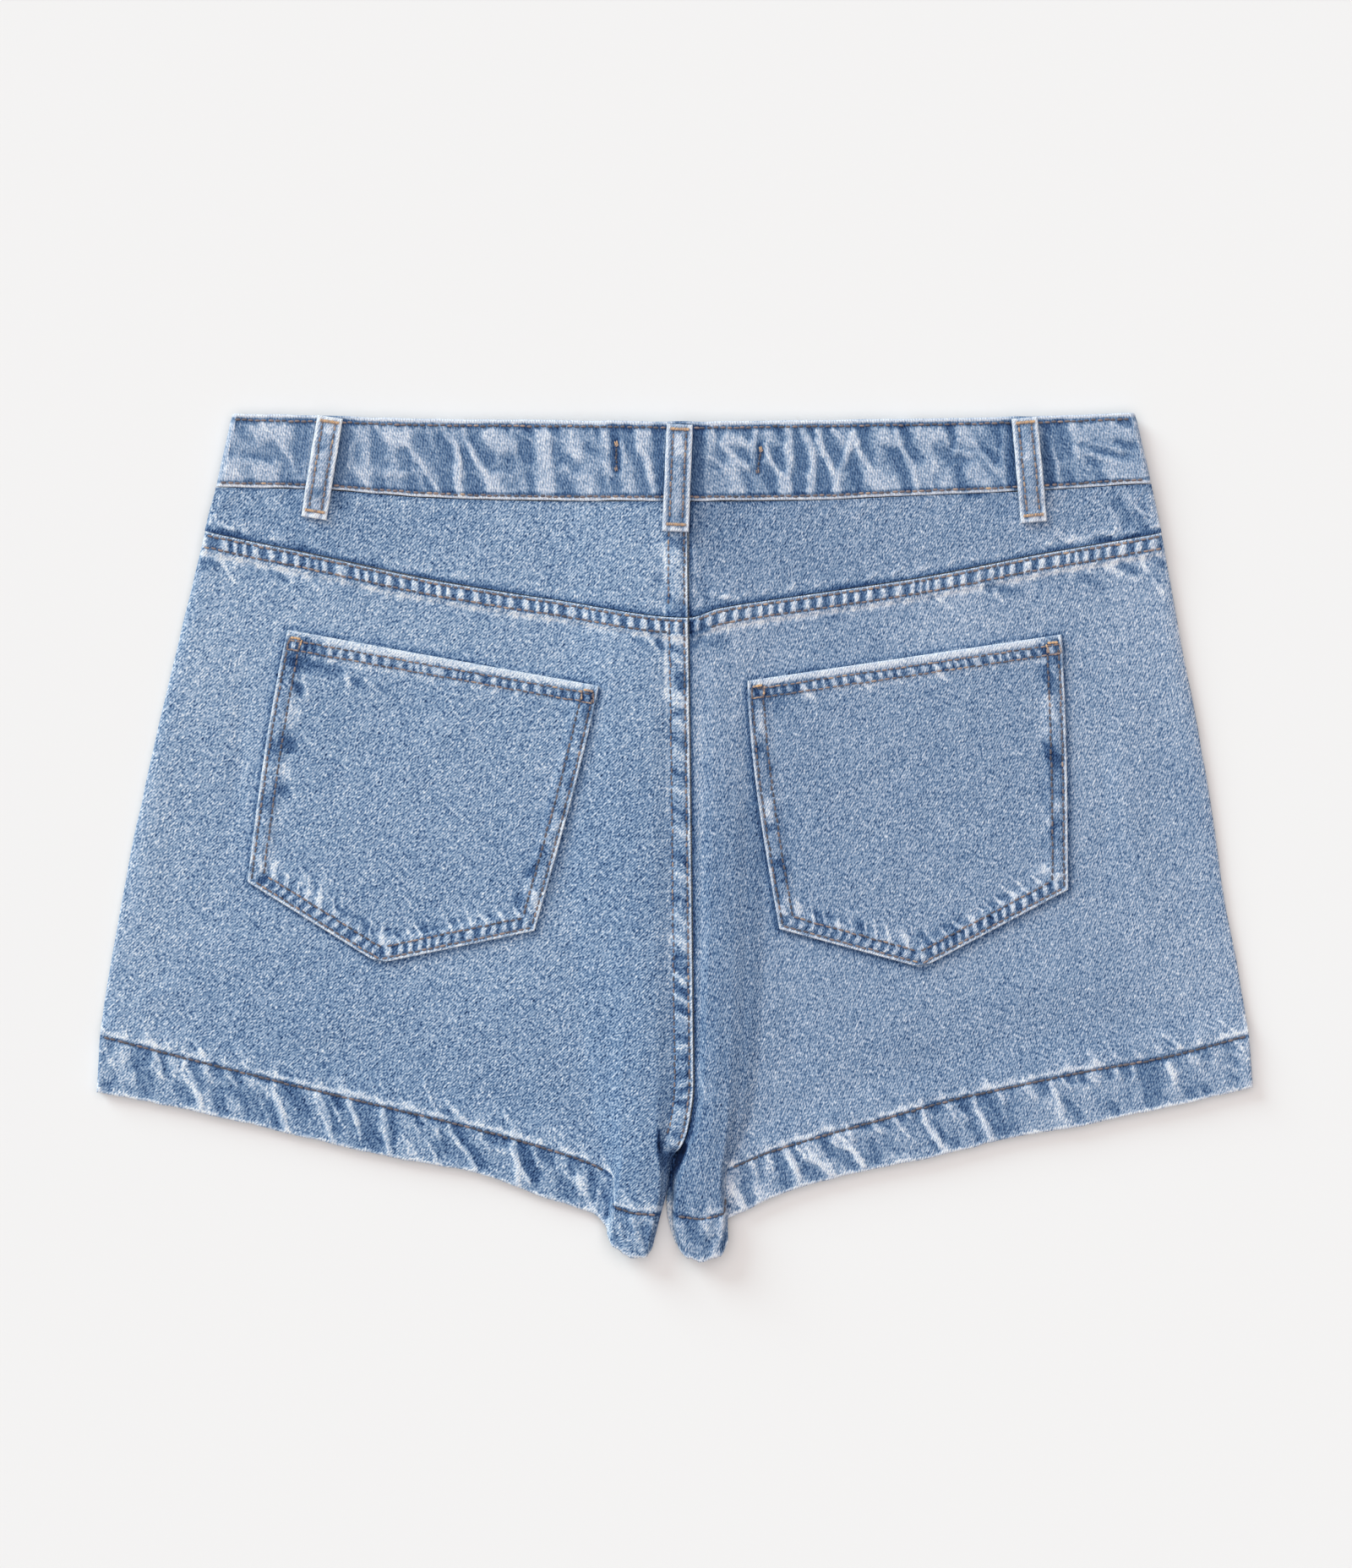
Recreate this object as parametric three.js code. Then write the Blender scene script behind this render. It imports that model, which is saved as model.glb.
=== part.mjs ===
// Denim shorts laid flat, back side up. Millimetres, +Z up, +Y towards the waist, +X to the right of the back view.
// The front lies on the surface (z = 0) and the back lies on it. The wearer's left is at -X.
import * as THREE from "three";

// ---- cloth ----
const CLOTH = 1.2; // one layer of denim
const FELL = 0.9; // what a felled seam adds on top of a panel
const FELL_WIDTH = 9.4; // width of a felled seam
const TURN = 1.2; // what the turned-up hem adds inside a leg
const BAND = 2.2; // thickness of the folded waistband
const GAP = 0.3; // between pieces at a seam
const STEP = 0.35; // length of a step in thickness

// ---- hardware and small pieces ----
const LOOP_CLOTH = 1.8; // thickness of a belt loop, folded in three
const LOOP_WIDTH = 12.8;
const LOOP_RISE = 1.1; // how far a belt loop stands off the waistband
const BUTTON_RADIUS = 8.5;
const BUTTON_FACE = 1.4;
const SHANK_RADIUS = 2.4;
const ZIP_WIDTH = 22;
const ZIP_CLOTH = 1.2;
const POCKET_LIFT = 0.45; // of a pocket over its panel
const POCKET_HEM = 9.8;

// ---- levels ----
const FRONT_BAND_Z = 2.1; // outer face of the front waistband, held up by its belt loops
const LAP_Z = 4.6; // the waistband's under end, inside the fly lap
const BACK_BAND_Z = 5.0; // underside of the back waistband at the sides
const LAP_LIFT = 2.4; // the back rises this much over the fly lap
const LAP_X = -12; // middle of the fly lap
const LAP_REACH = 52; // where that rise has gone
const HEM_LIFT = 1.2; // the back cloth's rise over the front hem
const SIDE_Z = 3.0; // face of the back at a side seam, over the front's underside
const SIDE_ROLL = 8; // width over which the back turns down to a side seam

// Outline at the side seams: x of the left and the right edge at each height.
const SIDE = [
  { y: 211, left: -220, right: 228.6 },
  { y: 174.5, left: -228.4, right: 237.0 },
  { y: 139, left: -236.8, right: 244.5 },
  { y: 88, left: -249.4, right: 253.6 },
  { y: 38, left: -261.1, right: 263.2 },
  { y: -29, left: -274.8, right: 273.4 },
  { y: -96, left: -285.6, right: 285.2 },
  { y: -127, left: -288.0, right: 288.0 },
];

// Across the back: the waistband's upper and lower edge, and the yoke seam.
const ACROSS = [
  { x: -288, top: 211.0, band: 175.2, yoke: 164.0 },
  { x: -228, top: 210.7, band: 174.1, yoke: 150.8 },
  { x: -180, top: 209.6, band: 173.0, yoke: 140.9 },
  { x: -120, top: 207.8, band: 168.7, yoke: 128.1 },
  { x: -60, top: 207.3, band: 167.2, yoke: 118.2 },
  { x: 6.5, top: 206.5, band: 167.0, yoke: 109.2 },
  { x: 22, top: 206.6, band: 167.1, yoke: 113.8 },
  { x: 60, top: 207.2, band: 167.4, yoke: 119.8 },
  { x: 120, top: 208.1, band: 169.9, yoke: 128.9 },
  { x: 180, top: 209.3, band: 172.4, yoke: 140.6 },
  { x: 237, top: 211.0, band: 175.8, yoke: 150.4 },
  { x: 288, top: 211.1, band: 177.0, yoke: 160.0 },
];

// The hem of each leg from the side seam to the pleat: its edge and its row of stitches.
const HEM_LEFT = [
  { x: -288, edge: -127.0, stitch: -98.9 },
  { x: -260, edge: -131.7, stitch: -105.6 },
  { x: -193, edge: -146.6, stitch: -121.6 },
  { x: -142, edge: -159.0, stitch: -133.6 },
  { x: -100, edge: -167.2, stitch: -143.9 },
  { x: -66, edge: -179.7, stitch: -153.9 },
  { x: -41.5, edge: -187.5, stitch: -163.4 },
  { x: -34.8, edge: -194.0, stitch: -168.5 },
];
const HEM_RIGHT = [
  { x: 27.0, edge: -189.5, stitch: -166.0 },
  { x: 41, edge: -183.4, stitch: -157.7 },
  { x: 62, edge: -175.1, stitch: -149.9 },
  { x: 90, edge: -167.4, stitch: -141.8 },
  { x: 126.5, edge: -159.2, stitch: -131.5 },
  { x: 165, edge: -149.2, stitch: -123.3 },
  { x: 202, edge: -142.8, stitch: -116.1 },
  { x: 240, edge: -134.8, stitch: -109.8 },
  { x: 288, edge: -124.2, stitch: -98.5 },
];

// The fold beside the seat seam, which becomes the pleat of the inner leg below the crotch (y = -156).
// x of the fold's foot, its turn, its outer edge, crown and inner edge, the felled seam and the seam's own edge; how high the crown and the seam stand.
const FOLD_LEFT = [
  { y: 112, base: -60, roll: -44, out: -28, crown: -20, inn: -13, strip: -2.9, seam: 6.5, rise: 0.6, seamRise: 0.3 },
  { y: 45, base: -56, roll: -42, out: -26, crown: -19, inn: -12, strip: -2.0, seam: 7.4, rise: 2.0, seamRise: 0.6 },
  { y: -33, base: -52, roll: -40, out: -25, crown: -18, inn: -11, strip: -1.1, seam: 8.3, rise: 2.8, seamRise: 0.8 },
  { y: -80, base: -48, roll: -36, out: -23, crown: -16, inn: -10.5, strip: -0.6, seam: 8.8, rise: 3.6, seamRise: 1.2 },
  { y: -123, base: -44, roll: -35, out: -26, crown: -17, inn: -9.5, strip: -0.2, seam: 9.2, rise: 5.0, seamRise: 2.0 },
  { y: -145, base: -39, roll: -33, out: -27, crown: -17, inn: -9.2, strip: -3.0, seam: 6.4, rise: 6.4, seamRise: 2.6 },
  { y: -154, base: -36, roll: -31.5, out: -26.5, crown: -17, inn: -8.8, strip: -6.2, seam: 3.0, rise: 6.8, seamRise: 2.8 },
  { y: -158.5, base: -34.5, roll: -30.5, out: -26, crown: -16.5, inn: -8.3, strip: -4.6, seam: -0.9, rise: 7.0, seamRise: -1.2 },
  { y: -166, base: -31.8, roll: -30, out: -27, crown: -17, inn: -7.6, strip: -4.6, seam: -2.4, rise: 7.2, seamRise: -1.2 },
  { y: -175, base: -31.0, roll: -30.4, out: -28.5, crown: -18, inn: -7.4, strip: -5.2, seam: -3.6, rise: 7.2, seamRise: -0.9 },
  { y: -188, base: -33.6, roll: -33, out: -31, crown: -20.5, inn: -10, strip: -8.4, seam: -7.1, rise: 7.2, seamRise: 1.1 },
  { y: -211, base: -34.8, roll: -34.4, out: -31, crown: -22, inn: -15, strip: -13.8, seam: -12.8, rise: 6.6, seamRise: 1.1 },
];
const FOLD_RIGHT = [
  { y: 112, base: 54, roll: 42, out: 31, crown: 25, inn: 19, strip: 12, seam: 6.9, rise: 0.6, seamRise: 0.3 },
  { y: 45, base: 46, roll: 38, out: 30, crown: 25, inn: 19, strip: 12, seam: 7.8, rise: 2.4, seamRise: 0.6 },
  { y: -33, base: 45, roll: 37, out: 29, crown: 24, inn: 18, strip: 12.5, seam: 8.7, rise: 3.2, seamRise: 0.8 },
  { y: -80, base: 44, roll: 36, out: 28, crown: 22, inn: 16, strip: 12.5, seam: 9.2, rise: 4.0, seamRise: 1.2 },
  { y: -123, base: 41, roll: 34, out: 26.5, crown: 20, inn: 14.5, strip: 12, seam: 9.6, rise: 5.2, seamRise: 2.0 },
  { y: -145, base: 36, roll: 30, out: 25.5, crown: 18, inn: 11.5, strip: 9.2, seam: 6.8, rise: 6.4, seamRise: 2.6 },
  { y: -154, base: 32, roll: 28, out: 24.5, crown: 15, inn: 7, strip: 5.2, seam: 3.4, rise: 6.8, seamRise: 2.8 },
  { y: -158.5, base: 29.5, roll: 27, out: 24, crown: 14, inn: 5.6, strip: 3.0, seam: 0.6, rise: 7.0, seamRise: -1.2 },
  { y: -166, base: 25.6, roll: 25, out: 23, crown: 13.5, inn: 3.6, strip: 1.4, seam: -0.8, rise: 7.2, seamRise: -1.2 },
  { y: -175, base: 25.0, roll: 24.6, out: 22.8, crown: 12, inn: 0.8, strip: -0.3, seam: -1.3, rise: 7.2, seamRise: -0.9 },
  { y: -188, base: 26.2, roll: 25.9, out: 24, crown: 12.5, inn: 0.6, strip: -0.7, seam: -1.6, rise: 7.2, seamRise: 1.1 },
  { y: -211, base: 27.0, roll: 26.8, out: 22.5, crown: 13, inn: 6.5, strip: 4.4, seam: 3.4, rise: 6.6, seamRise: 1.1 },
];
const KEYS = ["base", "roll", "out", "crown", "inn", "strip", "seam"];
// How much of the crown's rise each of those lines has; the last two follow the seam.
const SHARE = { base: 0, roll: 0.42, out: 0.9, crown: 1, inn: 0.9 };

// Hem edge and stitches at the pleat's lines.
const PLEAT_LEFT = {
  base: { edge: -194.0, stitch: -168.5 },
  roll: { edge: -198.0, stitch: -173.0 },
  out: { edge: -203.5, stitch: -178.0 },
  crown: { edge: -208.8, stitch: -185.5 },
  inn: { edge: -208.6, stitch: -187.0 },
  strip: { edge: -206.5, stitch: -187.0 },
  seam: { edge: -203.5, stitch: -186.5 },
};
const PLEAT_RIGHT = {
  base: { edge: -189.5, stitch: -166.0 },
  roll: { edge: -201.0, stitch: -172.5 },
  out: { edge: -208.0, stitch: -184.5 },
  crown: { edge: -211.0, stitch: -189.5 },
  inn: { edge: -208.8, stitch: -188.0 },
  strip: { edge: -206.5, stitch: -186.5 },
  seam: { edge: -204.0, stitch: -185.5 },
};

// Height of the back cloth's face, and of the front cloth's underside, down the garment.
const REST = [
  { y: 178, back: 6.5, front: 2.6, lift: 1.0 },
  { y: 156, back: 6.2, front: 2.3, lift: 1.0 },
  { y: 130, back: 5.7, front: 0.9, lift: 0.95 },
  { y: 104, back: 5.3, front: 0, lift: 0.85 },
  { y: 62, back: 4.7, front: 0, lift: 0.65 },
  { y: 20, back: 4.2, front: 0, lift: 0.15 },
  { y: -20, back: 4.0, front: 0, lift: 0 },
  { y: -211, back: 4.0, front: 0, lift: 0 },
];

// Inner edge of each front: the fly, the crotch seam, then the inseam.
const FRONT_INNER = [
  { y: 180, left: 4.0, right: -2.0, lap: 1.5 },
  { y: 76, left: 4.0, right: -2.0, lap: 1.5 },
  { y: 66, left: -0.2, right: 0.2, lap: 1.5 },
  { y: 58, left: -0.2, right: 0.2, lap: 1.5 },
  { y: 38, left: -0.2, right: 0.2, lap: 0 },
  { y: -152, left: -0.2, right: 0.2, lap: 0 },
  { y: -160, left: -2.6, right: 0.4, lap: 0 },
  { y: -170, left: -4.0, right: -2.2, lap: 0 },
  { y: -182, left: -6.2, right: -4.4, lap: 0 },
  { y: -191, left: -9.0, right: -3.2, lap: 0 },
  { y: -203, left: -13.2, right: 0.6, lap: 0 },
];
const FRONT_HEM_LEFT = [{ x: -34, edge: -192.5 }, { x: -24, edge: -198.5 }, { x: -13, edge: -202.5 }];
const FRONT_HEM_RIGHT = [{ x: 0, edge: -202.5 }, { x: 12, edge: -198.5 }, { x: 27, edge: -188.5 }];
const FRONT_SHORT = 0.9; // the front hem lies this much inside the back hem

// Patch pockets: corners of each, from the upper edge round by the point.
const POCKET_LEFT = { upperOuter: [-192.4, 103.1], upperInner: [-37.8, 75.3], lowerInner: [-69.9, -46.5], point: [-147.4, -62.7], lowerOuter: [-212.6, -22.2] };
const POCKET_RIGHT = { upperOuter: [191.9, 100.8], upperInner: [36.1, 77.8], lowerInner: [51.9, -45.6], point: [123.0, -64.9], lowerOuter: [195.4, -26.1] };

// Belt loops: x at the upper and the lower end, how far each end is from the waistband's edges.
const LOOPS = [
  { name: "loop_back_left", upper: -171.2, lower: -179.4, over: 0.6, under: 14.6, width: 12.8, face: 1 },
  { name: "loop_back_center", upper: 2.4, lower: 0.2, over: 1.6, under: 15.3, width: 13.2, face: 1 },
  { name: "loop_back_right", upper: 173.5, lower: 178.3, over: 0.8, under: 15.9, width: 13.0, face: 1 },
  { name: "loop_front_left", upper: -112, lower: -115, over: 1.0, under: 14, width: 12.8, face: -1 },
  { name: "loop_front_right", upper: 112, lower: 115, over: 1.0, under: 14, width: 12.8, face: -1 },
];

// ---- small maths ----
const lerp = (a, b, t) => a + (b - a) * t;
const clamp = (t, a = 0, b = 1) => Math.min(b, Math.max(a, t));
const smooth = (t) => clamp(t) * clamp(t) * (3 - 2 * clamp(t));

// A curve through a table's column that keeps its bumps where the rows put them (monotone cubic).
function follow(table, key, at, x) {
  const rows = table[0][key] < table[table.length - 1][key] ? table : [...table].reverse();
  const n = rows.length;
  if (x <= rows[0][key]) return rows[0][at];
  if (x >= rows[n - 1][key]) return rows[n - 1][at];
  const i = rows.findIndex((r) => x < r[key]) - 1;
  const slope = (k) => (rows[k + 1][at] - rows[k][at]) / (rows[k + 1][key] - rows[k][key]);
  const tangent = (k) => {
    if (k === 0) return slope(0);
    if (k === n - 1) return slope(n - 2);
    const a = slope(k - 1), b = slope(k);
    return a * b <= 0 ? 0 : (2 * a * b) / (a + b);
  };
  const h = rows[i + 1][key] - rows[i][key], t = (x - rows[i][key]) / h;
  return (
    (2 * t ** 3 - 3 * t ** 2 + 1) * rows[i][at] + (t ** 3 - 2 * t ** 2 + t) * h * tangent(i) +
    (-2 * t ** 3 + 3 * t ** 2) * rows[i + 1][at] + (t ** 3 - t ** 2) * h * tangent(i + 1)
  );
}

// ---- solids from grids of points ----
// face and back are grids [row][column] of [x, y, z]; together with their rims they close one wall.
function wall(face, back) {
  const rows = face.length, cols = face[0].length, at = [], index = [];
  for (const grid of [face, back]) for (const row of grid) for (const p of row) at.push(...p);
  const f = (i, j) => i * cols + j, b = (i, j) => rows * cols + i * cols + j;
  const quad = (p, q, r, s) => index.push(p, q, r, p, r, s);
  for (let i = 0; i + 1 < rows; i++)
    for (let j = 0; j + 1 < cols; j++) {
      quad(f(i, j), f(i + 1, j), f(i + 1, j + 1), f(i, j + 1));
      quad(b(i, j), b(i, j + 1), b(i + 1, j + 1), b(i + 1, j));
    }
  for (let j = 0; j + 1 < cols; j++) {
    quad(f(0, j), f(0, j + 1), b(0, j + 1), b(0, j));
    quad(f(rows - 1, j + 1), f(rows - 1, j), b(rows - 1, j), b(rows - 1, j + 1));
  }
  for (let i = 0; i + 1 < rows; i++) {
    quad(f(i + 1, 0), f(i, 0), b(i, 0), b(i + 1, 0));
    quad(f(i, cols - 1), f(i + 1, cols - 1), b(i + 1, cols - 1), b(i, cols - 1));
  }
  let volume = 0;
  const v = (k) => new THREE.Vector3(at[3 * k], at[3 * k + 1], at[3 * k + 2]);
  for (let k = 0; k < index.length; k += 3) volume += v(index[k]).dot(v(index[k + 1]).cross(v(index[k + 2])));
  if (volume < 0) index.reverse();
  return new THREE.BufferGeometry()
    .setAttribute("position", new THREE.BufferAttribute(new Float32Array(at), 3))
    .setIndex(index);
}
const grid = (rows, cols, point) => rows.map((r) => cols.map((c) => point(r, c)));
// Leans each underside point sideways on a slope, so that the wall keeps its thickness there. The edges stay upright.
function square(face, back) {
  return back.map((row, i) => row.map(([x, y, z], j) => {
    if (j === 0 || j === row.length - 1) return [x, y, z];
    const [ax, , az] = face[i][j - 1], [mx, , mz] = face[i][j], [bx, , bz] = face[i][j + 1];
    const t = mz - z, slope = Math.atan2(bz - az, Math.abs(bx - ax)), way = Math.sign(bx - ax);
    const room = 0.42 * Math.min(Math.abs(mx - ax), Math.abs(bx - mx));
    const lean = Math.max(-room, Math.min(room, t * Math.sin(slope)));
    return [x + way * lean, y, mz - t * Math.max(Math.cos(slope), 0.6)];
  }));
}
const spread = (a, b, n) => Array.from({ length: n + 1 }, (_, i) => lerp(a, b, i / n));

// ---- the back ----
const lapLift = (x, y) => LAP_LIFT * follow(REST, "y", "lift", y) * smooth(1 - Math.abs(x - LAP_X) / LAP_REACH);
const edgeRoll = (x, y) => {
  const d = Math.min(x - follow(SIDE, "y", "left", y), follow(SIDE, "y", "right", y) - x);
  return Math.sqrt(clamp(1 - (1 - clamp(d / SIDE_ROLL)) ** 2));
};

function leg(side) {
  const left = side === "left";
  const fold = left ? FOLD_LEFT : FOLD_RIGHT, pleat = left ? PLEAT_LEFT : PLEAT_RIGHT, hem = left ? HEM_LEFT : HEM_RIGHT;
  // u runs 0 to 1 from the side seam to the fold's foot, then one unit for each of the fold's lines.
  const lineX = (k, y) => (k === 0 ? follow(SIDE, "y", side, y) : follow(fold, "y", KEYS[k - 1], y));
  const X = (u, y) => {
    const k = Math.min(Math.floor(u), KEYS.length - 1);
    return lerp(lineX(k, y), lineX(k + 1, y), u - k);
  };
  const hemAt = (u, what) => {
    if (u <= 1) {
      const x = lerp(left ? -288 : 288, fold[fold.length - 1].base, u);
      return follow(hem, "x", what, x);
    }
    const k = Math.min(Math.floor(u), KEYS.length - 1);
    return lerp(pleat[KEYS[k - 1]][what], pleat[KEYS[k]][what], smooth(u - k) * 0.5 + (u - k) * 0.5);
  };
  const ridge = (u, y) => {
    const rise = follow(fold, "y", "rise", y), seam = follow(fold, "y", "seamRise", y);
    const level = (k) => (k <= 5 ? rise * SHARE[KEYS[k - 1]] : k === 6 ? (y > -157 ? seam : (seam + 0.9 * rise) / 2) : seam);
    if (u <= 1) return 0;
    const k = Math.min(Math.floor(u), KEYS.length - 1);
    return lerp(level(k), level(k + 1), u - k);
  };
  const topY = (u) => {
    const x = X(u, u < 1 ? 150 : 112);
    return follow(ACROSS, "x", "yoke", x);
  };
  // the face of the cloth, without its seams
  const faceZ = (u, x, y) => {
    const rest = follow(REST, "y", "back", y) + lapLift(x, y);
    const near = smooth(1 - (y - hemAt(u, "stitch")) / 24);
    const lift = HEM_LIFT * near * smooth(2 - u);
    const roll = edgeRoll(x, y);
    const side = follow(REST, "y", "front", y) + SIDE_Z + 2.2 * smooth(1 - (y - hemAt(u, "stitch") - 1) / 9);
    return lerp(side, rest + lift, roll) + ridge(u, y);
  };
  const uOf = (x, y) => {
    for (let k = 0; k < KEYS.length; k++) {
      const a = lineX(k, y), b = lineX(k + 1, y);
      if ((x - a) * (x - b) <= 0) return k + (x - a) / (b - a);
    }
    return 0;
  };
  return { X, hemAt, topY, faceZ, uOf, left };
}
const LEGS = { left: leg("left"), right: leg("right") };

// height of the back cloth's face at a point of the plan
const backFace = (x, y) => {
  const l = x < 7.2 ? LEGS.left : LEGS.right;
  return l.faceZ(l.uOf(x, y), x, y);
};

const COLUMNS = {
  left: [0, 0.012, 0.035, 0.08, ...spread(0.16, 1, 8), 1.5, 2, 2.5, 3, 3.5, 4, 4.5, 5, 5.5, 5.94, 6, 6.5, 7],
  right: [0, 0.012, 0.035, 0.08, ...spread(0.16, 1, 8), 1.5, 2, 2.5, 3, 3.5, 4, 4.5, 5, 5.5, 6, 6.5, 7],
};
function backPanel(side) {
  const l = LEGS[side];
  // w runs 0 to 1 down to the hem's stitches and 1 to 2 over the hem
  const body = [0, 0.034, 0.036, 0.12, 0.24, 0.38, 0.52, 0.65, 0.76, 0.84, 0.885, 0.897, 0.907, 0.93, 0.96, 1];
  const rows = [...body, 1.02, 1.5, 2];
  const point = (under) => (w, u) => {
    const top = l.topY(u) - GAP * 0.7, stitch = l.hemAt(u, "stitch"), edge = l.hemAt(u, "edge");
    const y = w <= 1 ? lerp(top, stitch, w) : lerp(stitch, edge, w - 1);
    const x = l.X(u, y) + (u === 7 ? (l.left ? -GAP / 2 : GAP / 2) : 0);
    const z = l.faceZ(u, x, y);
    const fell = w < 0.0345 || (l.left && u >= 6 && y > -157) ? FELL : 0;
    return [x, y, under ? z - CLOTH - (w > 1.01 ? TURN : 0) : z + fell];
  };
  const cols = COLUMNS[side], plain = grid(rows, cols, (w, u) => {
    const [x, y, z] = point(true)(w, u);
    return [x, y, z + CLOTH + (w > 1.01 ? TURN : 0)];
  });
  return wall(grid(rows, cols, point(false)), square(plain, grid(rows, cols, point(true))));
}

function yoke(side) {
  const l = LEGS[side];
  const point = (under) => (v, u) => {
    // the lower edge has the panel's own columns; above it they spread to the waistband
    const lowX = l.X(u, u < 1 ? 150 : 112) + (u === 7 ? (l.left ? -GAP / 2 : GAP / 2) : 0);
    const low = follow(ACROSS, "x", "yoke", lowX) + GAP * 0.7;
    const sideX = (y) => follow(SIDE, "y", side, y);
    const topX = lerp(sideX(174) , lowX, clamp((lowX - sideX(150)) / (7 - sideX(150))));
    const top = follow(ACROSS, "x", "band", topX) - GAP;
    const y = lerp(low, top, v), x = u === 0 ? sideX(y) : lerp(lowX, topX, v);
    const side0 = follow(REST, "y", "front", y) + SIDE_Z;
    const z = lerp(side0, follow(REST, "y", "back", y) + lapLift(x, y), edgeRoll(x, y)) + lerp(foldAtYoke(l, u, lowX, low), 0, smooth(v));
    const fell = l.left && u >= 6 ? FELL : 0;
    return [x, y, under ? z - CLOTH : z + fell];
  };
  const rows = [0, 0.25, 0.5, 0.75, 1];
  return wall(grid(rows, COLUMNS[side], point(false)), grid(rows, COLUMNS[side], point(true)));
}
// what the fold's ridge adds along the yoke seam
function foldAtYoke(l, u, x, y) {
  return u <= 1 ? 0 : l.faceZ(u, x, y) - (follow(REST, "y", "back", y) + lapLift(x, y));
}

// ---- the front ----
function frontPanel(side) {
  const left = side === "left";
  const hem = left ? HEM_LEFT : HEM_RIGHT, inseam = left ? FRONT_HEM_LEFT : FRONT_HEM_RIGHT;
  const innerHem = left ? -13.2 : 0.6, turn = left ? -34 : 27;
  const hemY = (x, what) => {
    const past = left ? x > turn : x < turn;
    if (past) return follow(inseam, "x", "edge", x) + (what === "stitch" ? 16 : 0);
    return follow(hem, "x", what, x) + (what === "edge" ? FRONT_SHORT : -0.8);
  };
  const cols = [0, 0.14, 0.3, 0.46, 0.6, 0.72, 0.82, 0.89, 0.93, 0.965, 1];
  const rows = [0, 0.05, 0.11, 0.17, 0.23, 0.29, 0.32, 0.35, 0.4, 0.55, 0.72, 0.86, 0.92, 0.96, 1, 1.03, 2];
  const point = (under) => (w, u) => {
    const xTop = lerp(follow(SIDE, "y", side, 174) + (left ? 1 : -1), left ? 4 : -2, u);
    const xHem = lerp(left ? -287.2 : 287.2, innerHem, u);
    const top = follow(ACROSS, "x", "band", xTop) - GAP * 1.4, stitch = hemY(xHem, "stitch"), edge = hemY(xHem, "edge");
    const y = w <= 1 ? lerp(top, stitch, w) : lerp(stitch, edge, w - 1);
    const x = lerp(follow(SIDE, "y", side, y) + (left ? 0.4 : -0.4), follow(FRONT_INNER, "y", side, y), u);
    const lap = left ? 0 : follow(FRONT_INNER, "y", "lap", y) * smooth((24 - x) / 18);
    const z = follow(REST, "y", "front", y) + lap;
    return [x, y, under ? z : z + CLOTH + (w > 1.01 ? TURN : 0)];
  };
  return wall(grid(rows, cols, point(false)), grid(rows, cols, point(true)));
}

// ---- the waistband: one strip from the under end at the fly, round the back, to the buttonhole end ----
function waistband() {
  const levels = [0, 0.5, 1]; // lower edge, middle, upper edge
  const backZ = (x) => BACK_BAND_Z + LAP_LIFT * smooth(1 - Math.abs(x - LAP_X) / (LAP_REACH + 14));
  const frontZ = (x, under) => (under ? FRONT_BAND_Z + (LAP_Z - FRONT_BAND_Z) * smooth((26 - x) / 20) : FRONT_BAND_Z);
  const edgeY = (x, t, front) => lerp(follow(ACROSS, "x", "band", x) + GAP / 2, follow(ACROSS, "x", "top", x) - (front ? 0.5 : 0), t);
  // stations along the strip; each gives the inner and the outer point at level t
  const stations = [];
  const flat = (x, zInner, zOuter, front) => stations.push((t, outer, sides) => {
    const xx = lerp(sides.left, sides.right, (x - -220) / 448);
    return [xx, edgeY(xx, t, front), outer ? zOuter(xx) : zInner(xx)];
  });
  const middle = (FRONT_BAND_Z + BACK_BAND_Z + BAND) / 2, outerR = (BACK_BAND_Z + BAND - FRONT_BAND_Z) / 2, innerR = outerR - BAND;
  for (const x of [-34, -22, -10, 2, 6, 12, 18, 26, 60, 100, 150, 200])
    flat(x, (q) => frontZ(q, true) + BAND, (q) => frontZ(q, true), true);
  for (const a of spread(-90, 90, 6))
    stations.push((t, outer, sides) => {
      const r = outer ? outerR : innerR, c = sides.right - outerR, s = Math.cos((a * Math.PI) / 180);
      const xx = c + r * s;
      return [xx, edgeY(c, t, a < 0), middle + r * Math.sin((a * Math.PI) / 180)];
    });
  for (const x of [205, 180, 150, 120, 90, 65, 50, 38, 26, 14, 0, -12, -24, -38, -50, -62, -74, -100, -130, -160, -190, -205])
    flat(x, (q) => backZ(q), (q) => backZ(q) + BAND, false);
  for (const a of spread(90, 270, 6))
    stations.push((t, outer, sides) => {
      const r = outer ? outerR : innerR, c = sides.left + outerR, s = Math.cos((a * Math.PI) / 180);
      return [c + r * s, edgeY(c, t, a > 180), middle + r * Math.sin((a * Math.PI) / 180)];
    });
  for (const x of [-200, -150, -100, -60, -30, -10, 4])
    flat(x, () => FRONT_BAND_Z + BAND, () => FRONT_BAND_Z, true);
  const sidesAt = (t) => {
    const y = lerp(175, 210.5, t);
    return { left: follow(SIDE, "y", "left", y), right: follow(SIDE, "y", "right", y) };
  };
  const make = (outer) => levels.map((t) => stations.map((s) => s(t, outer, sidesAt(t))));
  return wall(make(true), make(false));
}
const backBandFace = (x) => BACK_BAND_Z + BAND + LAP_LIFT * smooth(1 - Math.abs(x - LAP_X) / (LAP_REACH + 14));

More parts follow.
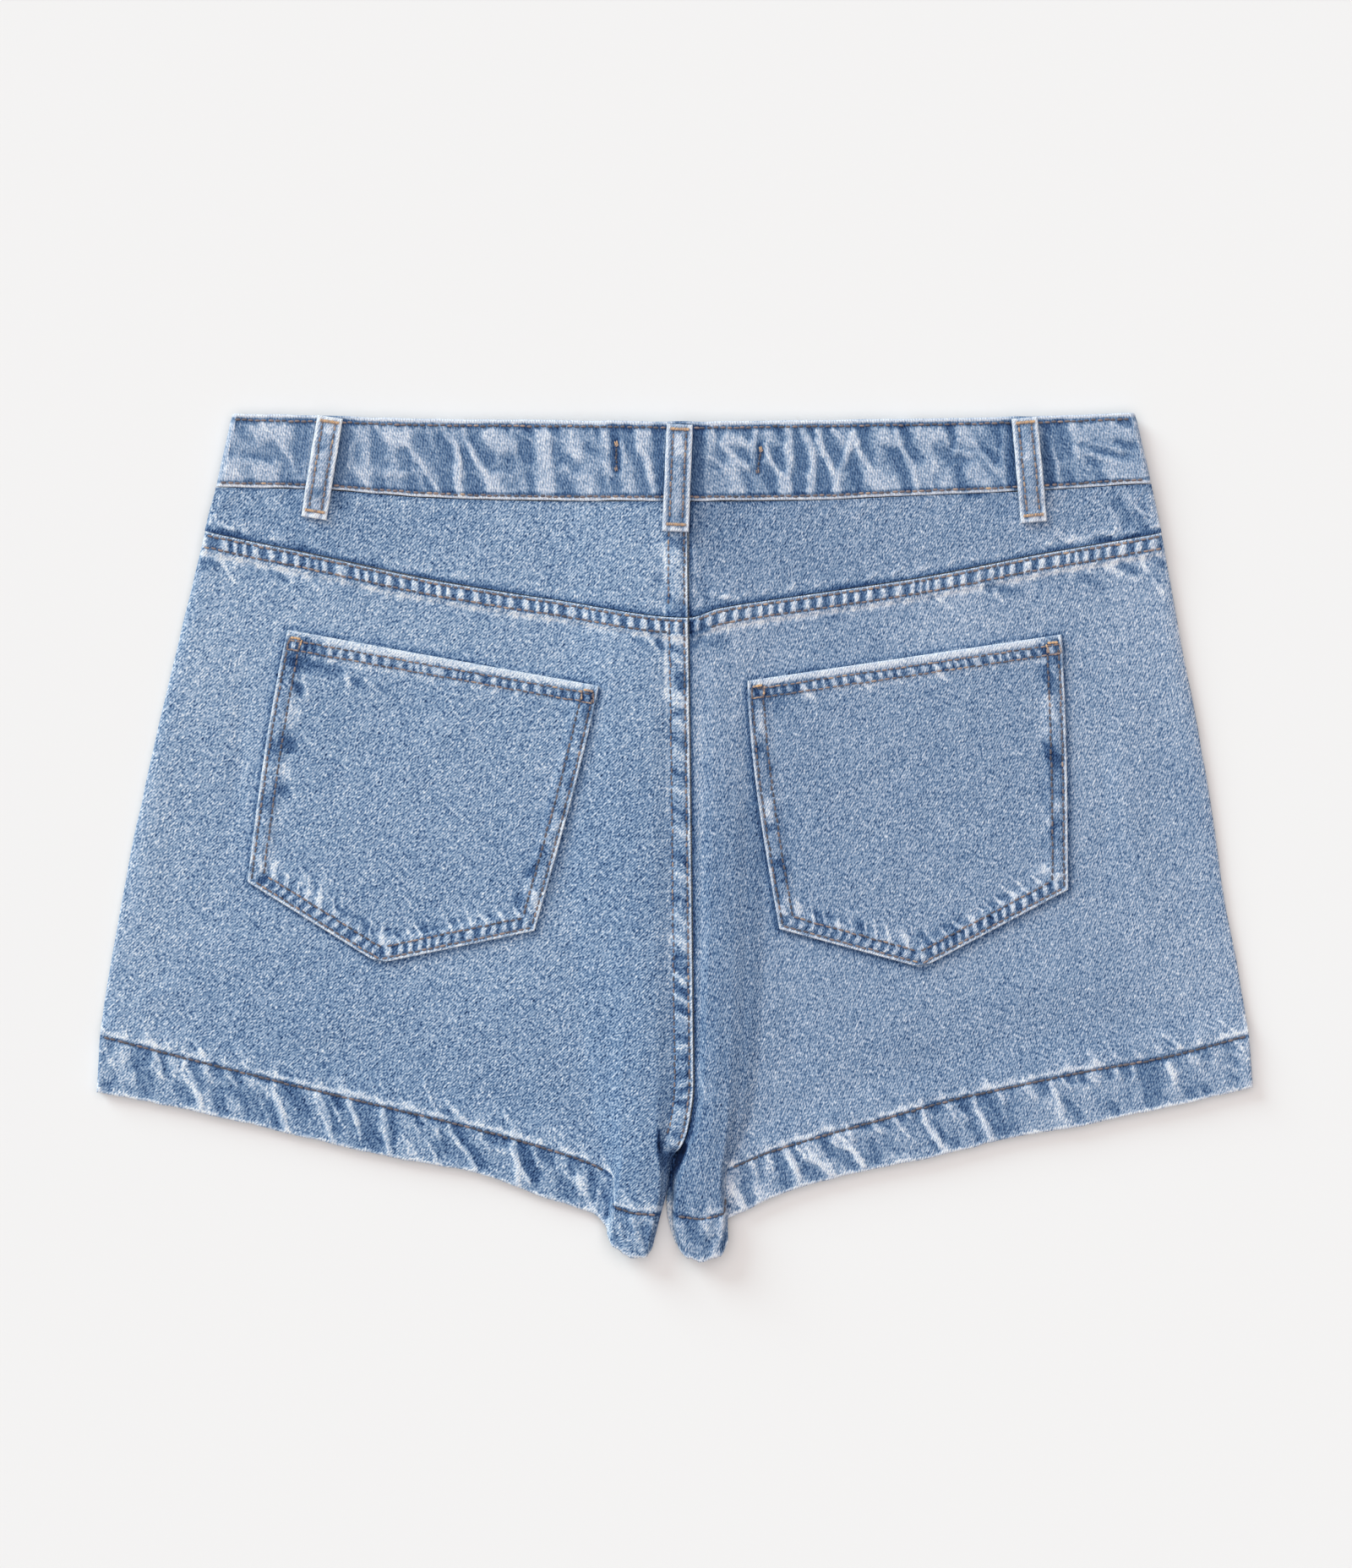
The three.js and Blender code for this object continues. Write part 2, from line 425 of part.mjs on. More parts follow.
// ---- pieces on the panels ----
function pocket(c) {
  const bottom = (u) => {
    const p = 0.5;
    const a = u < p ? c.lowerOuter : c.point, b = u < p ? c.point : c.lowerInner, t = u < p ? u / p : (u - p) / (1 - p);
    return [lerp(a[0], b[0], t), lerp(a[1], b[1], t)];
  };
  const height = Math.hypot(c.lowerOuter[0] - c.upperOuter[0], c.lowerOuter[1] - c.upperOuter[1]);
  const hem = POCKET_HEM / height;
  const cols = spread(0, 1, 10), rows = [0, hem, hem + STEP / height, ...spread(0.2, 1, 6)];
  const point = (under) => (v, u) => {
    const top = [lerp(c.upperOuter[0], c.upperInner[0], u), lerp(c.upperOuter[1], c.upperInner[1], u)], low = bottom(u);
    const x = lerp(top[0], low[0], v), y = lerp(top[1], low[1], v), z = backFace(x, y) + POCKET_LIFT;
    return [x, y, under ? z : z + CLOTH + (v <= hem + 1e-9 ? FELL : 0)];
  };
  return wall(grid(rows, cols, point(false)), grid(rows, cols, point(true)));
}

function beltLoop(l) {
  const topY = follow(ACROSS, "x", "top", l.upper) - l.over, lowY = follow(ACROSS, "x", "band", l.lower) - l.under;
  const dx = l.lower - l.upper, dy = lowY - topY, length = Math.hypot(dx, dy);
  const across = [-dy / length, dx / length]; // unit vector across the loop
  const rows = [0, 0.08, 0.16, 0.3, 0.45, 0.6, 0.68, 0.74, 0.8, 0.9, 1], cols = [-0.5, -0.17, 0.17, 0.5];
  const point = (under) => (v, u) => {
    const cx = lerp(l.upper, l.lower, v), cy = lerp(topY, lowY, v);
    const x = cx + across[0] * u * l.width, y = cy + across[1] * u * l.width;
    if (l.face < 0) return [x, y, under ? 0 : LOOP_CLOTH];
    // over the waistband it stands off it; below, it comes down to the yoke
    const bandY = follow(ACROSS, "x", "band", cx), over = smooth((cy - bandY + 9) / 8);
    const yokeFace = follow(REST, "y", "back", cy) + lapLift(cx, cy) + (Math.abs(cx) < 20 ? FELL : 0);
    const z = lerp(yokeFace, Math.max(backBandFace(cx - 6), backBandFace(cx), backBandFace(cx + 6)), over) + 0.65 + LOOP_RISE * Math.sin(Math.PI * clamp((v - 0.06) / 0.78));
    return [x, y, under ? z : z + LOOP_CLOTH];
  };
  return wall(grid(rows, cols, point(false)), grid(rows, cols, point(true)));
}

function zip() {
  const x0 = -8 - ZIP_WIDTH / 2, rows = spread(164, 62, 8), cols = spread(0, 1, 2);
  const point = (under) => (y, u) => {
    const z = follow(REST, "y", "front", y) + 1.5 + CLOTH + GAP;
    return [x0 + ZIP_WIDTH * u, y, under ? z : z + ZIP_CLOTH];
  };
  return wall(grid(rows, cols, point(false)), grid(rows, cols, point(true)));
}

function button() {
  const profile = [
    [0, 0], [6.6, 0], [7.8, 0.18], [BUTTON_RADIUS, 0.7], [BUTTON_RADIUS, 1.1], [7.9, BUTTON_FACE], [SHANK_RADIUS, BUTTON_FACE],
    [SHANK_RADIUS, FRONT_BAND_Z - GAP], [0, FRONT_BAND_Z - GAP],
  ].map(([r, z]) => new THREE.Vector2(r, z));
  return new THREE.LatheGeometry(profile, 28).rotateX(Math.PI / 2).translate(-12, 188, 0);
}

// ---- the garment ----
const denim = (colour) => new THREE.MeshStandardMaterial({ color: colour, roughness: 0.9, metalness: 0 });
const BODY = 0x7d9ec4, TRIM = 0x86a4c6, METAL = 0x9a8f7c, TAPE = 0x56688a;
const shorts = new THREE.Group();
function add(name, geometry, material) {
  const mesh = new THREE.Mesh(geometry, material);
  mesh.name = name;
  shorts.add(mesh);
}
for (const side of ["left", "right"]) {
  add("back_" + side, backPanel(side), denim(BODY));
  add("yoke_" + side, yoke(side), denim(BODY));
  add("front_" + side, frontPanel(side), denim(BODY));
}
add("waistband", waistband(), denim(TRIM));
add("pocket_left", pocket(POCKET_LEFT), denim(TRIM));
add("pocket_right", pocket(POCKET_RIGHT), denim(TRIM));
for (const l of LOOPS) add(l.name, beltLoop(l), denim(TRIM));
add("fly_zip", zip(), denim(TAPE));
const metal = button();
metal.deleteAttribute("normal");
metal.deleteAttribute("uv");
add("button", metal, new THREE.MeshStandardMaterial({ color: METAL, roughness: 0.4, metalness: 0.9 }));

export default shorts;
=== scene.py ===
import math

import bpy
import numpy as np
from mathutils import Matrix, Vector
from mathutils.bvhtree import BVHTree


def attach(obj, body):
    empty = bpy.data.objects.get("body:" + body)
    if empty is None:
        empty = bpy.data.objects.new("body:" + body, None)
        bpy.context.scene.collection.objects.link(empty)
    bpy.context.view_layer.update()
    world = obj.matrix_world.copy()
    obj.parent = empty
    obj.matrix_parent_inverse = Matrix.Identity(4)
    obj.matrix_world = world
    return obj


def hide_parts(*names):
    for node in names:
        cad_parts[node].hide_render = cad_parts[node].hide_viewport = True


# Denim shorts laid flat, back side up. Tables and shapes are in millimetres, in the frame of the CAD model;
# meshes are made in metres. +Z is up, +Y is towards the waist, the wearer's left is at -X.
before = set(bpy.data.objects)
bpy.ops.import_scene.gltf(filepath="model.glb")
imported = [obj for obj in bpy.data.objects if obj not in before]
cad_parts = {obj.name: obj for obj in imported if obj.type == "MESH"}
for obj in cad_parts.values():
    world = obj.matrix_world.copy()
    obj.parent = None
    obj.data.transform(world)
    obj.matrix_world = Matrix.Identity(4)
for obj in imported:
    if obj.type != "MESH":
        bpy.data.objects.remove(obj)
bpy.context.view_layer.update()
MM = 0.001

# ---------------------------------------------------------------- sizes
CLOTH = 1.15
FELL = 0.95
FELL_WIDTH = 9.4
TURN = 1.2
BAND = 2.2
STITCH = 2.7  # length of one stitch
STITCH_PITCH = 3.3
THREAD = 0.9  # thickness of the sewing thread
LOOP_CLOTH = 1.8
FRONT_BAND_Z = 2.1
LAP_Z = 4.6
BACK_BAND_Z = 5.0
LAP_LIFT = 2.4
LAP_X = -12
LAP_REACH = 52
HEM_LIFT = 1.2
SIDE_Z = 3.0
SIDE_ROLL = 8
POCKET_LIFT = 0.45
POCKET_HEM = 9.8


def table(names, *rows):
    """A table with named columns: one row for each section."""
    return dict(zip(names.split(), np.array(rows, float).T))


SIDE = table("y left right",
    (211, -220, 228.6), (174.5, -228.4, 237.0), (139, -236.8, 244.5), (88, -249.4, 253.6),
    (38, -261.1, 263.2), (-29, -274.8, 273.4), (-96, -285.6, 285.2), (-127, -288.0, 288.0))
ACROSS = table("x top band yoke",
    (-288, 211.0, 175.2, 164.0), (-228, 210.7, 174.1, 150.8), (-180, 209.6, 173.0, 140.9), (-120, 207.8, 168.7, 128.1),
    (-60, 207.3, 167.2, 118.2), (6.5, 206.5, 167.0, 109.2), (22, 206.6, 167.1, 113.8), (60, 207.2, 167.4, 119.8),
    (120, 208.1, 169.9, 128.9), (180, 209.3, 172.4, 140.6), (237, 211.0, 175.8, 150.4), (288, 211.1, 177.0, 160.0))
HEM_LEFT = table("x edge stitch",
    (-288, -127.0, -98.9), (-260, -131.7, -105.6), (-193, -146.6, -121.6), (-142, -159.0, -133.6),
    (-100, -167.2, -143.9), (-66, -179.7, -153.9), (-41.5, -187.5, -163.4), (-34.8, -194.0, -168.5))
HEM_RIGHT = table("x edge stitch",
    (27, -189.5, -166.0), (41, -183.4, -157.7), (62, -175.1, -149.9), (90, -167.4, -141.8), (126.5, -159.2, -131.5),
    (165, -149.2, -123.3), (202, -142.8, -116.1), (240, -134.8, -109.8), (288, -124.2, -98.5))
FOLD_NAMES = "y base roll out crown inn strip seam rise seamRise"
FOLD_LEFT = table(FOLD_NAMES,
    (112, -60, -44, -28, -20, -13, -2.9, 6.5, 0.6, 0.3), (45, -56, -42, -26, -19, -12, -2.0, 7.4, 2.0, 0.6),
    (-33, -52, -40, -25, -18, -11, -1.1, 8.3, 2.8, 0.8), (-80, -48, -36, -23, -16, -10.5, -0.6, 8.8, 3.6, 1.2),
    (-123, -44, -35, -26, -17, -9.5, -0.2, 9.2, 5.0, 2.0), (-145, -39, -33, -27, -17, -9.2, -3.0, 6.4, 6.4, 2.6),
    (-154, -36, -31.5, -26.5, -17, -8.8, -6.2, 3.0, 6.8, 2.8), (-158.5, -34.5, -30.5, -26, -16.5, -8.3, -4.6, -0.9, 7.0, -1.2),
    (-166, -31.8, -30, -27, -17, -7.6, -4.6, -2.4, 7.2, -1.2), (-175, -31.0, -30.4, -28.5, -18, -7.4, -5.2, -3.6, 7.2, -0.9),
    (-188, -33.6, -33, -31, -20.5, -10, -8.4, -7.1, 7.2, 1.1), (-211, -34.8, -34.4, -31, -22, -15, -13.8, -12.8, 6.6, 1.1))
FOLD_RIGHT = table(FOLD_NAMES,
    (112, 54, 42, 31, 25, 19, 12, 6.9, 0.6, 0.3), (45, 46, 38, 30, 25, 19, 12, 7.8, 2.4, 0.6),
    (-33, 45, 37, 29, 24, 18, 12.5, 8.7, 3.2, 0.8), (-80, 44, 36, 28, 22, 16, 12.5, 9.2, 4.0, 1.2),
    (-123, 41, 34, 26.5, 20, 14.5, 12, 9.6, 5.2, 2.0), (-145, 36, 30, 25.5, 18, 11.5, 9.2, 6.8, 6.4, 2.6),
    (-154, 32, 28, 24.5, 15, 7, 5.2, 3.4, 6.8, 2.8), (-158.5, 29.5, 27, 24, 14, 5.6, 3.0, 0.6, 7.0, -1.2),
    (-166, 25.6, 25, 23, 13.5, 3.6, 1.4, -0.8, 7.2, -1.2), (-175, 25.0, 24.6, 22.8, 12, 0.8, -0.3, -1.3, 7.2, -0.9),
    (-188, 26.2, 25.9, 24, 12.5, 0.6, -0.7, -1.6, 7.2, 1.1), (-211, 27.0, 26.8, 22.5, 13, 6.5, 4.4, 3.4, 6.6, 1.1))
LINES = ["base", "roll", "out", "crown", "inn", "strip", "seam"]
SHARE = [0, 0.42, 0.9, 1, 0.9]
PLEAT_LEFT = table("edge stitch",
    (-194.0, -168.5), (-198.0, -178.5), (-203.5, -183.6), (-208.8, -186.6), (-208.6, -187.4), (-206.5, -187.0), (-203.5, -186.5))
PLEAT_RIGHT = table("edge stitch",
    (-189.5, -166.0), (-201.0, -180.5), (-208.0, -187.2), (-211.0, -189.5), (-208.8, -188.0), (-206.5, -186.5), (-204.0, -185.5))
REST = table("y back front lift",
    (178, 6.5, 2.6, 1.0), (156, 6.2, 2.3, 1.0), (130, 5.7, 0.9, 0.95), (104, 5.3, 0, 0.85), (62, 4.7, 0, 0.65),
    (20, 4.2, 0, 0.15), (-20, 4.0, 0, 0), (-211, 4.0, 0, 0))
FRONT_INNER = table("y left right lap",
    (180, 4.0, -2.0, 1.5), (76, 4.0, -2.0, 1.5), (66, -0.2, 0.2, 1.5), (58, -0.2, 0.2, 1.5), (38, -0.2, 0.2, 0),
    (-152, -0.2, 0.2, 0), (-160, -2.6, -2.2, 0), (-170, -4.0, -3.6, 0), (-182, -6.2, -4.4, 0), (-191, -9.0, -3.2, 0), (-203, -13.2, 0.6, 0))
FRONT_HEM_LEFT = table("x edge", (-34, -192.5), (-24, -198.5), (-13, -202.5))
FRONT_HEM_RIGHT = table("x edge", (0, -202.5), (12, -198.5), (27, -188.5))
# Patch pockets, corner by corner: upper outer, upper inner, lower inner, point, lower outer.
POCKET_LEFT = table("x y", (-192.4, 103.1), (-37.8, 75.3), (-69.9, -46.5), (-147.4, -62.7), (-212.6, -22.2))
POCKET_RIGHT = table("x y", (191.9, 100.8), (36.1, 77.8), (51.9, -45.6), (123.0, -64.9), (195.4, -26.1))
LOOPS = [
    dict(name="loop_back_left", upper=-171.2, lower=-179.4, over=0.6, under=14.6, width=12.8, face=1),
    dict(name="loop_back_center", upper=2.4, lower=0.2, over=1.6, under=15.3, width=13.2, face=1),
    dict(name="loop_back_right", upper=173.5, lower=178.3, over=0.8, under=15.9, width=13.0, face=1),
    dict(name="loop_front_left", upper=-112, lower=-115, over=1.0, under=14, width=12.8, face=-1),
    dict(name="loop_front_right", upper=112, lower=115, over=1.0, under=14, width=12.8, face=-1),
]

# ---------------------------------------------------------------- creases placed one by one
# x0 y0 to x1 y1, bend sideways, half width, height (a trough is negative), how worn its top is
CREASE_NAMES = "x0 y0 x1 y1 bend width height worn"
CREASES_LEFT = table(CREASE_NAMES,
    (-259.9, -104, -254.8, -121, 1, 1.6, 0.5, 0.9), (-244.3, -113, -235.5, -135, 2, 1.7, 0.55, 1.0),
    (-199.8, -126, -193.1, -147, 1, 1.6, 0.5, 0.9), (-179.7, -124, -170.8, -150, 2, 1.8, 0.6, 1.0),
    (-163.3, -130, -156.6, -147, 1, 1.6, 0.5, 0.9), (-146.1, -132, -142.3, -154, 1, 1.7, 0.5, 0.8),
    (-121, -138, -116, -158, 1, 1.5, 0.4, 0.6), (-81.4, -149, -78.9, -175, 1, 1.7, 0.55, 0.9),
    (-53, -156, -48, -182, 2, 1.7, 0.5, 0.6),
    (-215, -60, -262, -20, 12, 9, 0.5, 0.1), (-250, 60, -262, -60, -6, 8, 0.7, 0.25), (-100, -80, -60, -130, 8, 9, 0.6, 0.1),
    (-62, 60, -56, -40, 3, 6, -0.7, 0), (-215, 90, -222, -10, 2, 5, -0.5, 0), (-40, 110, -30, 20, 3, 7, 0.6, 0.1),
    (-150, -75, -215, -100, 8, 10, 0.5, 0.1), (-240, -70, -275, -85, 3, 7, 0.4, 0.1))
CREASES_RIGHT = table(CREASE_NAMES,
    (151.3, -136, 157.6, -151, 1, 1.5, 0.5, 0.8), (126.5, -140, 132.8, -158, 1, 1.6, 0.5, 0.8),
    (53.4, -151, 61.8, -176, 2, 1.8, 0.6, 1.0), (61.8, -152, 77.8, -170, 1, 1.8, 0.6, 0.9), (78.2, -146, 95, -166, 2, 1.8, 0.6, 1.0),
    (27, -170, 34.5, -187, 1, 1.6, 0.5, 0.8), (187, -121, 193, -141, 1, 1.5, 0.4, 0.6), (243, -108, 249, -128, 1, 1.6, 0.4, 0.5),
    (222, 70, 246, -60, -8, 9, 0.6, 0.1), (210, 60, 214, -20, 2, 5, -0.5, 0), (44, 70, 58, -60, 4, 7, -0.9, 0),
    (58, -62, 66, -130, -4, 9, -0.6, 0), (150, -85, 230, -80, 10, 10, 0.5, 0.1), (240, 130, 262, 0, 5, 9, 0.5, 0.15),
    (90, -80, 120, -120, 5, 10, 0.5, 0.1))
# the same kind on the front, which lies underneath
CREASES_FRONT_LEFT = table(CREASE_NAMES,
    (-30, -40, -90, -70, 8, 9, 0.7, 0.3), (-20, 10, -80, -10, 6, 8, 0.6, 0.2), (-25, -90, -110, -110, 6, 10, 0.6, 0.2),
    (-230, 60, -190, -40, 10, 11, 0.5, 0.2), (-180, -118, -172, -148, 2, 1.8, 0.4, 0.8), (-90, -140, -84, -170, 2, 1.8, 0.4, 0.8))
CREASES_FRONT_RIGHT = table(CREASE_NAMES,
    (30, -45, 95, -60, -8, 9, 0.7, 0.3), (22, 5, 85, -15, -6, 8, 0.6, 0.2), (28, -95, 105, -118, -6, 10, 0.6, 0.2),
    (235, 40, 200, -60, -10, 11, 0.5, 0.2), (170, -122, 178, -148, 2, 1.8, 0.4, 0.8), (80, -142, 88, -168, 2, 1.8, 0.4, 0.8))


# Washed veins (worn above 0) and the places between them that kept their blue (below 0), from x0 y0 to x1 y1.
MARK_NAMES = "x0 y0 x1 y1 width worn"
BAND_MARKS = table(MARK_NAMES,
    (-217, 207, -208, 206, 2, -.8), (-215, 203, -212, 198.5, 2.6, -.8), (-223, 194, -221.5, 190.5, 2, -.7), (-214, 190.5, -201, 188, 2.1, -.8),
    (-201, 195, -199.5, 193, 3, -.7), (-197, 190, -193, 187, 2, -.7), (-197, 197, -190, 187, 1.3, .6), (-190, 187, -186.5, 178, 1.2, .6),
    (-209, 203, -196, 199, 4.5, .55), (-222, 184, -201, 182, 4.2, .5), (-212.5, 183, -212, 177, 2, -.6), (-193, 184, -192, 175, 3.4, -.7),
    (-185, 206, -187, 190, 4, -.75), (-187, 190, -188, 175, 2, -.6), (-163, 204, -167.5, 176, 3.2, -.85), (-158, 194, -157, 187, 2.3, -.7),
    (-162, 180, -159, 175.5, 3, -.8), (-155, 202, -154, 176, 3.6, .4), (-161, 204, -157, 200, .9, .6), (-148, 200, -147, 190, 3.4, -.8),
    (-150, 187, -143, 185.5, 1.8, -.7), (-147, 180, -146, 175, 3, -.75), (-148.5, 204, -143, 198.5, 1, .9), (-142, 200, -134, 197, 4, .6),
    (-135, 191, -133, 184, 3, -.75), (-132, 186, -128, 184.5, 1.6, -.7), (-131, 178, -129.5, 174.5, 2.8, -.8), (-134, 196, -126, 185, 1.2, .8),
    (-125, 183, -117, 171.5, 1.1, .8), (-128, 198, -122, 190, 3, -.7), (-115, 199, -113, 188, 3.8, -.85), (-123.5, 178, -121.5, 174.5, 1.9, -.8),
    (-115, 184, -113, 173, 3.6, -.75), (-158, 181.5, -134, 180.5, 1.9, .5), (-115.5, 203, -109.3, 195, 1.5, .9), (-109.3, 195, -107.3, 187, 1.6, .95),
    (-107.3, 187, -108, 179, 1.7, .9), (-108, 179, -106.5, 171, 1.6, .85), (-104.5, 201.5, -103, 195, 1.4, .7), (-103, 195, -94, 180.5, 1.5, .95),
    (-94, 180.5, -92, 173, 1.6, .7), (-104.5, 192, -102.5, 184, 3, -.85), (-101, 178, -97.5, 173.5, 3.6, -.85), (-100, 199, -93.5, 187, 3.6, -.8),
    (-92, 199, -82, 195, 4.3, .6), (-90, 183, -81, 183.5, 1.9, -.7), (-83, 188, -81.5, 184, 2.6, -.7), (-90, 176, -84, 176, 4, .45),
    (-84, 177.5, -82, 174.5, 2.3, -.75), (-76, 198, -73, 189, 3.6, -.8), (-75, 203, -71, 200.5, 1.8, -.8), (-77, 200, -72, 197.5, .9, .6),
    (-73, 178.5, -71, 171.5, 2.5, -.85), (-65, 199, -65, 188, 3.6, .75), (-65, 186, -64, 174, 4.2, .65), (-60, 202, -56, 199.5, 2.2, -.8),
    (-59, 195, -57, 187, 2.7, -.75), (-54, 188, -49.5, 183.5, 2.8, -.75), (-55.5, 177.5, -52.5, 172.5, 3, -.85), (-53, 199, -49, 191, 4, .6),
    (-46, 178, -43, 173, 4, .5), (-44, 193.5, -40.5, 191.5, 2.5, -.8), (-38.5, 202, -38, 198.5, 1.8, -.8), (-36, 203, -33, 195, 1.9, .6),
    (-35, 186, -31, 180, 1.2, .8), (-30.5, 203, -29.5, 182, 2.6, -.8), (-37, 177.5, -35, 173, 2.2, -.7), (-30, 178, -29, 173, 2.4, -.7),
    (-26.5, 196, -25, 186, 1.5, .55), (-24, 202, -20.5, 191, 3.2, -.75), (-17.5, 202, -18, 194, 1.7, .7), (-18, 194, -13, 184, 1.6, .9),
    (-13, 184, -10, 172, 1.6, .85), (-14.5, 201, -13.5, 196, 2.4, .4), (-17.5, 187, -15, 174, 2.8, -.8), (-24.5, 181, -23, 173, 3.2, .35),
    (-8.5, 203, -7.5, 171, 2.6, -.9), (11.5, 203, 11, 171, 3.2, -.95), (16.5, 202, 19, 193, 1.9, .6), (22, 202, 22.5, 198.5, 1.8, -.7),
    (26, 198, 34, 195.5, 2.6, .75), (23, 195, 30, 189, 1.5, .8), (30, 189, 36, 183.5, 1.5, .9), (20.5, 193, 24, 188.5, 2.4, -.7),
    (18, 185.5, 21, 183.5, 2, -.6), (17, 189, 26, 182, .9, .5), (29.5, 183, 31, 173, 3.6, .6), (34, 180.5, 37, 174, 2.3, -.75),
    (32.5, 191.5, 36, 186.5, 2.3, -.8), (35, 202, 36.5, 198.5, 2, -.8), (40, 202, 39, 192, 1.4, .6), (42, 198, 43, 190, 1.7, -.6),
    (46, 200, 48.5, 195.5, 2.2, .55), (44, 195, 47.5, 186, 1.5, .9), (47.5, 186, 53, 179, 1.5, .9), (53, 179, 53.5, 171.5, 2.2, .7),
    (49.5, 193, 53.5, 184, 3, -.85), (46.2, 183, 48.5, 173.5, 3, -.85), (51.5, 202, 54, 198.5, 2.2, -.8), (56.5, 202, 57, 189, 1.9, .8),
    (57, 189, 56, 172, 2, .75), (60.5, 199, 64, 184, 3, -.9), (60.5, 179, 62.5, 172.5, 3, -.8), (63.5, 202, 68, 193, 1.5, .8),
    (68, 193, 69, 182, 1.7, .85), (69, 182, 67, 171.5, 1.9, .8), (66.5, 202, 69, 199.5, 1.8, -.8), (71, 202, 72.5, 193, 1.7, .85),
    (72.5, 193, 78.5, 182, 1.5, .95), (78.5, 182, 80.5, 172, 2, .85), (72.5, 186, 75, 174, 3.4, -.85), (75.5, 202, 77, 194, 2.5, -.8),
    (78.5, 202, 83.5, 197, 1.5, .7), (78.5, 192, 82.5, 184, 2.8, -.85), (88.5, 201, 85.5, 191, 1.5, .9), (85.5, 191, 81.5, 181, 1.5, .9),
    (88.5, 200, 92, 191, 1.5, .9), (92, 191, 97.5, 182.5, 1.5, .9), (88, 187.5, 89, 182.5, 3.2, -.85), (86, 177, 86, 173, 1.6, -.6),
    (90, 180, 91.5, 173, 2.7, -.85), (92.5, 202, 98, 200, 2.3, -.85), (94.5, 196, 97, 188.5, 2.5, -.8), (101, 200, 110, 196.5, 3.6, .65),
    (105, 193, 106.5, 187, 1.7, -.6), (98, 178.5, 109, 175, 4.4, .65), (109.5, 190.5, 114.5, 184, 3.6, -.8), (110, 201.5, 113, 192, 1.5, .9),
    (113, 192, 118.5, 182.5, 1.6, .95), (118.5, 182.5, 120, 172, 1.7, .85), (113, 203, 116, 198, 2.6, -.85), (116, 194, 121, 188, 3, -.8),
    (112, 186, 116, 174, 3.2, -.85), (121, 200.5, 133, 198, 3.8, .65), (127, 194, 130, 184, 1.2, .6), (132, 193, 136.5, 188.5, 3.6, -.8),
    (136.7, 204, 139, 194.5, 2.3, -.9), (141, 198, 139, 190, 1, .7), (142.5, 203, 147, 197, 2.8, .65), (148, 197.5, 152.5, 190.5, 1.3, .85),
    (141, 191.5, 147, 190, 1.1, .6), (152.5, 190.5, 157.5, 184.5, 1.3, .9), (157.5, 184.5, 162, 180, 1.3, .7), (162, 180, 164.5, 174, 1.2, .5),
    (152.5, 193.5, 157.5, 188, 2.8, -.8), (141, 188.5, 145, 186, 2, -.7), (141, 183, 143.5, 174.5, 2.2, -.8), (122, 183, 132, 175, 4.4, .5),
    (129, 179, 130, 174.5, 1.5, -.6), (148, 182, 156, 176, 4, .6), (159.5, 203, 161.5, 195.5, 2.3, -.8), (163, 201, 162.5, 190, 1, .5),
    (162.5, 190, 164.5, 178, 1, .5), (167.5, 203, 168.5, 174, 2.8, -.9), (159.5, 179, 161, 175.5, 1.9, -.6), (184.5, 204, 187.5, 176, 2.6, -.95),
    (185, 200, 189.5, 188, 1.2, .7), (189.5, 188, 190.5, 178, 1.2, .6), (190.5, 204, 194, 191, 3.9, -.7), (193.5, 181, 196.5, 175.5, 2.8, -.7),
    (198, 203, 203, 196, 3.6, .5), (199, 193.5, 203, 187, 1.3, .7), (202, 194.8, 214, 191.5, 1.8, -.85), (214, 191.5, 223.5, 189.5, 1.8, -.8),
    (200, 196.5, 222, 191.8, 1.1, .6), (203, 192.5, 222, 185, 1.5, .6), (203, 187.5, 211, 185, 1.7, -.6), (211, 180.5, 213, 176.5, 1.9, -.7),
    (219.5, 196.5, 227, 194.5, 1.7, -.95), (229.5, 195.5, 233, 193, 2, -.8), (222, 206, 225.5, 204.5, 1.7, -.8), (206, 203, 226, 200, 4, .4),
    (216, 183, 232, 181, 4.5, .4))
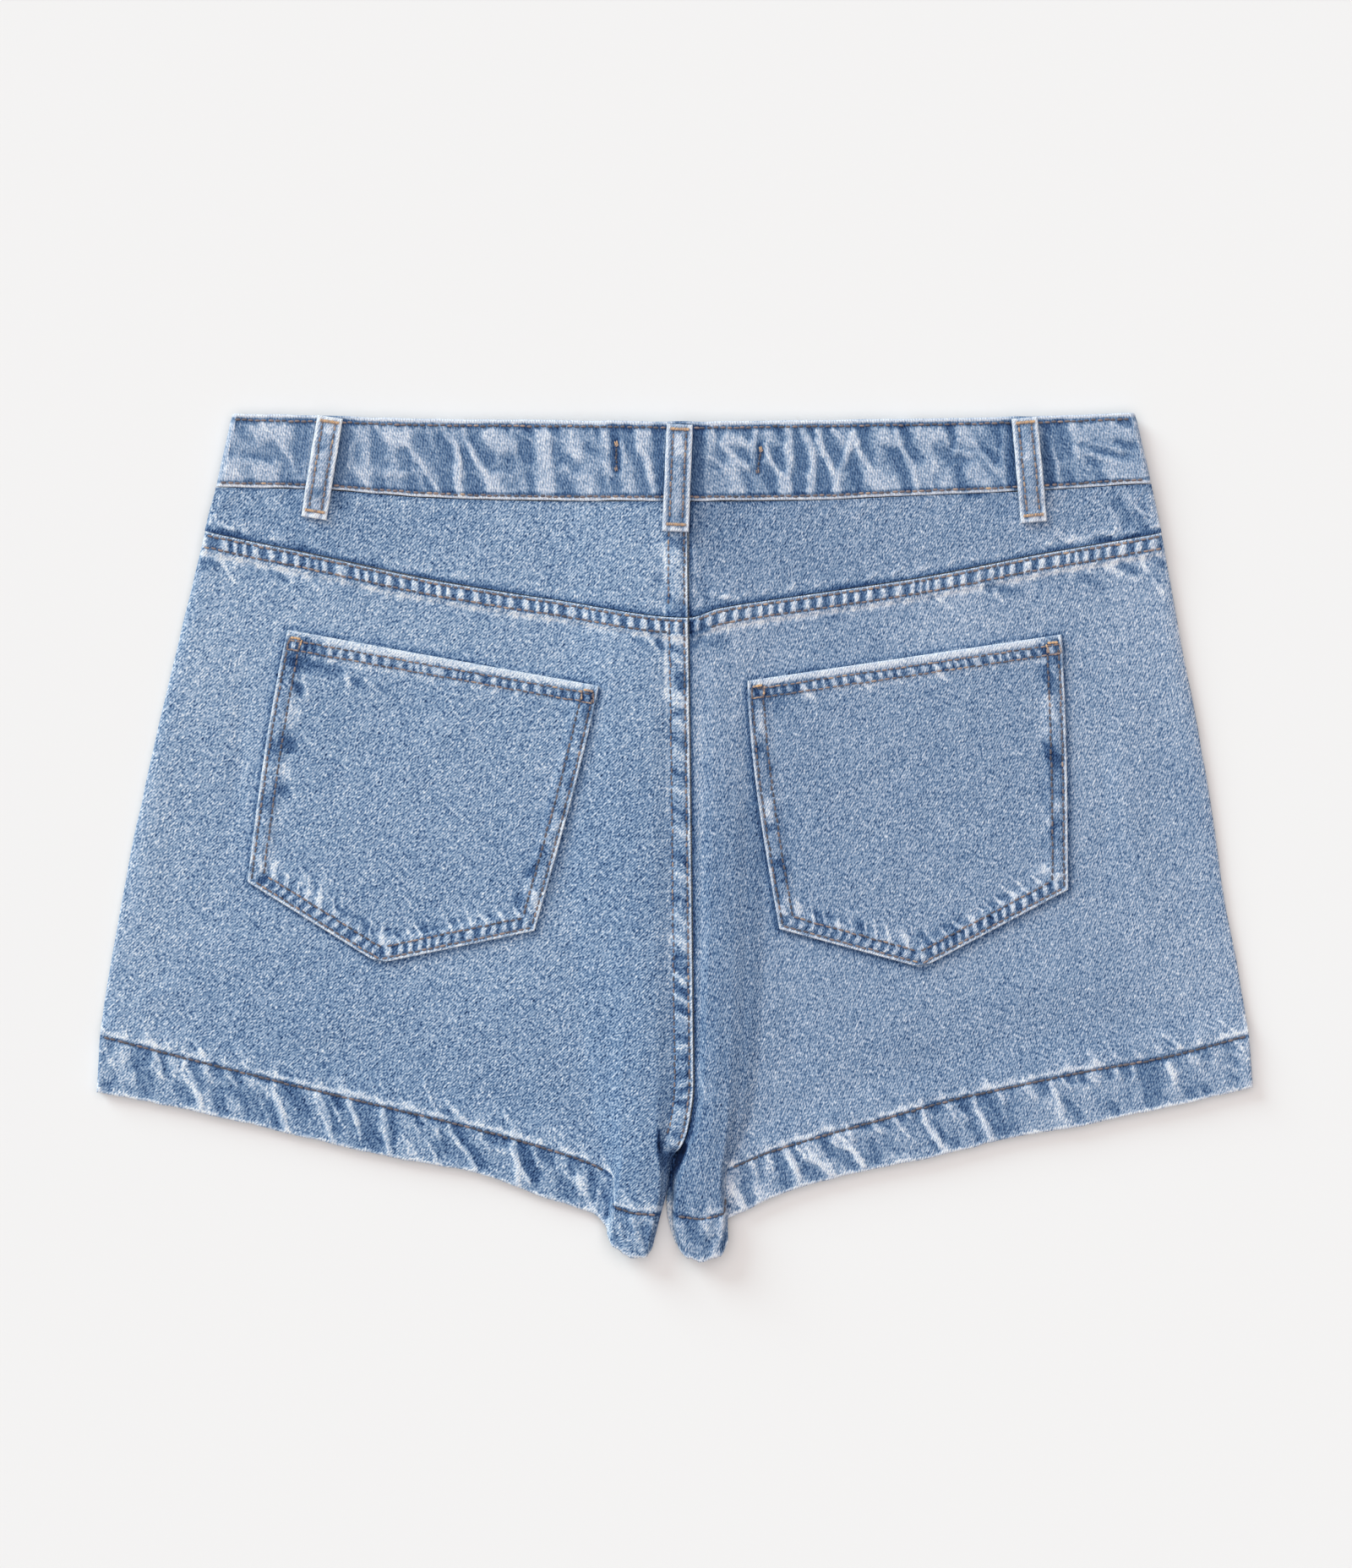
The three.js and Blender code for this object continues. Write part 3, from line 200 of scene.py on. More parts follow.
HEM_MARKS_LEFT = table(MARK_NAMES,
    (-280.5, -103, -280, -107, 1.6, -.7), (-283, -123.5, -282, -127, 2, -.8), (-279, -118, -278, -121, 1.5, -.6), (-272, -113, -271, -116, 1.5, -.6),
    (-273, -123.5, -270, -125.5, 1.6, -.6), (-285, -110, -284, -114, 1.6, -.4), (-282, -113, -276, -108, 4, .35), (-267, -106, -260.5, -108, 2.6, -.8),
    (-265.5, -112, -263, -127, 4.4, -.75), (-259, -106.5, -259.5, -113.5, 1.1, .8), (-259.5, -113.5, -255, -119.5, 1.1, .8), (-256, -109, -253.5, -117, 2.2, -.7),
    (-250.5, -109.5, -248, -116, 1.7, .6), (-243.5, -110, -245.5, -116.5, 1.4, .9), (-245.5, -116.5, -240, -124, 1.4, .95), (-240, -124, -235, -134, 1.4, .95),
    (-240, -113, -236.5, -124, 2.4, -.8), (-247, -123.5, -242, -130.5, 2.7, -.7), (-234, -112, -232, -120, 2.2, .7), (-229, -113.5, -227, -119, 1.9, -.7),
    (-224.5, -114, -222, -120, 1.2, .6), (-229, -124.5, -221, -127.5, 1.8, -.6), (-228, -128, -225.5, -137, 3, -.8), (-222, -117, -218, -123, 1.1, .7),
    (-218.5, -118, -216, -121, 1.6, -.8), (-222, -129, -217, -136, 3.2, .4), (-215.5, -129, -213, -138, 1.9, -.6), (-213, -119, -207, -126, 2.6, .6),
    (-206, -119, -203, -121, 1.6, -.8), (-208, -125, -204.5, -129, 1.7, -.6), (-202, -132, -196.5, -143.5, 3, -.85), (-199.5, -123.5, -199.5, -130, 1.4, .8),
    (-199.5, -130, -196, -137, 1.4, .95), (-196, -137, -193.5, -146, 1.4, .95), (-193, -124, -184.5, -136, 3.6, -.8), (-188, -138, -184, -146, 3, -.4),
    (-178, -127, -179, -130.5, 1.2, .8), (-179, -130.5, -175, -139, 1.2, .95), (-175, -139, -170, -150.5, 1.3, .95), (-174, -131, -169, -146, 2.2, -.7),
    (-172.5, -128.5, -170, -134, 1, .6), (-170, -134, -165.5, -141.5, 1, .6), (-165.5, -141.5, -162, -150, 1, .5), (-169, -129.5, -166.5, -133, 1.8, -.8),
    (-163, -129.5, -160.5, -136, 1.3, .8), (-160.5, -136, -158, -143, 1.3, .8), (-158, -143, -156.5, -150, 1.2, .6), (-157, -134, -150, -141, 4, -.6),
    (-153.5, -145, -147.5, -153, 4, -.75), (-145.5, -134, -146.3, -140.5, 1.4, .9), (-146.3, -140.5, -146, -145, 1.4, .9), (-146, -145, -143.5, -152, 1.4, .9),
    (-143.5, -152, -142, -156.5, 1.5, .9), (-142, -136, -140, -149, 2.6, -.8), (-134.5, -141, -133.5, -155, 4.8, .4), (-128, -140.5, -126, -143, 1.7, -.8),
    (-126, -139, -117, -149, 1.2, .7), (-130.5, -141, -127, -149, 1.4, .6), (-123.5, -151, -118, -161, 1.2, .8), (-116, -149.5, -111.5, -157.5, 2.8, -.7),
    (-112, -142, -111, -147.5, 1.3, .9), (-111, -147.5, -107, -153, 1.4, 1), (-107, -153, -103, -156.5, 1.4, 1), (-103, -156.5, -101, -161.5, 1.5, 1),
    (-101, -161.5, -99.5, -166.5, 1.6, 1), (-109, -144, -103, -152.5, 2.2, -1), (-101, -155, -96.5, -163, 2.6, -1), (-95.5, -146, -97, -149, 1.1, .8),
    (-97, -149, -92.5, -155.5, 1.2, .7), (-92.5, -148.5, -85, -151.5, 2.2, -.7), (-106, -159, -104, -163, 2, -.5), (-88, -154, -84, -156.5, 2, .5),
    (-80, -150.5, -80.7, -154, 1.4, .8), (-80.7, -154, -77.5, -163, 1.5, .95), (-77.5, -163, -73.5, -171, 1.6, .95), (-78.3, -166, -78, -172, 1.8, .8),
    (-77, -154, -69.5, -168, 2.9, -1), (-70.5, -155, -68, -163, 1.8, .5), (-66, -157.5, -62.5, -161.5, 2.8, -.8), (-63, -164, -62, -177, 3.8, .4),
    (-58, -159.5, -54, -165, 2.6, .5), (-52, -161, -49, -166, 2.5, -1), (-56, -171.5, -51, -178.5, 2.8, -.6), (-54.5, -166.5, -51, -171.5, 1.1, .7),
    (-47, -166, -44, -172, 1.6, .5), (-46.5, -171, -43, -179, 1.3, .6), (-43, -179, -40.5, -186.5, 1.3, .55), (-41.5, -169, -40.5, -181, 2, -.7),
    (-34.5, -169.5, -37.7, -175, 1.3, .6), (-37.7, -175, -39.5, -183, 1.4, .6), (-39.5, -183, -39.3, -188, 1.3, .5), (-36, -173.5, -34, -180, 1.6, -.6),
    (-35, -181, -36.5, -190, .9, .5), (-31.8, -179, -34, -189, 1, -.8),
    (-27, -186, -22, -192.5, 3, -.7), (-19, -190, -17, -198, 1.7, .5), (-13, -190, -11.5, -194, 1.2, .7), (-16.5, -193, -15, -202, 2.2, -.7),
    (-23, -200, -15, -206, 1.3, .8), (-31, -186, -30.5, -195, 1.6, .6), (-30, -198, -25, -202, 2.2, -.5), (-13.5, -181, -8.5, -184.3, 1.2, .8),
    (-165.5, -119, -164, -125, 1, .7), (-164, -125, -158, -128.5, 1, .7), (-147, -121, -144, -127, 1, .5), (-125, -121, -121, -133, 1.2, .8),
    (-115, -130, -105, -140, 1.4, .7), (-84, -137, -80.5, -144, 1.3, .8), (-80.5, -144, -80, -148, 1.3, .8), (-114, -136, -108, -140.5, 1.8, -.7),
    (-242, -100, -234, -107, 1.3, .8), (-262, -98, -258, -104, 1.1, .7), (-252, -98, -248, -104, 1, .6), (-241, -101, -238, -104, 1.7, -.6),
    (-217, -105, -211, -112, 1.2, .6), (-196, -116, -190, -119, 1.8, -.7), (-60, -145, -53, -153, 1.2, .6), (-66, -143, -60, -150, 1.1, .5),
    (-21.8, -187.8, -19.9, -194.5, 1.2, 1.3), (-19.9, -194.5, -15.1, -206, 1.2, 1.3), (-15.1, -188.8, -10.4, -192.6, 1.1, 1.1),
    (-28.5, -191.7, -25.6, -198.3, 1.2, 1.1), (-25.6, -198.3, -24.7, -204, 1.2, 1), (-32.3, -190.7, -33.3, -200.2, 1.4, 1))
HEM_MARKS_RIGHT = table(MARK_NAMES,
    (3, -190, 9, -203, 1.4, .5), (13.5, -190, 18, -196, 1.9, .85), (6.5, -190.5, 10.5, -196, 2.6, -.7), (18.2, -193, 19.5, -198, 1.4, -.8),
    (9, -198, 17, -202, 2.4, -.6), (21.3, -198, 20, -208, 1.5, .6), (24.2, -197, 24, -206, 1.2, -.8), (25.5, -189, 26, -199, 1.2, -.5),
    (27, -174, 34, -184.5, 1.2, .8), (26.5, -178, 30, -186, 1, .5), (28, -166.5, 32, -172, 1.7, .4), (32.5, -164.5, 36.5, -171.5, 2.6, -.75),
    (37.5, -161.5, 40.5, -168, 1.2, .75), (42.3, -161, 43, -171, 1.8, -.7), (46, -157.5, 48.5, -164, 2, .65), (41, -172, 47.5, -180.5, 3.2, .4),
    (34.5, -172, 38, -182.5, 2.5, -.75), (51.5, -158, 55.5, -175, 3.3, -.75), (53.5, -154.5, 59.8, -165, 1.3, .9), (57.5, -153.5, 61, -159.5, 1.9, -.8),
    (61, -154.5, 65.5, -159.5, 1.4, .8), (65.5, -159.5, 73.5, -162, 1.4, .9), (73.5, -162, 78, -166.5, 1.6, .95), (66.5, -151, 71, -157, 2.3, .6),
    (65, -165, 73, -171, 3, -.75), (73, -150, 78, -156, 2.7, -.8), (70, -151, 74.5, -158.5, 1.2, .6), (74.5, -158.5, 79.5, -167, 1.2, .7),
    (78, -151.5, 87, -155.5, 1.1, .7), (82.5, -156.5, 87.5, -163.5, 2.8, -.75), (85, -144, 88.5, -150.5, 1.2, .85), (89, -142, 97, -143.5, 2, -.8),
    (98, -140.5, 99, -144.5, 1.3, .95), (99, -144.5, 103.5, -147.5, 1.2, .9), (101.5, -141, 107, -144, 2, -.7), (108.5, -137.5, 111, -143, 1.3, .8),
    (111, -143, 116, -148.5, 1.3, .8), (116, -148.5, 120.5, -152.5, 1.2, .6), (111.3, -138, 113.5, -140, 1.4, -.8), (104, -149, 111, -155.5, 3.2, -.6),
    (98, -152, 101, -159, 2.4, -.6), (87.5, -155, 94, -163, 1.3, .8), (115, -136, 116.8, -139.5, 1.2, .7), (117.5, -136.5, 120, -139, 1.7, -.8),
    (120.5, -141.5, 125.5, -148, 2.1, -.7), (122.5, -134.5, 124, -139.5, 1.3, .9), (124, -139.5, 127, -147, 1.4, .95), (127, -147, 132.5, -153.5, 1.4, 1),
    (132.5, -153.5, 136, -156, 1.4, .9), (126, -133, 129.5, -135.5, 2.4, -1), (127.5, -141, 132.5, -147.5, 2.1, -.8), (127.5, -152, 131, -155.5, 2, -.8),
    (134.5, -149, 139.5, -152.5, 2.3, -.7), (136, -133, 139, -139, 1.7, .75), (143, -138, 146, -142, 1.2, .6), (142.5, -131.5, 145, -136, 2, -.8),
    (146.5, -143, 151, -149.5, 2.6, -.7), (148, -128, 150.5, -136, 1.6, .9), (150.5, -136, 154, -143, 1.6, .95), (154, -143, 157.5, -149.5, 1.6, .95),
    (154, -131, 161, -146, 4.8, -.75), (159.5, -125, 163.5, -132, 1, .75), (168, -131, 172, -142, 5, -.3), (174, -123, 178.5, -128, 2.2, .7),
    (181.5, -121.5, 184.5, -127, 2.4, -.8), (187, -121, 189, -128, 1.4, .6), (192.5, -120, 196.5, -125, 1.1, .7), (194.5, -118, 197.5, -121, 2, -.9),
    (201.5, -117, 203.5, -120.5, 1.9, -.9), (206.5, -116.5, 210, -122, 2.2, .65), (214.5, -115.5, 216.5, -119, 1.8, -.8), (219, -115, 220.5, -120, 1.5, .7),
    (223.3, -114, 225.5, -118, 2, -.8), (228, -113, 229, -119, 1.3, .7), (234, -113, 239, -128, 5.6, -.85), (245.5, -113.5, 248, -118, 2.3, .75),
    (248, -121, 251, -128, 2.5, .4), (256.5, -108.5, 260, -112, 2, .6), (262, -106, 264.5, -109, 2.2, -.8), (263, -123, 265.5, -127, 2.2, -.8),
    (256, -126, 258, -128.5, 1.8, -.6), (265, -113, 269, -121, 2, -.4), (274, -103, 276.5, -105, 1.9, -.8), (276, -110, 279, -112, 1.9, -.7),
    (275, -117, 277, -120, 1.8, -.5), (279, -102, 283, -106, 1.2, .7), (282, -110, 284, -121, 3, .35), (240, -131, 243, -132.5, 1.9, -.6),
    (217, -133, 220, -136.5, 1.8, -.6), (196, -131, 200, -140, 2.6, -.5), (242.5, -98, 250, -104, 1.2, .9), (270.5, -91, 279, -97, 1.1, .85),
    (244.5, -101.5, 248, -103.5, 1.3, -.6), (205, -105, 210, -111, 1.2, .5), (31, -153, 37, -158, 1, .6), (96, -125, 101, -131, 1.3, .5),
    (108, -125, 116, -130, 1.2, .55), (26, -162, 31, -165, 1.6, .5), (152, -121, 156, -125, 1.3, .5),
    (.1, -192.6, 5.9, -203.9, 1.2, .7), (15.4, -188.8, 19.2, -194.5, 1.3, .8), (22.1, -196.4, 19.2, -207.9, 2.2, .7), (24, -187.8, 23, -198.3, 1.4, .8))
YOKE_MARKS = table(MARK_NAMES,
    (-229, 160, -226, 155, 1.1, .8), (-226, 155, -219, 152.5, 1.2, .7), (-222, 151.5, -217, 150.5, 1.6, -.8), (-216, 158, -213, 152, 1.6, .5),
    (-204, 171, -201, 163, 1.3, .5), (-219, 163, -209, 160, 3.5, -.45), (-205, 165, -199, 158, 4.5, -.4), (-201, 151, -196, 148, 2.4, .5),
    (-192, 168, -187, 160, 4, -.45), (-167, 168, -164, 163, 3.2, -.6), (-158, 168, -150, 165, 2.3, .45), (-137, 167, -133, 163, 1.4, .5),
    (-187, 147, -182, 142, 3.2, -.5), (-148, 143, -143, 138, 1.1, .45), (-150, 139, -146, 137, 1.6, -.5),
    (-24, 152, -7, 130, 2.0, .25), (-15, 143, -6, 131, .9, .5), (-16, 126, -8, 121, 1.2, .5), (-7.5, 128, -6, 124, 1.4, -.7),
    (-4, 142, 6, 122, 6, .7), (-4, 147, 5, 145, 2.2, -.8), (-3, 118, 5, 114, 2.8, -.75), (12, 160, 22, 150, 6, -.35),
    (9.5, 142, 11.5, 130, 1.2, .6), (10.5, 128, 16, 119.5, 2.4, -.6), (18, 121, 32, 118.5, 1.1, .6), (11, 165, 14, 152, 2.4, -.5),
    (150, 167, 160, 164, 4.5, -.55), (148, 168, 156, 163.5, 1.1, .5), (163, 167, 169, 160, 3, -.45), (189, 153, 196, 147, 1.3, .7),
    (197, 149, 204, 145.5, 2.2, .5), (179, 149, 183, 144, 1.2, .5), (224, 172, 233, 160, 1.5, .7), (219, 167, 228, 155, 3.4, -.75),
    (229, 160, 234, 153.5, 2, -.7), (210, 152, 222, 150, 1.5, .7), (222, 150, 229, 153, 1.3, .8), (217, 163, 220, 153, 2, .6),
    (236, 168, 239, 156, 2.6, .6), (222, 149.5, 231, 150.5, 1.2, -.9), (209, 148, 216, 148, 1.3, -.8), (230, 166, 233, 163, 1.4, -.7))
BODY_MARKS_LEFT = table(MARK_NAMES,
    (-235, 138, -234, 133, 1.8, -.7), (-231, 137, -228.5, 135, 2.2, -.6), (-225.5, 137, -219, 127, 1.3, .6), (-210, 134, -206, 131, 1.8, -.5),
    (-200, 132, -194, 128, 1.8, -.5), (-196, 134, -190, 127, 1.2, .5), (-184, 130, -176, 121, 1.2, .5), (-169, 127, -160, 121, 1.8, -.4),
    (-12, 101, -5, 93, 1.6, -.7), (-15, 102, -8, 92, 1, .6), (-20, 99, -14, 93, 1.3, -.45), (-5, 100, -4, 62, 1.1, .35),
    (-2, 103, 4, 96, 2.4, .3), (-2, 94, 3, 92, 1.4, -.6), (-1, 90, 5, 86, 1.2, .6), (2, 80, 4, 76, 2.4, -.85), (-2, 72, 5, 66, 3, .65),
    (0, 61, 5, 63.5, .9, -.95), (0, 58, 6, 55, 1.4, .7), (-2, 50, 6, 46, 1.6, -.6), (-1, 42, 6, 38, 1.8, .6), (0, 33, 6, 29, 1.6, -.7),
    (-1, 24, 7, 20, 1.8, .6), (0, 14, 7, 9, 1.6, -.7), (0, 4, 7, 0, 1.9, .65), (0, -8, 7, -13, 1.7, -.7), (0, -18, 7, -22, 1.7, .6),
    (0, -30, 7, -33, 1.4, -.7), (0, -39, 7, -46, 2, .65), (0, -50, 7, -55, 2.2, .7), (1, -59, 5, -60, 1.1, -.9), (1, -64, 5, -66, 2.3, -.6),
    (0, -68, 6, -73, 1, .85), (1, -75, 5, -77.5, 1.8, -.85), (0, -79, 6.5, -82.5, .9, .8), (2, -84, 6, -87, 1.9, -.8), (1, -88.5, 7, -92, 1.3, .7),
    (2, -99, 6, -101, 1.4, -.8), (2, -105, 7, -103, 1.2, .7), (2, -109, 6, -110, 1.5, -.7), (2, -119, 6, -117, 1.7, -.6), (3, -123, 7, -121, .9, .6),
    (2, -126, 7, -125, 1.3, -.85), (3, -129.5, 7, -127.5, .9, .7), (2, -132, 5, -132, 1.4, -1), (1, -136, 6, -137, 1.6, .4), (-7, -143, -1, -140, 1.5, .5),
    (-3, -143, 3, -144, 1.2, .6), (-3, -150, 2, -152, 2, .5), (-1, -147, 2, -148, 1.3, -.6))
BODY_MARKS_RIGHT = table(MARK_NAMES,
    (9, 106, 10, 95, 1.6, -.8), (12, 105, 17, 103, 1.8, -.6), (11, 99, 24, 97, 3.4, -.5), (15, 92, 24, 94, 3, -.35), (12, 60, 14, -60, 1.6, .35),
    (11, -60, 12, -100, 1.3, .3), (10.5, -112, 15.5, -131, .9, .5), (232, 138, 234, 132, 1.2, .7), (234, 134, 242, 122, 1.3, .6), (214, 134, 230, 128, 1.3, .6),
    (222, 135, 229, 132.5, 2, -.7), (239, 138, 242, 136, 2, -.6), (236, 131, 240, 127, 2.2, -.6), (156, 124, 170, 122, 1.8, -.5), (158, 123, 163, 117, 1.2, .5),
    (201, 130, 212, 124, 2.6, -.45), (181, 128, 194, 131, 1.6, -.4), (129, 121, 138, 112, 1.2, .45))
POCKET_MARKS_LEFT = table(MARK_NAMES,
    (-173, 96.5, -45, 74.5, 1.6, .7), (-184, 95, -176, 93, 2, -.75), (-190, 87.5, -165, 82, 3.1, -.75), (-163, 82, -160.5, 74, 1.1, .8), (-158, 78, -153.5, 75, 2.2, -.8),
    (-153, 79, -149, 74.5, .9, .6), (-146, 76, -141, 71, 1.6, -.5), (-184, 80, -182, 70, 1.2, .7), (-186.5, 75.5, -185.5, 73, 2.2, -.85),
    (-187, 68, -188, 58, 3, .45), (-193, 48, -190, 45, 3.4, -.8), (-200, 49, -198, 44, 2.6, -.75), (-199, 39, -193, 37.5, 1.8, -.5), (-193.5, 24, -192.5, 22.5, 2, -.85),
    (-194, 35, -191, 30, 2.4, .5), (-199, -14, -197, -18, 3, .5), (-205, -21.5, -201, -22.5, 1.6, -.7),
    (-196.5, -19.5, -194.5, -20.5, 1.2, -.7), (-186, -15, -183, -22, 1.2, .5), (-180, -18, -178, -27, 1.4, -.6), (-171, -26, -168, -35, 1.4, -.6),
    (-156, -40, -152, -46, 1.6, -.7), (-143, -46, -137, -48.5, 2, -.85), (-145, -50, -142, -52, 1.5, .7), (-128, -40, -123, -48, 2.2, -.5),
    (-112, -38, -109, -44, 1.6, -.5), (-104, -37, -100, -42, 1.4, .5), (-93, -38, -90, -41, 1.4, -.5), (-79, -32, -77, -29, 2.4, -.6),
    (-74, -17, -72, -14, 2.2, -.7), (-71, -28, -69, -34, 1.8, .6), (-68, -5, -66, -9, 2, -.5),
    (-46, 70, -41, 62, 4.5, -.7), (-60, 70, -44, 69, 2, -.55), (-52, 43, -49, 36, 2.6, .5), (-53, 27, -51, 22, 2.4, -.6), (-60, 9, -58, 4, 2.6, .45))
POCKET_MARKS_RIGHT = table(MARK_NAMES,
    (42, 77, 178, 96.5, 1.6, .7), (40, 70.5, 60, 74, 3.2, -.6), (182, 92, 188, 90, 2.6, -.7), (183, 84, 187, 74, 2.2, -.5), (185, 70, 188, 60, 2.2, .5),
    (186, 45, 189, 38, 3.2, -.85), (187, 26, 189, 14, 2.2, .5), (188, 4, 190, -4, 2.2, -.5), (182, -18, 178, -22, 2.4, .5), (43, 62, 46, 52, 2.4, .5),
    (46, 42, 48, 34, 2.3, -.6), (48, 18, 50, 8, 2.2, .5), (53, -12, 54, -20, 2.2, -.6), (57, -32, 62, -36, 2.4, .5), (70, -38, 74, -44, 1.6, -.6),
    (92, -42, 95, -50, 1.7, -.6), (112, -46, 116, -53, 1.8, .6), (122, -48, 126, -53, 2, -.8), (140, -42, 138, -50, 1.6, -.6), (158, -34, 156, -42, 1.6, -.6),
    (80, -40, 84, -46, 1.3, .5), (148, -40, 146, -46, 1.3, .5), (171, -28, 168, -34, 1.4, .5), (64, 74, 70, 68, 1.2, .5), (92, 79, 97, 73, 1.2, .5), (130, 84, 135, 77, 1.2, .5))


# ---------------------------------------------------------------- maths on arrays
def lerp(a, b, t):
    return a + (b - a) * t


def smooth(t):
    t = np.clip(t, 0, 1)
    return t * t * (3 - 2 * t)


def bell(d, width):
    return np.exp(-((d / width) ** 2))


def follow(t, key, at, x):
    """The column `at` as a curve through the table, by the column `key` (monotone cubic)."""
    k, v = t[key], t[at]
    if k[0] > k[-1]:
        k, v = k[::-1], v[::-1]
    h = np.diff(k)
    s = np.diff(v) / h
    m = np.empty(len(k))
    m[0], m[-1] = s[0], s[-1]
    a, b = s[:-1], s[1:]
    safe = np.where(np.abs(a + b) < 1e-12, 1, a + b)
    m[1:-1] = np.where(a * b <= 0, 0, 2 * a * b / safe)
    x = np.clip(np.asarray(x, float), k[0], k[-1])
    i = np.clip(np.searchsorted(k, x, side="right") - 1, 0, len(h) - 1)
    hh, u = h[i], (x - k[i]) / h[i]
    return ((2 * u**3 - 3 * u**2 + 1) * v[i] + (u**3 - 2 * u**2 + u) * hh * m[i]
            + (-2 * u**3 + 3 * u**2) * v[i + 1] + (u**3 - u**2) * hh * m[i + 1])


class Noise:
    """Smooth seeded noise from -1 to 1, in one or two dimensions."""

    def __init__(self, seed):
        self.g = np.random.default_rng(seed).uniform(-1, 1, (256, 256))

    def __call__(self, x, y=0.0):
        x, y = np.broadcast_arrays(np.asarray(x, float) + 91.7, np.asarray(y, float) + 37.3)
        i, j = np.floor(x).astype(int), np.floor(y).astype(int)
        u, v = smooth(x - i), smooth(y - j)
        g = lambda a, b: self.g[a % 256, b % 256]
        return lerp(lerp(g(i, j), g(i + 1, j), u), lerp(g(i, j + 1), g(i + 1, j + 1), u), v)

    def deep(self, x, y=0.0, layers=3):
        total, size, amp = 0, 0, 1
        for k in range(layers):
            total = total + amp * self(np.asarray(x) * 2**k + 17 * k, np.asarray(y) * 2**k + 5 * k)
            size += amp
            amp *= 0.55
        return total / size


def along(points, x, y):
    """Distance to a line of points, the length along it and the side (left of the direction is positive)."""
    p = np.asarray(points, float)
    best, s_best, side = np.full(np.shape(x), 1e9), np.zeros(np.shape(x)), np.ones(np.shape(x))
    start = 0
    for a, b in zip(p[:-1], p[1:]):
        d = b - a
        n = math.hypot(*d)
        t = np.clip(((x - a[0]) * d[0] + (y - a[1]) * d[1]) / n**2, 0, 1)
        dx, dy = x - a[0] - t * d[0], y - a[1] - t * d[1]
        r = np.hypot(dx, dy)
        near = r < best
        best = np.where(near, r, best)
        s_best = np.where(near, start + t * n, s_best)
        side = np.where(near, np.sign(d[0] * dy - d[1] * dx + 1e-12), side)
        start += n
    return best, s_best, side


def creases(rows, x, y):
    """Height and wear that a table of creases adds at the points."""
    height, worn = np.zeros(np.shape(x)), np.zeros(np.shape(x))
    for k in range(len(rows["x0"])):
        r = {name: col[k] for name, col in rows.items()}
        a, b = np.array([r["x0"], r["y0"]]), np.array([r["x1"], r["y1"]])
        n = math.hypot(*(b - a))
        off = np.array([-(b - a)[1], (b - a)[0]]) / n
        t = np.linspace(0, 1, 9)[:, None]
        line = a + (b - a) * t + off * r["bend"] * 4 * t * (1 - t)
        close = (np.abs(x - (a[0] + b[0]) / 2) < n / 2 + 4 * r["width"] + abs(r["bend"]) + 4) & (
            np.abs(y - (a[1] + b[1]) / 2) < n / 2 + 4 * r["width"] + abs(r["bend"]) + 4)
        if not close.any():
            continue
        d, s, side = along(line, x[close], y[close])
        ends = smooth(s / (0.35 * n)) * smooth((n - s) / (0.35 * n))
        shape = bell(d, r["width"]) * (0.25 + 0.75 * ends)
        height[close] += r["height"] * shape
        worn[close] += r["worn"] * bell(d, r["width"] * 0.75) * (0.3 + 0.7 * ends)
    return height, worn


def lay(rows, x, y, noise, back=None, keen=1.0):
    """What a table of marks does at the points: how worn, how dark, and the relief that goes with it."""
    wx, wy = x + 0.9 * noise(x / 3.4, y / 3.4), y + 0.9 * noise(y / 3.4, x / 3.4)
    breadth = 1 + 0.28 * noise(x / 5.0 + 40, y / 5.0)
    worn, dark = np.zeros(np.shape(x)), np.zeros(np.shape(x))
    for x0, y0, x1, y1, width, k in zip(*(rows[n] for n in MARK_NAMES.split())):
        reach = 2 * width + 2
        close = (x > min(x0, x1) - reach) & (x < max(x0, x1) + reach) & (y > min(y0, y1) - reach) & (y < max(y0, y1) + reach)
        if back is not None:
            close &= back
        if not close.any():
            continue
        # thin veins keep to their line, broad marks wander
        own = min(1, 0.25 + 0.22 * width)
        px, py, dx, dy = lerp(x[close], wx[close], own), lerp(y[close], wy[close], own), x1 - x0, y1 - y0
        t = np.clip(((px - x0) * dx + (py - y0) * dy) / (dx * dx + dy * dy), 0, 1)
        d = np.hypot(px - x0 - t * dx, py - y0 - t * dy) / (width * (keen if k > 0 else 1) * breadth[close])
        shape = abs(k) * smooth(1.55 - 0.95 * d)
        into = worn if k > 0 else dark
        into[close] = np.maximum(into[close], shape)
    return worn, dark, 0.42 * worn - 0.26 * dark


def bars(s, pitch, noise, seed=0.0):
    """Gathers between two rows of stitches, fairly even: from 0 in the hollows to 1 on the tops."""
    phase = s / pitch + 0.6 * noise(s / (2.1 * pitch), seed)
    keen = 0.74 + 0.38 * noise(s / 13.0, seed + 9)
    return np.clip(0.44 + keen * np.sin(2 * np.pi * phase) + 0.14 * noise(s / 2.1, seed + 5), 0, 1)


def wisps(s, d, pitch, slant, length, noise, seed=0.0):
    """Thin veins that run out of a seam and die away."""
    q = (s + slant * d) / pitch + 0.5 * noise(s / (1.7 * pitch), seed) + 0.12 * noise(s / 4.0, d / 4.0)
    far = length * (0.75 + 0.6 * noise(np.floor(q) * 1.7, seed + 4))
    return smooth((np.cos(2 * np.pi * q) - 0.45) / 0.4) * smooth(1.2 - d / np.maximum(far, 1)) * (d > 0)


def pucker(s, d, pitch, slant, noise, sharp=1.0):
    """The rope of gathers that a shrunken seam makes: s runs along it and d across it."""
    wander = 0.6 * noise(s / 37.0, 3.1)
    v = noise.deep((s + slant * d) / pitch + wander, d / (2.6 * pitch), 2)
    return np.tanh(1.7 * sharp * v)


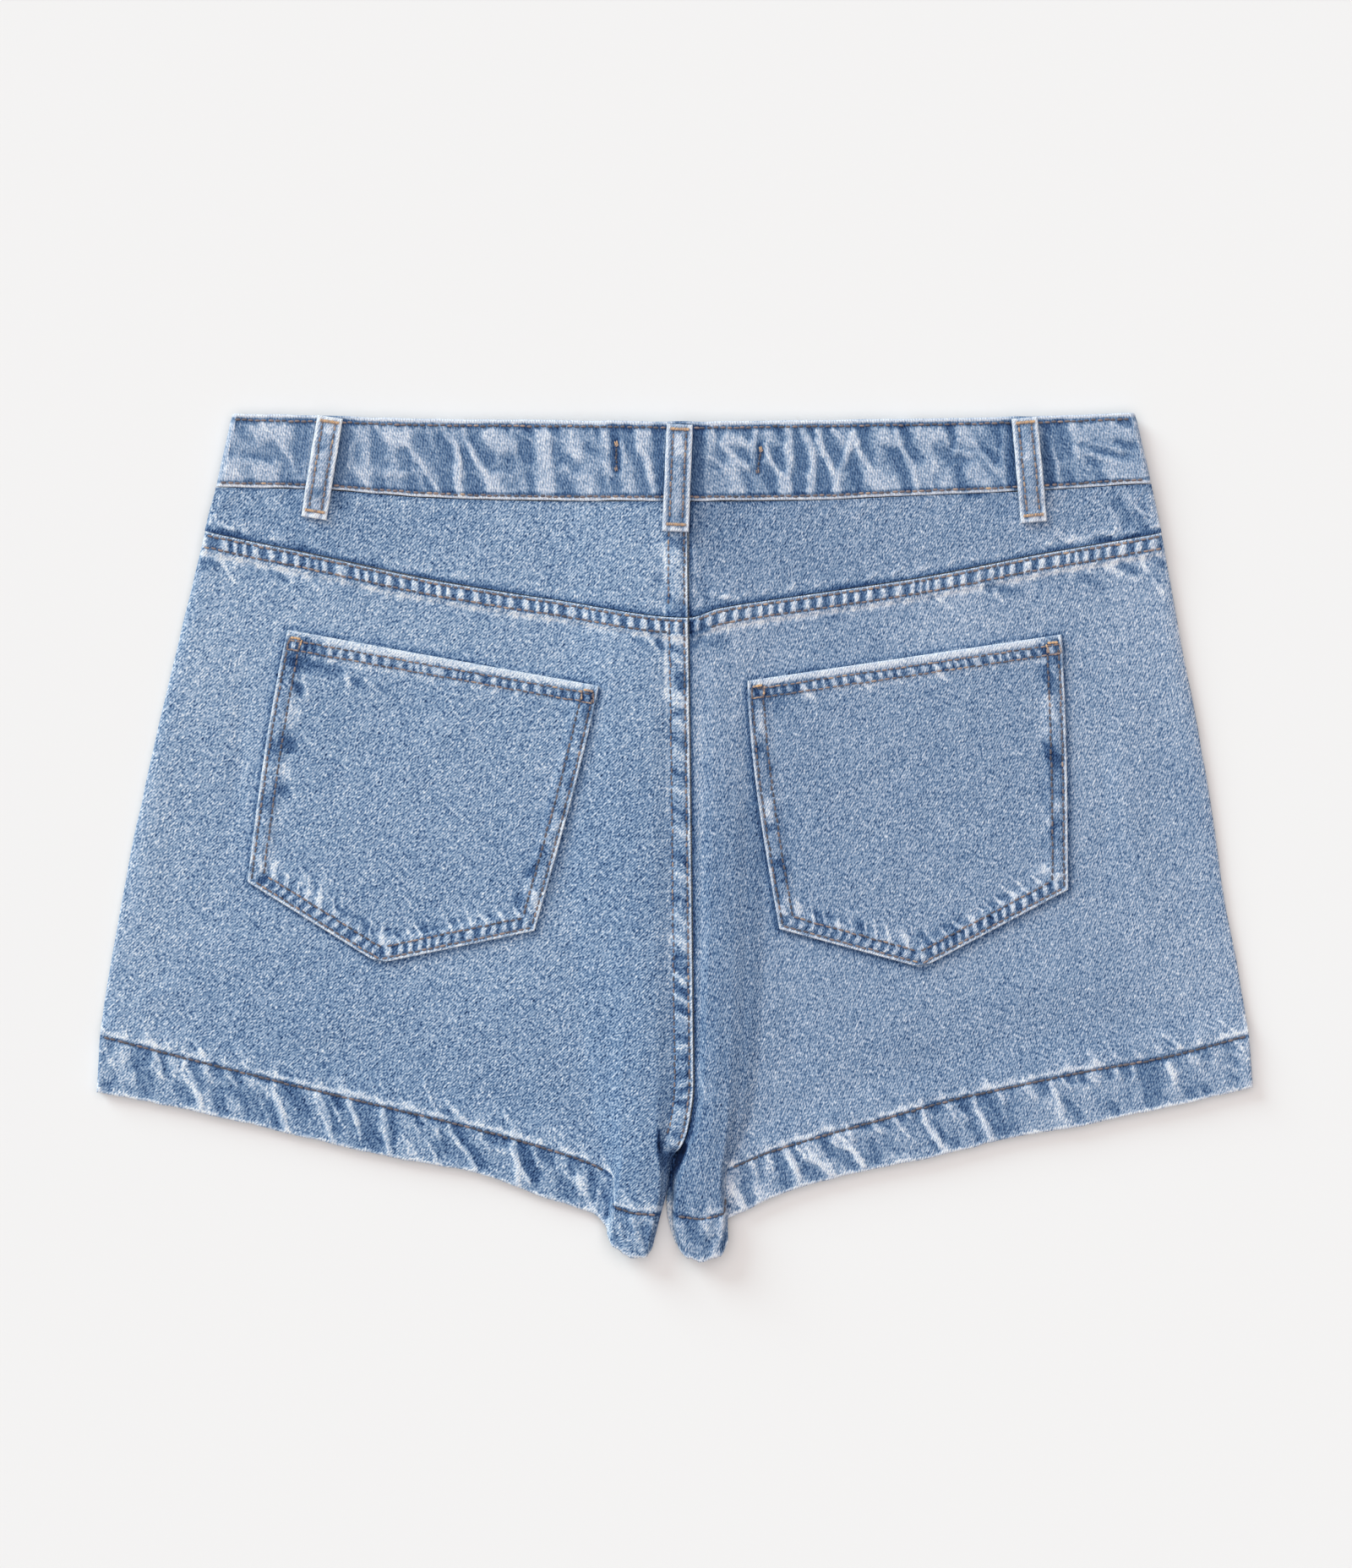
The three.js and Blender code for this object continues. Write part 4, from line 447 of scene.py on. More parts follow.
def edge_round(d, r):
    """How far a rounded edge has come down at a distance d from its rim."""
    return r * (1 - np.sqrt(np.clip(1 - (1 - np.clip(d / r, 0, 1)) ** 2, 0, 1)))


def steps(a, b, pitch):
    return list(np.linspace(a, b, max(2, int(round(abs(b - a) / pitch)) + 1)))


# ---------------------------------------------------------------- meshes
SURFACES = {}  # the upper surface of each piece, for what is sewn on it
POINTS = {}


def make_mesh(name, verts, *faces):
    """A mesh from points and groups of faces; each group is an array with one row per face."""
    me = bpy.data.meshes.new(name)
    loops = np.concatenate([f.reshape(-1) for f in faces if len(f)])
    sizes = np.concatenate([np.full(len(f), f.shape[1]) for f in faces if len(f)])
    me.vertices.add(len(verts))
    me.vertices.foreach_set("co", (np.asarray(verts, np.float32) * MM).reshape(-1))
    me.loops.add(len(loops))
    me.loops.foreach_set("vertex_index", loops.astype(np.int32))
    me.polygons.add(len(sizes))
    me.polygons.foreach_set("loop_start", np.concatenate([[0], np.cumsum(sizes)[:-1]]).astype(np.int32))
    me.polygons.foreach_set("use_smooth", np.ones(len(sizes), bool))
    me.update(calc_edges=True)
    me.validate()
    ob = bpy.data.objects.new(name, me)
    bpy.context.collection.objects.link(ob)
    return ob


def attribute(ob, name, values):
    a = ob.data.attributes.new(name, "FLOAT_VECTOR", "POINT")
    a.data.foreach_set("vector", np.asarray(values, np.float32).reshape(-1))


def thin(n, step):
    """Every so-many-th number up to n - 1, with the last one kept."""
    k = list(range(0, n - 1, step))
    return np.array(k + [n - 1])


def shell(name, face, inside, cloth, look, look_inside, step=2):
    """A thin closed wall: `face` is the grid that is seen, `inside` the grid behind it, made with fewer points.
    Every point has the cloth's own coordinates and its look."""
    rows, cols = face.shape[:2]
    ri, ci = thin(rows, step), thin(cols, step)
    n = rows * cols
    idx = np.arange(n).reshape(rows, cols)
    low = n + np.arange(len(ri) * len(ci)).reshape(len(ri), len(ci))
    cell = lambda g: np.stack([g[:-1, :-1], g[1:, :-1], g[1:, 1:], g[:-1, 1:]], -1).reshape(-1, 4)
    up, down = cell(idx), cell(low)[:, ::-1]
    groups = {}
    for line, under, keep, flip in ((idx[0], low[0], ci, False), (idx[-1], low[-1], ci, True), (idx[:, 0], low[:, 0], ri, True), (idx[:, -1], low[:, -1], ri, False)):
        for k in range(len(keep) - 1):
            f = list(line[keep[k]:keep[k + 1] + 1]) + [under[k + 1], under[k]]
            groups.setdefault(len(f), []).append(f[::-1] if flip else f)
    verts = np.concatenate([face.reshape(-1, 3), inside[np.ix_(ri, ci)].reshape(-1, 3)])
    faces = [up, down] + [np.array(g) for g in groups.values()]
    q = face.reshape(-1, 3)[up]
    out = np.cross(q[:, 2] - q[:, 0], q[:, 3] - q[:, 1])
    apart = (face - inside).reshape(-1, 3)[up[:, 0]]
    if np.einsum("ij,ij->i", out, apart).sum() < 0:
        faces = [f[:, ::-1] for f in faces]
    ob = make_mesh(name, verts, *[np.ascontiguousarray(f) for f in faces])
    attribute(ob, "cloth", np.concatenate([cloth.reshape(-1, 3), cloth[np.ix_(ri, ci)].reshape(-1, 3) + [300, 500, 0]]))
    attribute(ob, "look", np.concatenate([look.reshape(-1, 3), look_inside[np.ix_(ri, ci)].reshape(-1, 3)]))
    SURFACES[name] = (face, up)
    return ob


def surface_tree(name):
    if name not in POINTS:
        pts, faces = SURFACES[name]
        POINTS[name] = BVHTree.FromPolygons(pts.reshape(-1, 3).tolist(), faces.tolist())
    return POINTS[name]


def drop(name, x, y, below=False):
    """Where a thread lies on a piece at x, y: the point and the surface's normal, or None off the piece."""
    p, nrm, _, _ = surface_tree(name).ray_cast(Vector((x, y, -30 if below else 60)), Vector((0, 0, 1 if below else -1)))
    if p is None:
        return None
    if (nrm.z < 0) != below:
        nrm = -nrm
    return p, nrm


def cloth_xy(top, angle, offset):
    """The cloth's own coordinates: along its twill lines and across them. Slopes count at their full length."""
    dx = np.diff(top[..., 0], axis=1)
    dz = np.diff(top[..., 2], axis=1)
    extra = (np.hypot(dx, dz) - np.abs(dx)) * np.sign(dx + 1e-9)
    x = top[..., 0].copy()
    x[:, 1:] += np.cumsum(extra, axis=1)
    y = top[..., 1]
    c, s = math.cos(math.radians(angle)), math.sin(math.radians(angle))
    return np.stack([x * c + y * s + offset, -x * s + y * c + 2 * offset, np.zeros_like(x)], -1)


# ---------------------------------------------------------------- the back
drape_noise, fine_noise = Noise(4), Noise(9)


def lap_lift(x, y):
    return LAP_LIFT * follow(REST, "y", "lift", y) * smooth(1 - np.abs(x - LAP_X) / LAP_REACH)


def drape(x, y):
    """Soft unevenness that all the layers share."""
    return 0.42 * drape_noise.deep(x / 46.0, y / 52.0, 2)


def edge_roll(x, y):
    d = np.minimum(x - follow(SIDE, "y", "left", y), follow(SIDE, "y", "right", y) - x)
    return np.sqrt(np.clip(1 - (1 - np.clip(d / SIDE_ROLL, 0, 1)) ** 2, 0, 1))


class Leg:
    def __init__(self, side):
        self.side, self.left = side, side == "left"
        self.fold = FOLD_LEFT if self.left else FOLD_RIGHT
        self.pleat = PLEAT_LEFT if self.left else PLEAT_RIGHT
        self.hem = HEM_LEFT if self.left else HEM_RIGHT

    def lines(self, y):
        return np.stack([follow(SIDE, "y", self.side, y)] + [follow(self.fold, "y", k, y) for k in LINES])

    def X(self, u, y):
        ln = self.lines(y)
        k = np.minimum(np.floor(u).astype(int), 6)
        pick = lambda i: np.take_along_axis(ln, i[None], 0)[0]
        return lerp(pick(k), pick(k + 1), u - k)

    def hem_at(self, u, what):
        side_x = lerp(-288.0 if self.left else 288.0, self.fold["base"][-1], np.clip(u, 0, 1))
        outer = follow(self.hem, "x", what, side_x)
        k = np.clip(np.floor(u).astype(int), 1, 6)
        v = self.pleat[what]
        t = u - k
        return np.where(u <= 1, outer, lerp(v[k - 1], v[np.minimum(k, 6)], smooth(t) * 0.5 + t * 0.5))

    def ridge(self, u, y):
        rise, seam = follow(self.fold, "y", "rise", y), follow(self.fold, "y", "seamRise", y)
        lv = [rise * 0, rise * 0] + [rise * s for s in SHARE[1:]] + [np.where(y > -157, seam, (seam + 0.9 * rise) / 2), seam]
        lv = np.stack(np.broadcast_arrays(*lv))
        k = np.minimum(np.floor(u).astype(int), 6)
        pick = lambda i: np.take_along_axis(lv, i[None], 0)[0]
        t = u - k
        return lerp(pick(k), pick(k + 1), 0.55 * t + 0.45 * smooth(t)) * (u > 1)

    def top_y(self, u):
        x = np.where(u < 1, self.X(u, np.full(u.shape, 150.0)), self.X(u, np.full(u.shape, 112.0)))
        return follow(ACROSS, "x", "yoke", x)

    def face(self, u, x, y):
        rest = follow(REST, "y", "back", y) + lap_lift(x, y)
        stitch = self.hem_at(u, "stitch")
        lift = HEM_LIFT * smooth(1 - (y - stitch) / 24) * smooth(2 - u)
        side = follow(REST, "y", "front", y) + SIDE_Z + 2.2 * smooth(1 - (y - stitch - 1) / 9)
        return lerp(side, rest + lift, edge_roll(x, y)) + self.ridge(u, y)

    def u_of(self, x, y):
        ln = self.lines(y)
        u = np.zeros(np.shape(x))
        for k in range(7):
            a, b = ln[k], ln[k + 1]
            inside = (x - a) * (x - b) <= 0
            u = np.where(inside, k + (x - a) / np.where(b - a == 0, 1, b - a), u)
        return u


LEGS = {"left": Leg("left"), "right": Leg("right")}


def pocket_line(p):
    """The pocket's outline, round from the upper outer corner and back to it."""
    return np.stack([np.append(p["x"], p["x"][0]), np.append(p["y"], p["y"][0])], -1)


def bow(p, x, y):
    """How far the pocket's sides bulge out at a point, along x."""
    px, py = p["x"], p["y"]
    left = px[0] < 0
    far = []
    for a, b, most in ((0, 4, -1.8 if left else 1.1), (1, 2, 1.25 if left else -2.5)):
        v = np.clip((py[a] - y) / (py[a] - py[b]), 0, 1)
        far.append((lerp(px[a], px[b], v), most * np.sin(np.pi * v ** 0.8)))
    u = np.clip((x - far[0][0]) / (far[1][0] - far[0][0]), 0, 1)
    return lerp(far[0][1], far[1][1], u)


def inside_pocket(p, x, y):
    """Signed distance: positive inside the outline."""
    x = x - bow(p, x, y)
    line = pocket_line(p)
    d, s, _ = along(line, x, y)
    inside = np.zeros(np.shape(x), bool)
    for a, b in zip(line[:-1], line[1:]):
        cross = (a[1] > y) != (b[1] > y)
        xi = a[0] + (y - a[1]) / np.where(b[1] == a[1], 1e-9, b[1] - a[1]) * (b[0] - a[0])
        inside ^= cross & (x < xi)
    return np.where(inside, d, -d), s


def back_panel(side):
    leg = LEGS[side]
    left = leg.left
    sgn = 1 if left else -1
    # columns: u is 0 at the side seam, 1 at the fold's foot, 7 at the seat seam
    width = 232.0
    near = [0, 0.12, 0.3, 0.6, 1.0, 1.6, 2.4, 3.4, 4.6]
    cols = [d / width for d in near] + steps(5.8 / width, 1, 1.12 / width)[0:-1]
    seg = [14, 12, 10, 9, 9, 12, 10]
    for k in range(1, 6):
        cols += list(np.linspace(k, k + 1, seg[k] + 1)[:-1])
    cols += list(6 + np.array([0, 0.06, 0.12, 0.18, 0.25, 0.33, 0.41, 0.5, 0.58, 0.66, 0.74, 0.8, 0.86, 0.91, 0.95, 0.975, 0.99, 1.0]))
    # rows: w is 0 at the yoke seam, 1 at the hem's stitches, 2 at the hem's edge
    body = 285.0
    w = [d / body for d in (0, 0.15, 0.35, 0.7, 1.1, 1.6, 2.3, 3.1, 4.0, 4.9, 5.8, 6.6, 7.4, 8.2, 9.0, 9.8, 10.8)]
    w += steps(12 / body, 1 - 6 / body, 1.62 / body) + [1 - d / body for d in (5, 4, 3, 2.2, 1.5, 0.8)] + [1]
    hem_h = 26.0
    w += [1 + d / hem_h for d in np.arange(0.8, hem_h - 3.2, 1.05)] + [2 - d / hem_h for d in (2.8, 2.0, 1.4, 0.9, 0.5, 0.22, 0.08, 0)]
    u, w = np.meshgrid(np.array(cols), np.array(w))
    top, stitch, edge = leg.top_y(u) - 0.2, leg.hem_at(u, "stitch"), leg.hem_at(u, "edge")
    # the worn hem edge isn't quite straight
    n1 = Noise(21 if left else 22)
    edge = edge + 0.4 * n1(u * width / 9.0) + 0.3 * n1(u * width / 3.1)
    y = np.where(w <= 1, lerp(top, stitch, w), lerp(stitch, edge, w - 1))
    x = leg.X(u, y)
    x = x - sgn * 0.15 * smooth((u - 6.9) / 0.1)
    # the side edge waves a little too
    x = x + sgn * (0.3 * n1(y / 13.0, 5.0) + 0.2) * bell(u * width, 6)
    z = leg.face(u, x, y) + drape(x, y) * smooth(u * width / 10)
    # distances in mm
    d_side = u * width
    arc = np.cumsum(np.concatenate([np.zeros_like(x[:, :1]), np.hypot(np.diff(x, axis=1), np.diff(z, axis=1))], axis=1), axis=1)
    d_seam = arc[:, -1:] - arc
    d_top = np.where(w <= 1, w * (top - stitch), 300)
    d_stitch = np.where(w <= 1, -(1 - w) * (top - stitch), (w - 1) * (stitch - edge))  # below the stitches is positive
    d_edge = np.where(w > 1, (2 - w) * (stitch - edge), 300)
    n = Noise(31 if left else 32)
    m = Noise(41 if left else 42)

    # the lap over the yoke: two rows of stitches with gathers between them
    lap = smooth((10.6 - d_top) / 2.2)
    b_top = bars(x - 0.04 * sgn * d_top, 6.0, n)
    between = smooth((d_top - 1.4) / 1.0) * smooth((8.3 - d_top) / 1.2)
    hz = FELL * lap
    hz -= 0.42 * bell(d_top - 1.5, 0.8) + 0.42 * bell(d_top - 7.6, 0.9)
    hz += 0.46 * (b_top - 0.5) * between
    w_top = wisps(x, d_top - 8.6, 9.0, 0.55, 9, m, 3)
    hz += 0.20 * w_top
    worn = 0.76 * b_top * between + 0.5 * bell(d_top, 1.0) + 0.5 * w_top
    worn += 0.66 * bell(d_top - 10.3, 1.8) * smooth(0.75 + 0.9 * m(x / 9.0, 3.0))
    # darker in the gathers' hollows, where the blue was kept, and at the two rows of stitches: partly blue kept in the
    # dents, partly painted shade in the grooves
    dark = 0.8 * (1 - b_top) * between + 0.4 * bell(d_top - 1.7, 0.8) + 0.5 * bell(d_top - 7.6, 0.9)
    dark += 0.30 * smooth(0.2 + 1.4 * m(x / 7.0, 8.0)) * bell(d_top - 13.5, 3.2)

    # the hem: folds that lean, a groove at the stitches, a worn fold at the edge
    in_hem = smooth((d_stitch + 0.4) / 1.2)
    broad = n.deep((x - 0.42 * d_stitch) / 7.5, d_stitch / 26.0, 2)
    fine = m.deep((x - 0.42 * d_stitch) / 3.3, d_stitch / 11.0, 2)
    hw, hd, hh = lay(HEM_MARKS_LEFT if left else HEM_MARKS_RIGHT, x, y, m, keen=0.82)
    free = 1 - 0.75 * np.clip(hw + hd, 0, 1)
    calm = 1 - (0.4 if left else 0.1) * smooth((u - 1) / 0.5)
    hz -= 0.5 * bell(d_stitch, 0.9)
    hz += in_hem * free * (0.22 * broad + 0.12 * fine) * smooth(d_edge / 3.0 + 0.2)
    hz += 0.22 * broad * bell(d_stitch + 5, 6) * (d_stitch < 0)
    hz += 1.15 * hh * smooth(d_edge / 2.2 + 0.3) * smooth(np.abs(d_stitch) / 1.5 + 0.2)
    worn += 0.78 * hw * calm + in_hem * free * calm * (0.46 * smooth(1.6 * broad) + 0.12 * smooth(1.5 * fine)) + 1.0 * bell(d_edge - 0.4, 1.4) * (0.85 + 0.35 * n(x / 5.0))
    # the hem's stitches sit in a darker line: partly blue kept in the groove, partly painted shade
    dark += 0.78 * hd * calm + in_hem * free * calm * (0.42 * smooth(-1.6 * broad) + 0.10 * smooth(-1.5 * fine)) * (1 - bell(d_edge, 2.6)) + 0.85 * bell(d_stitch, 1.2)
    worn += 0.72 * bell(d_stitch + 2.4, 1.8) * smooth(0.8 + 0.8 * n(x / 8.0, 2.0)) * (d_stitch < 0)
    w_hem = wisps(x, -d_stitch - 2, 11.0, 0.5, 12, n, 6) * (d_stitch < 0)
    worn += 0.5 * w_hem
    hz += 0.18 * w_hem
    dark += 0.30 * smooth(0.1 + 1.5 * m(x / 6.0, 12.0)) * bell(d_stitch + 7, 3.5) * (d_stitch < 0)

    # the felled strip at the seat, or the valley beside it
    bw, bd, bh = lay(BODY_MARKS_LEFT if left else BODY_MARKS_RIGHT, x, y, n)
    if left:
        strip = smooth((FELL_WIDTH + 0.9 - d_seam) / 1.6) * smooth((y + 157.5) / 2.5)
        g = pucker(y, d_seam, 5.0, 0.7, n, 0.8)
        hz += FELL * strip + (0.10 * g + 0.8 * bh) * strip * smooth(d_seam / 1.5)
        hz -= strip * (0.4 * bell(d_seam - 2.0, 0.8)) + 0.42 * bell(d_seam - 9.2, 0.9) * (y > -157)
        worn += strip * (0.22 * smooth(g) * bell(d_seam - 5.5, 3.4) + 1.1 * bell(d_seam, 1.05))
        worn += 0.45 * bell(d_seam - 11.2, 1.4) * smooth(0.5 + m(y / 14.0, 1.0)) * (y > -130)
        # darker at the strip's two rows of stitches: partly blue kept in the dents, partly painted shade in the grooves
        dark += strip * 0.6 * bell(d_seam - 2.1, 0.8) + 0.6 * bell(d_seam - 9.3, 0.9) * (y > -157)
        # under the crotch both legs' inner walls are in deep shade
        rim = lerp(-8.6, -1.5, smooth((-158 - y) / 20))
        hollow = smooth((x - rim) / 1.2 + 0.5) * smooth((-150.5 - y) / 2.0) * (u > 4.5) * (1 - strip)
        dark += 0.6 * hollow * (1 - smooth((-154 - y) / 16)) + 0.25 * hollow * smooth((y + 205) / 40)
        dark += 1.6 * bell(x + 8.1, 0.8) * smooth((-143.5 - y) / 2) * smooth((y + 156) / 3)
    else:
        g = pucker(y, d_seam, 10.0, -0.6, n)
        hz += 0.25 * g * bell(d_seam - 5, 4) * (y > -157)
        # painted shadow along the edge of the left leg's felled strip, which laps over this panel; blue kept in the
        # gathers' hollows
        dark += 1.1 * bell(d_seam, 1.5) * (y > -156) + 0.22 * smooth(-g) * bell(d_seam - 5, 4) * (y > -157)
        # painted deep shade on the right leg's inner wall under the crotch
        rim = lerp(6.0, -1.5, np.clip((-155 - y) / 18, 0, 1))
        hollow = smooth((rim - x) / 1.2 + 0.5) * smooth((-152.0 - y) / 1.5) * (u > 4.5)
        dark += 2.1 * hollow * (1 - smooth((-160 - y) / 13))
        worn += 0.45 * smooth((u - 5.6) / 0.5) * smooth((-176 - y) / 12)
    worn += 1.0 * bw
    dark += 1.0 * bd
    # the pleat's folded edge is rubbed pale where it crosses the hem
    worn += 0.6 * bell(u - (1.75 if left else 1.6), 0.42) * smooth((-163 - y) / 5)

    # round the pocket the panel is drawn in, and gathers of old creases run along its edges; painted shade darkens the
    # panel right beside the pocket's edge
    pk = POCKET_LEFT if left else POCKET_RIGHT
    dp, sp = inside_pocket(pk, x, y)
    out = np.clip(-dp, 0, 99)
    g_pk = pucker(sp, out, 4.5, 0.5, m, 0.8)
    beside = np.where(dp < 0, 1, 0)
    hz += beside * 0.16 * g_pk * bell(out, 5.5)
    worn += beside * 0.22 * smooth(g_pk) * bell(out - 4.0, 2.6)
    dark += beside * (0.62 * bell(out, 1.5) + 0.26 * bell(out - 1, 3.4) + 0.14 * smooth(-g_pk) * bell(out - 3.5, 3))
    under = smooth((dp + 1) / 3)

    ch, cw = creases(CREASES_LEFT if left else CREASES_RIGHT, x, y)
    hz = (hz + ch + 0.07 * m.deep(x / 7.0, y / 7.0, 2)) * (1 - under)
    worn += cw + 0.30 * bell(d_side, 2.6) * (0.8 + 0.5 * m(y / 9.0))
    # inner leg: painted shade darkens the pleat's flanks that face away from the light, and on the right a band down
    # the fold's outer slope; the crest is a little worn
    if left:
        dark += 0.34 * smooth((u - 4.4) / 0.9) * smooth((-80 - y) / 50) * (1 - smooth((u - 5.95) / 0.1) * smooth((y + 157) / 3))
        worn += 0.14 * bell(u - 2.35, 0.6) * smooth((60 - y) / 60)
    else:
        dark += 0.22 * smooth((u - 4.0) / 0.9) * smooth((-118 - y) / 25)
        dark += 0.20 * bell(u - 1.6, 1.4) * smooth((90 - y) / 50) * smooth((y + 120) / 60)
        worn += 0.12 * bell(u - 2.6, 0.6) * smooth((60 - y) / 60)
    fade = 0.045 * drape_noise.deep(x / 60.0 + 9, y / 60.0, 2)
    shade = 0.035 * (1 - smooth(d_side / 75)) if left else 0.02 * (1 - smooth(d_side / 60))
    low = 0.03 * smooth((-40 - y) / 60)
    tone = shade + fade - low - (0.03 if left else 0.075) * smooth((u - 0.8) / 1.0) * smooth((60 - y) / 80) + (0.0 if left else 0.03 + 0.03 * smooth(u - 1)) * in_hem

    edge_gap = np.minimum(np.minimum(d_edge, np.where(w <= 1, d_top, 300)), d_side)
    edge_gap = np.minimum(edge_gap, d_seam if left else d_seam + 0.6)
    thick = CLOTH + TURN * smooth((d_stitch - 0.5) / 1.0)
    r = 0.45 * (thick + FELL * lap)
    top_z = z + hz - edge_round(edge_gap, r)
    face = np.stack([x, y, top_z], -1)
    # the underside leans with the slope so that the wall keeps its thickness
    slope, room = np.zeros_like(z), np.zeros_like(z)
    slope[:, 1:-1] = np.arctan2(z[:, 2:] - z[:, :-2], np.abs(x[:, 2:] - x[:, :-2]))
    room[:, 1:-1] = 0.4 * np.minimum(np.abs(x[:, 1:-1] - x[:, :-2]), np.abs(x[:, 2:] - x[:, 1:-1]))
    lean_x = np.clip(thick * np.sin(slope), -room, room) * sgn
    under_z = z - thick * np.maximum(np.cos(slope), 0.75) + edge_round(edge_gap, 0.45 * thick)
    back = np.stack([x + lean_x, y, under_z], -1)
    cloth = cloth_xy(np.stack([x, y, z], -1), 44.5 if left else 65.5, 0 if left else 700)
    look = np.stack([worn, dark, tone], -1)
    # painted deep shade on the panel's inside under the crotch
    shade = smooth((-146 - y) / 8) * smooth((y + 186) / 14) * (u > 4)
    look_in = np.stack([(0.25 + 0.3 * m(x / 9, y / 9)) * (1 - shade), 2.2 * shade, 0.20 * (1 - shade)], -1)
    return shell("cloth_back_" + side, face, back, cloth, look, look_in)


def yoke(side):
    leg = LEGS[side]
    left = leg.left
    sgn = 1 if left else -1
    near = [0, 0.12, 0.3, 0.6, 1.0, 1.6, 2.4, 3.4, 4.6]
    cols = [d / 175.0 for d in near] + steps(5.8 / 175.0, 1, 1.15 / 175.0)[:-1]
    for k, n_ in zip(range(1, 6), (13, 12, 8, 8, 9)):
        cols += list(np.linspace(k, k + 1, n_ + 1)[:-1])
    cols += list(6 + np.array([0, 0.06, 0.12, 0.2, 0.3, 0.42, 0.54, 0.66, 0.76, 0.84, 0.9, 0.945, 0.975, 0.99, 1.0]))
    v = [0, 0.004, 0.01, 0.02] + steps(0.035, 0.975, 0.0215) + [0.99, 1]
    u, v = np.meshgrid(np.array(cols), np.array(v))
    low_x = np.where(u < 1, leg.X(u, np.full(u.shape, 150.0)), leg.X(u, np.full(u.shape, 112.0))) - sgn * 0.15 * smooth((u - 6.9) / 0.1)
    low = follow(ACROSS, "x", "yoke", low_x) + 0.2
    s150, s174 = follow(SIDE, "y", side, 150.0), follow(SIDE, "y", side, 174.0)
    top_x = lerp(s174, low_x, np.clip((low_x - s150) / (7 - s150), 0, 1))
    top = follow(ACROSS, "x", "band", top_x) - 0.25
    y = lerp(low, top, v)
    x = np.where(u == 0, follow(SIDE, "y", side, y), lerp(low_x, top_x, v))
    n, m = Noise(51 if left else 52), Noise(61 if left else 62)
    x = x + sgn * (0.3 * n(y / 13.0, 5.0) + 0.2) * bell(u * 175, 6)
    plain = follow(REST, "y", "back", y) + lap_lift(x, y)
    fold = np.where(u <= 1, 0, leg.face(u, low_x, low) - (follow(REST, "y", "back", low) + lap_lift(low_x, low)))
    z = lerp(follow(REST, "y", "front", y) + SIDE_Z, plain, edge_roll(x, y)) + lerp(fold, 0, smooth(v)) + drape(x, y) * smooth(u * 175 / 10)
    d_low, d_top, d_side = y - low, top - y, u * 175
    d_seam = np.abs(low_x[:, -1:] - x)
    mw, md, mh = lay(YOKE_MARKS, x, y, n)
    hz = 0.10 * m.deep(x / 7.5, y / 9.0, 2) + 0.9 * mh
    w1, w2 = wisps(x, d_low - 3.4, 12.0, -0.6, 8, n, 2), wisps(x, d_top - 1, 13.0, 0.7, 13, m, 7)
    hz += 0.2 * w1 + 0.22 * w2
    shade = 0.6 + 0.55 * m(x / 16.0, 2.0)
    worn = 0.4 * w1 + 0.26 * w2 + 0.25 * bell(d_side, 2.6) + 0.66 * mw
    worn += 0.25 * smooth(0.4 + m(x / 11.0, 6.0)) * bell(d_low - 5.5, 2.2)
    # painted shadow on the yoke just above the back panel's lapped edge, made uneven by the noise in shade, and painted
    # shade just below the waistband; the table's marks add kept blue
    dark = 0.75 * bell(d_low, 1.6) + 0.55 * bell(d_low - 1, 3.6) * np.clip(shade, 0, 1.2) + 0.55 * bell(d_top, 2.0) * (0.8 + 0.5 * m(x / 12.0, 9.0)) + 0.66 * md
    mid = n.deep(x / 16.0 + y / 40.0, y / 26.0, 3)
    worn += 0.16 * smooth(mid * 1.6 - 0.2)
    dark += 0.16 * smooth(-mid * 1.6 - 0.2)
    if left:
        strip = smooth((FELL_WIDTH + 1.6 - d_seam) / 1.6)
        g = pucker(y, d_seam, 4.5, 0.8, n, 0.8)
        hz += FELL * strip + 0.14 * g * strip * smooth(d_seam / 1.5)
        hz -= strip * 0.4 * bell(d_seam - 2.0, 0.8) + 0.42 * bell(d_seam - 9.6, 0.9)
        worn += strip * 0.95 * bell(d_seam, 1.1) + 0.5 * bell(d_seam - 11.4, 1.3) * smooth((150 - y) / 8)
        # darker at the strip's stitch rows: partly blue kept in the dents, partly painted shade in the grooves
        dark += strip * 0.6 * bell(d_seam - 2.1, 0.8) + 0.6 * bell(d_seam - 9.7, 0.9)
    else:
        # painted shadow along the edge of the left yoke's felled strip
        dark += 1.05 * bell(d_seam, 1.6)
    tone = 0.05 * drape_noise.deep(x / 60.0 + 9, y / 60.0, 2) - (0.005 if left else 0.045)
    gap = np.minimum(d_side, d_seam if left else d_seam + 0.6)
    top_z = z + hz - edge_round(gap, 0.45 * CLOTH)
    face = np.stack([x, y, top_z], -1)
    back = np.stack([x, y, z - CLOTH + edge_round(gap, 0.45 * CLOTH)], -1)
    return shell("cloth_yoke_" + side, face, back, cloth_xy(face, 49.5 if left else 61.5, 1300 if left else 1900), np.stack([worn, dark, tone], -1), np.stack([0.2 + 0 * x, 0 * x, 0.2 + 0 * x], -1))


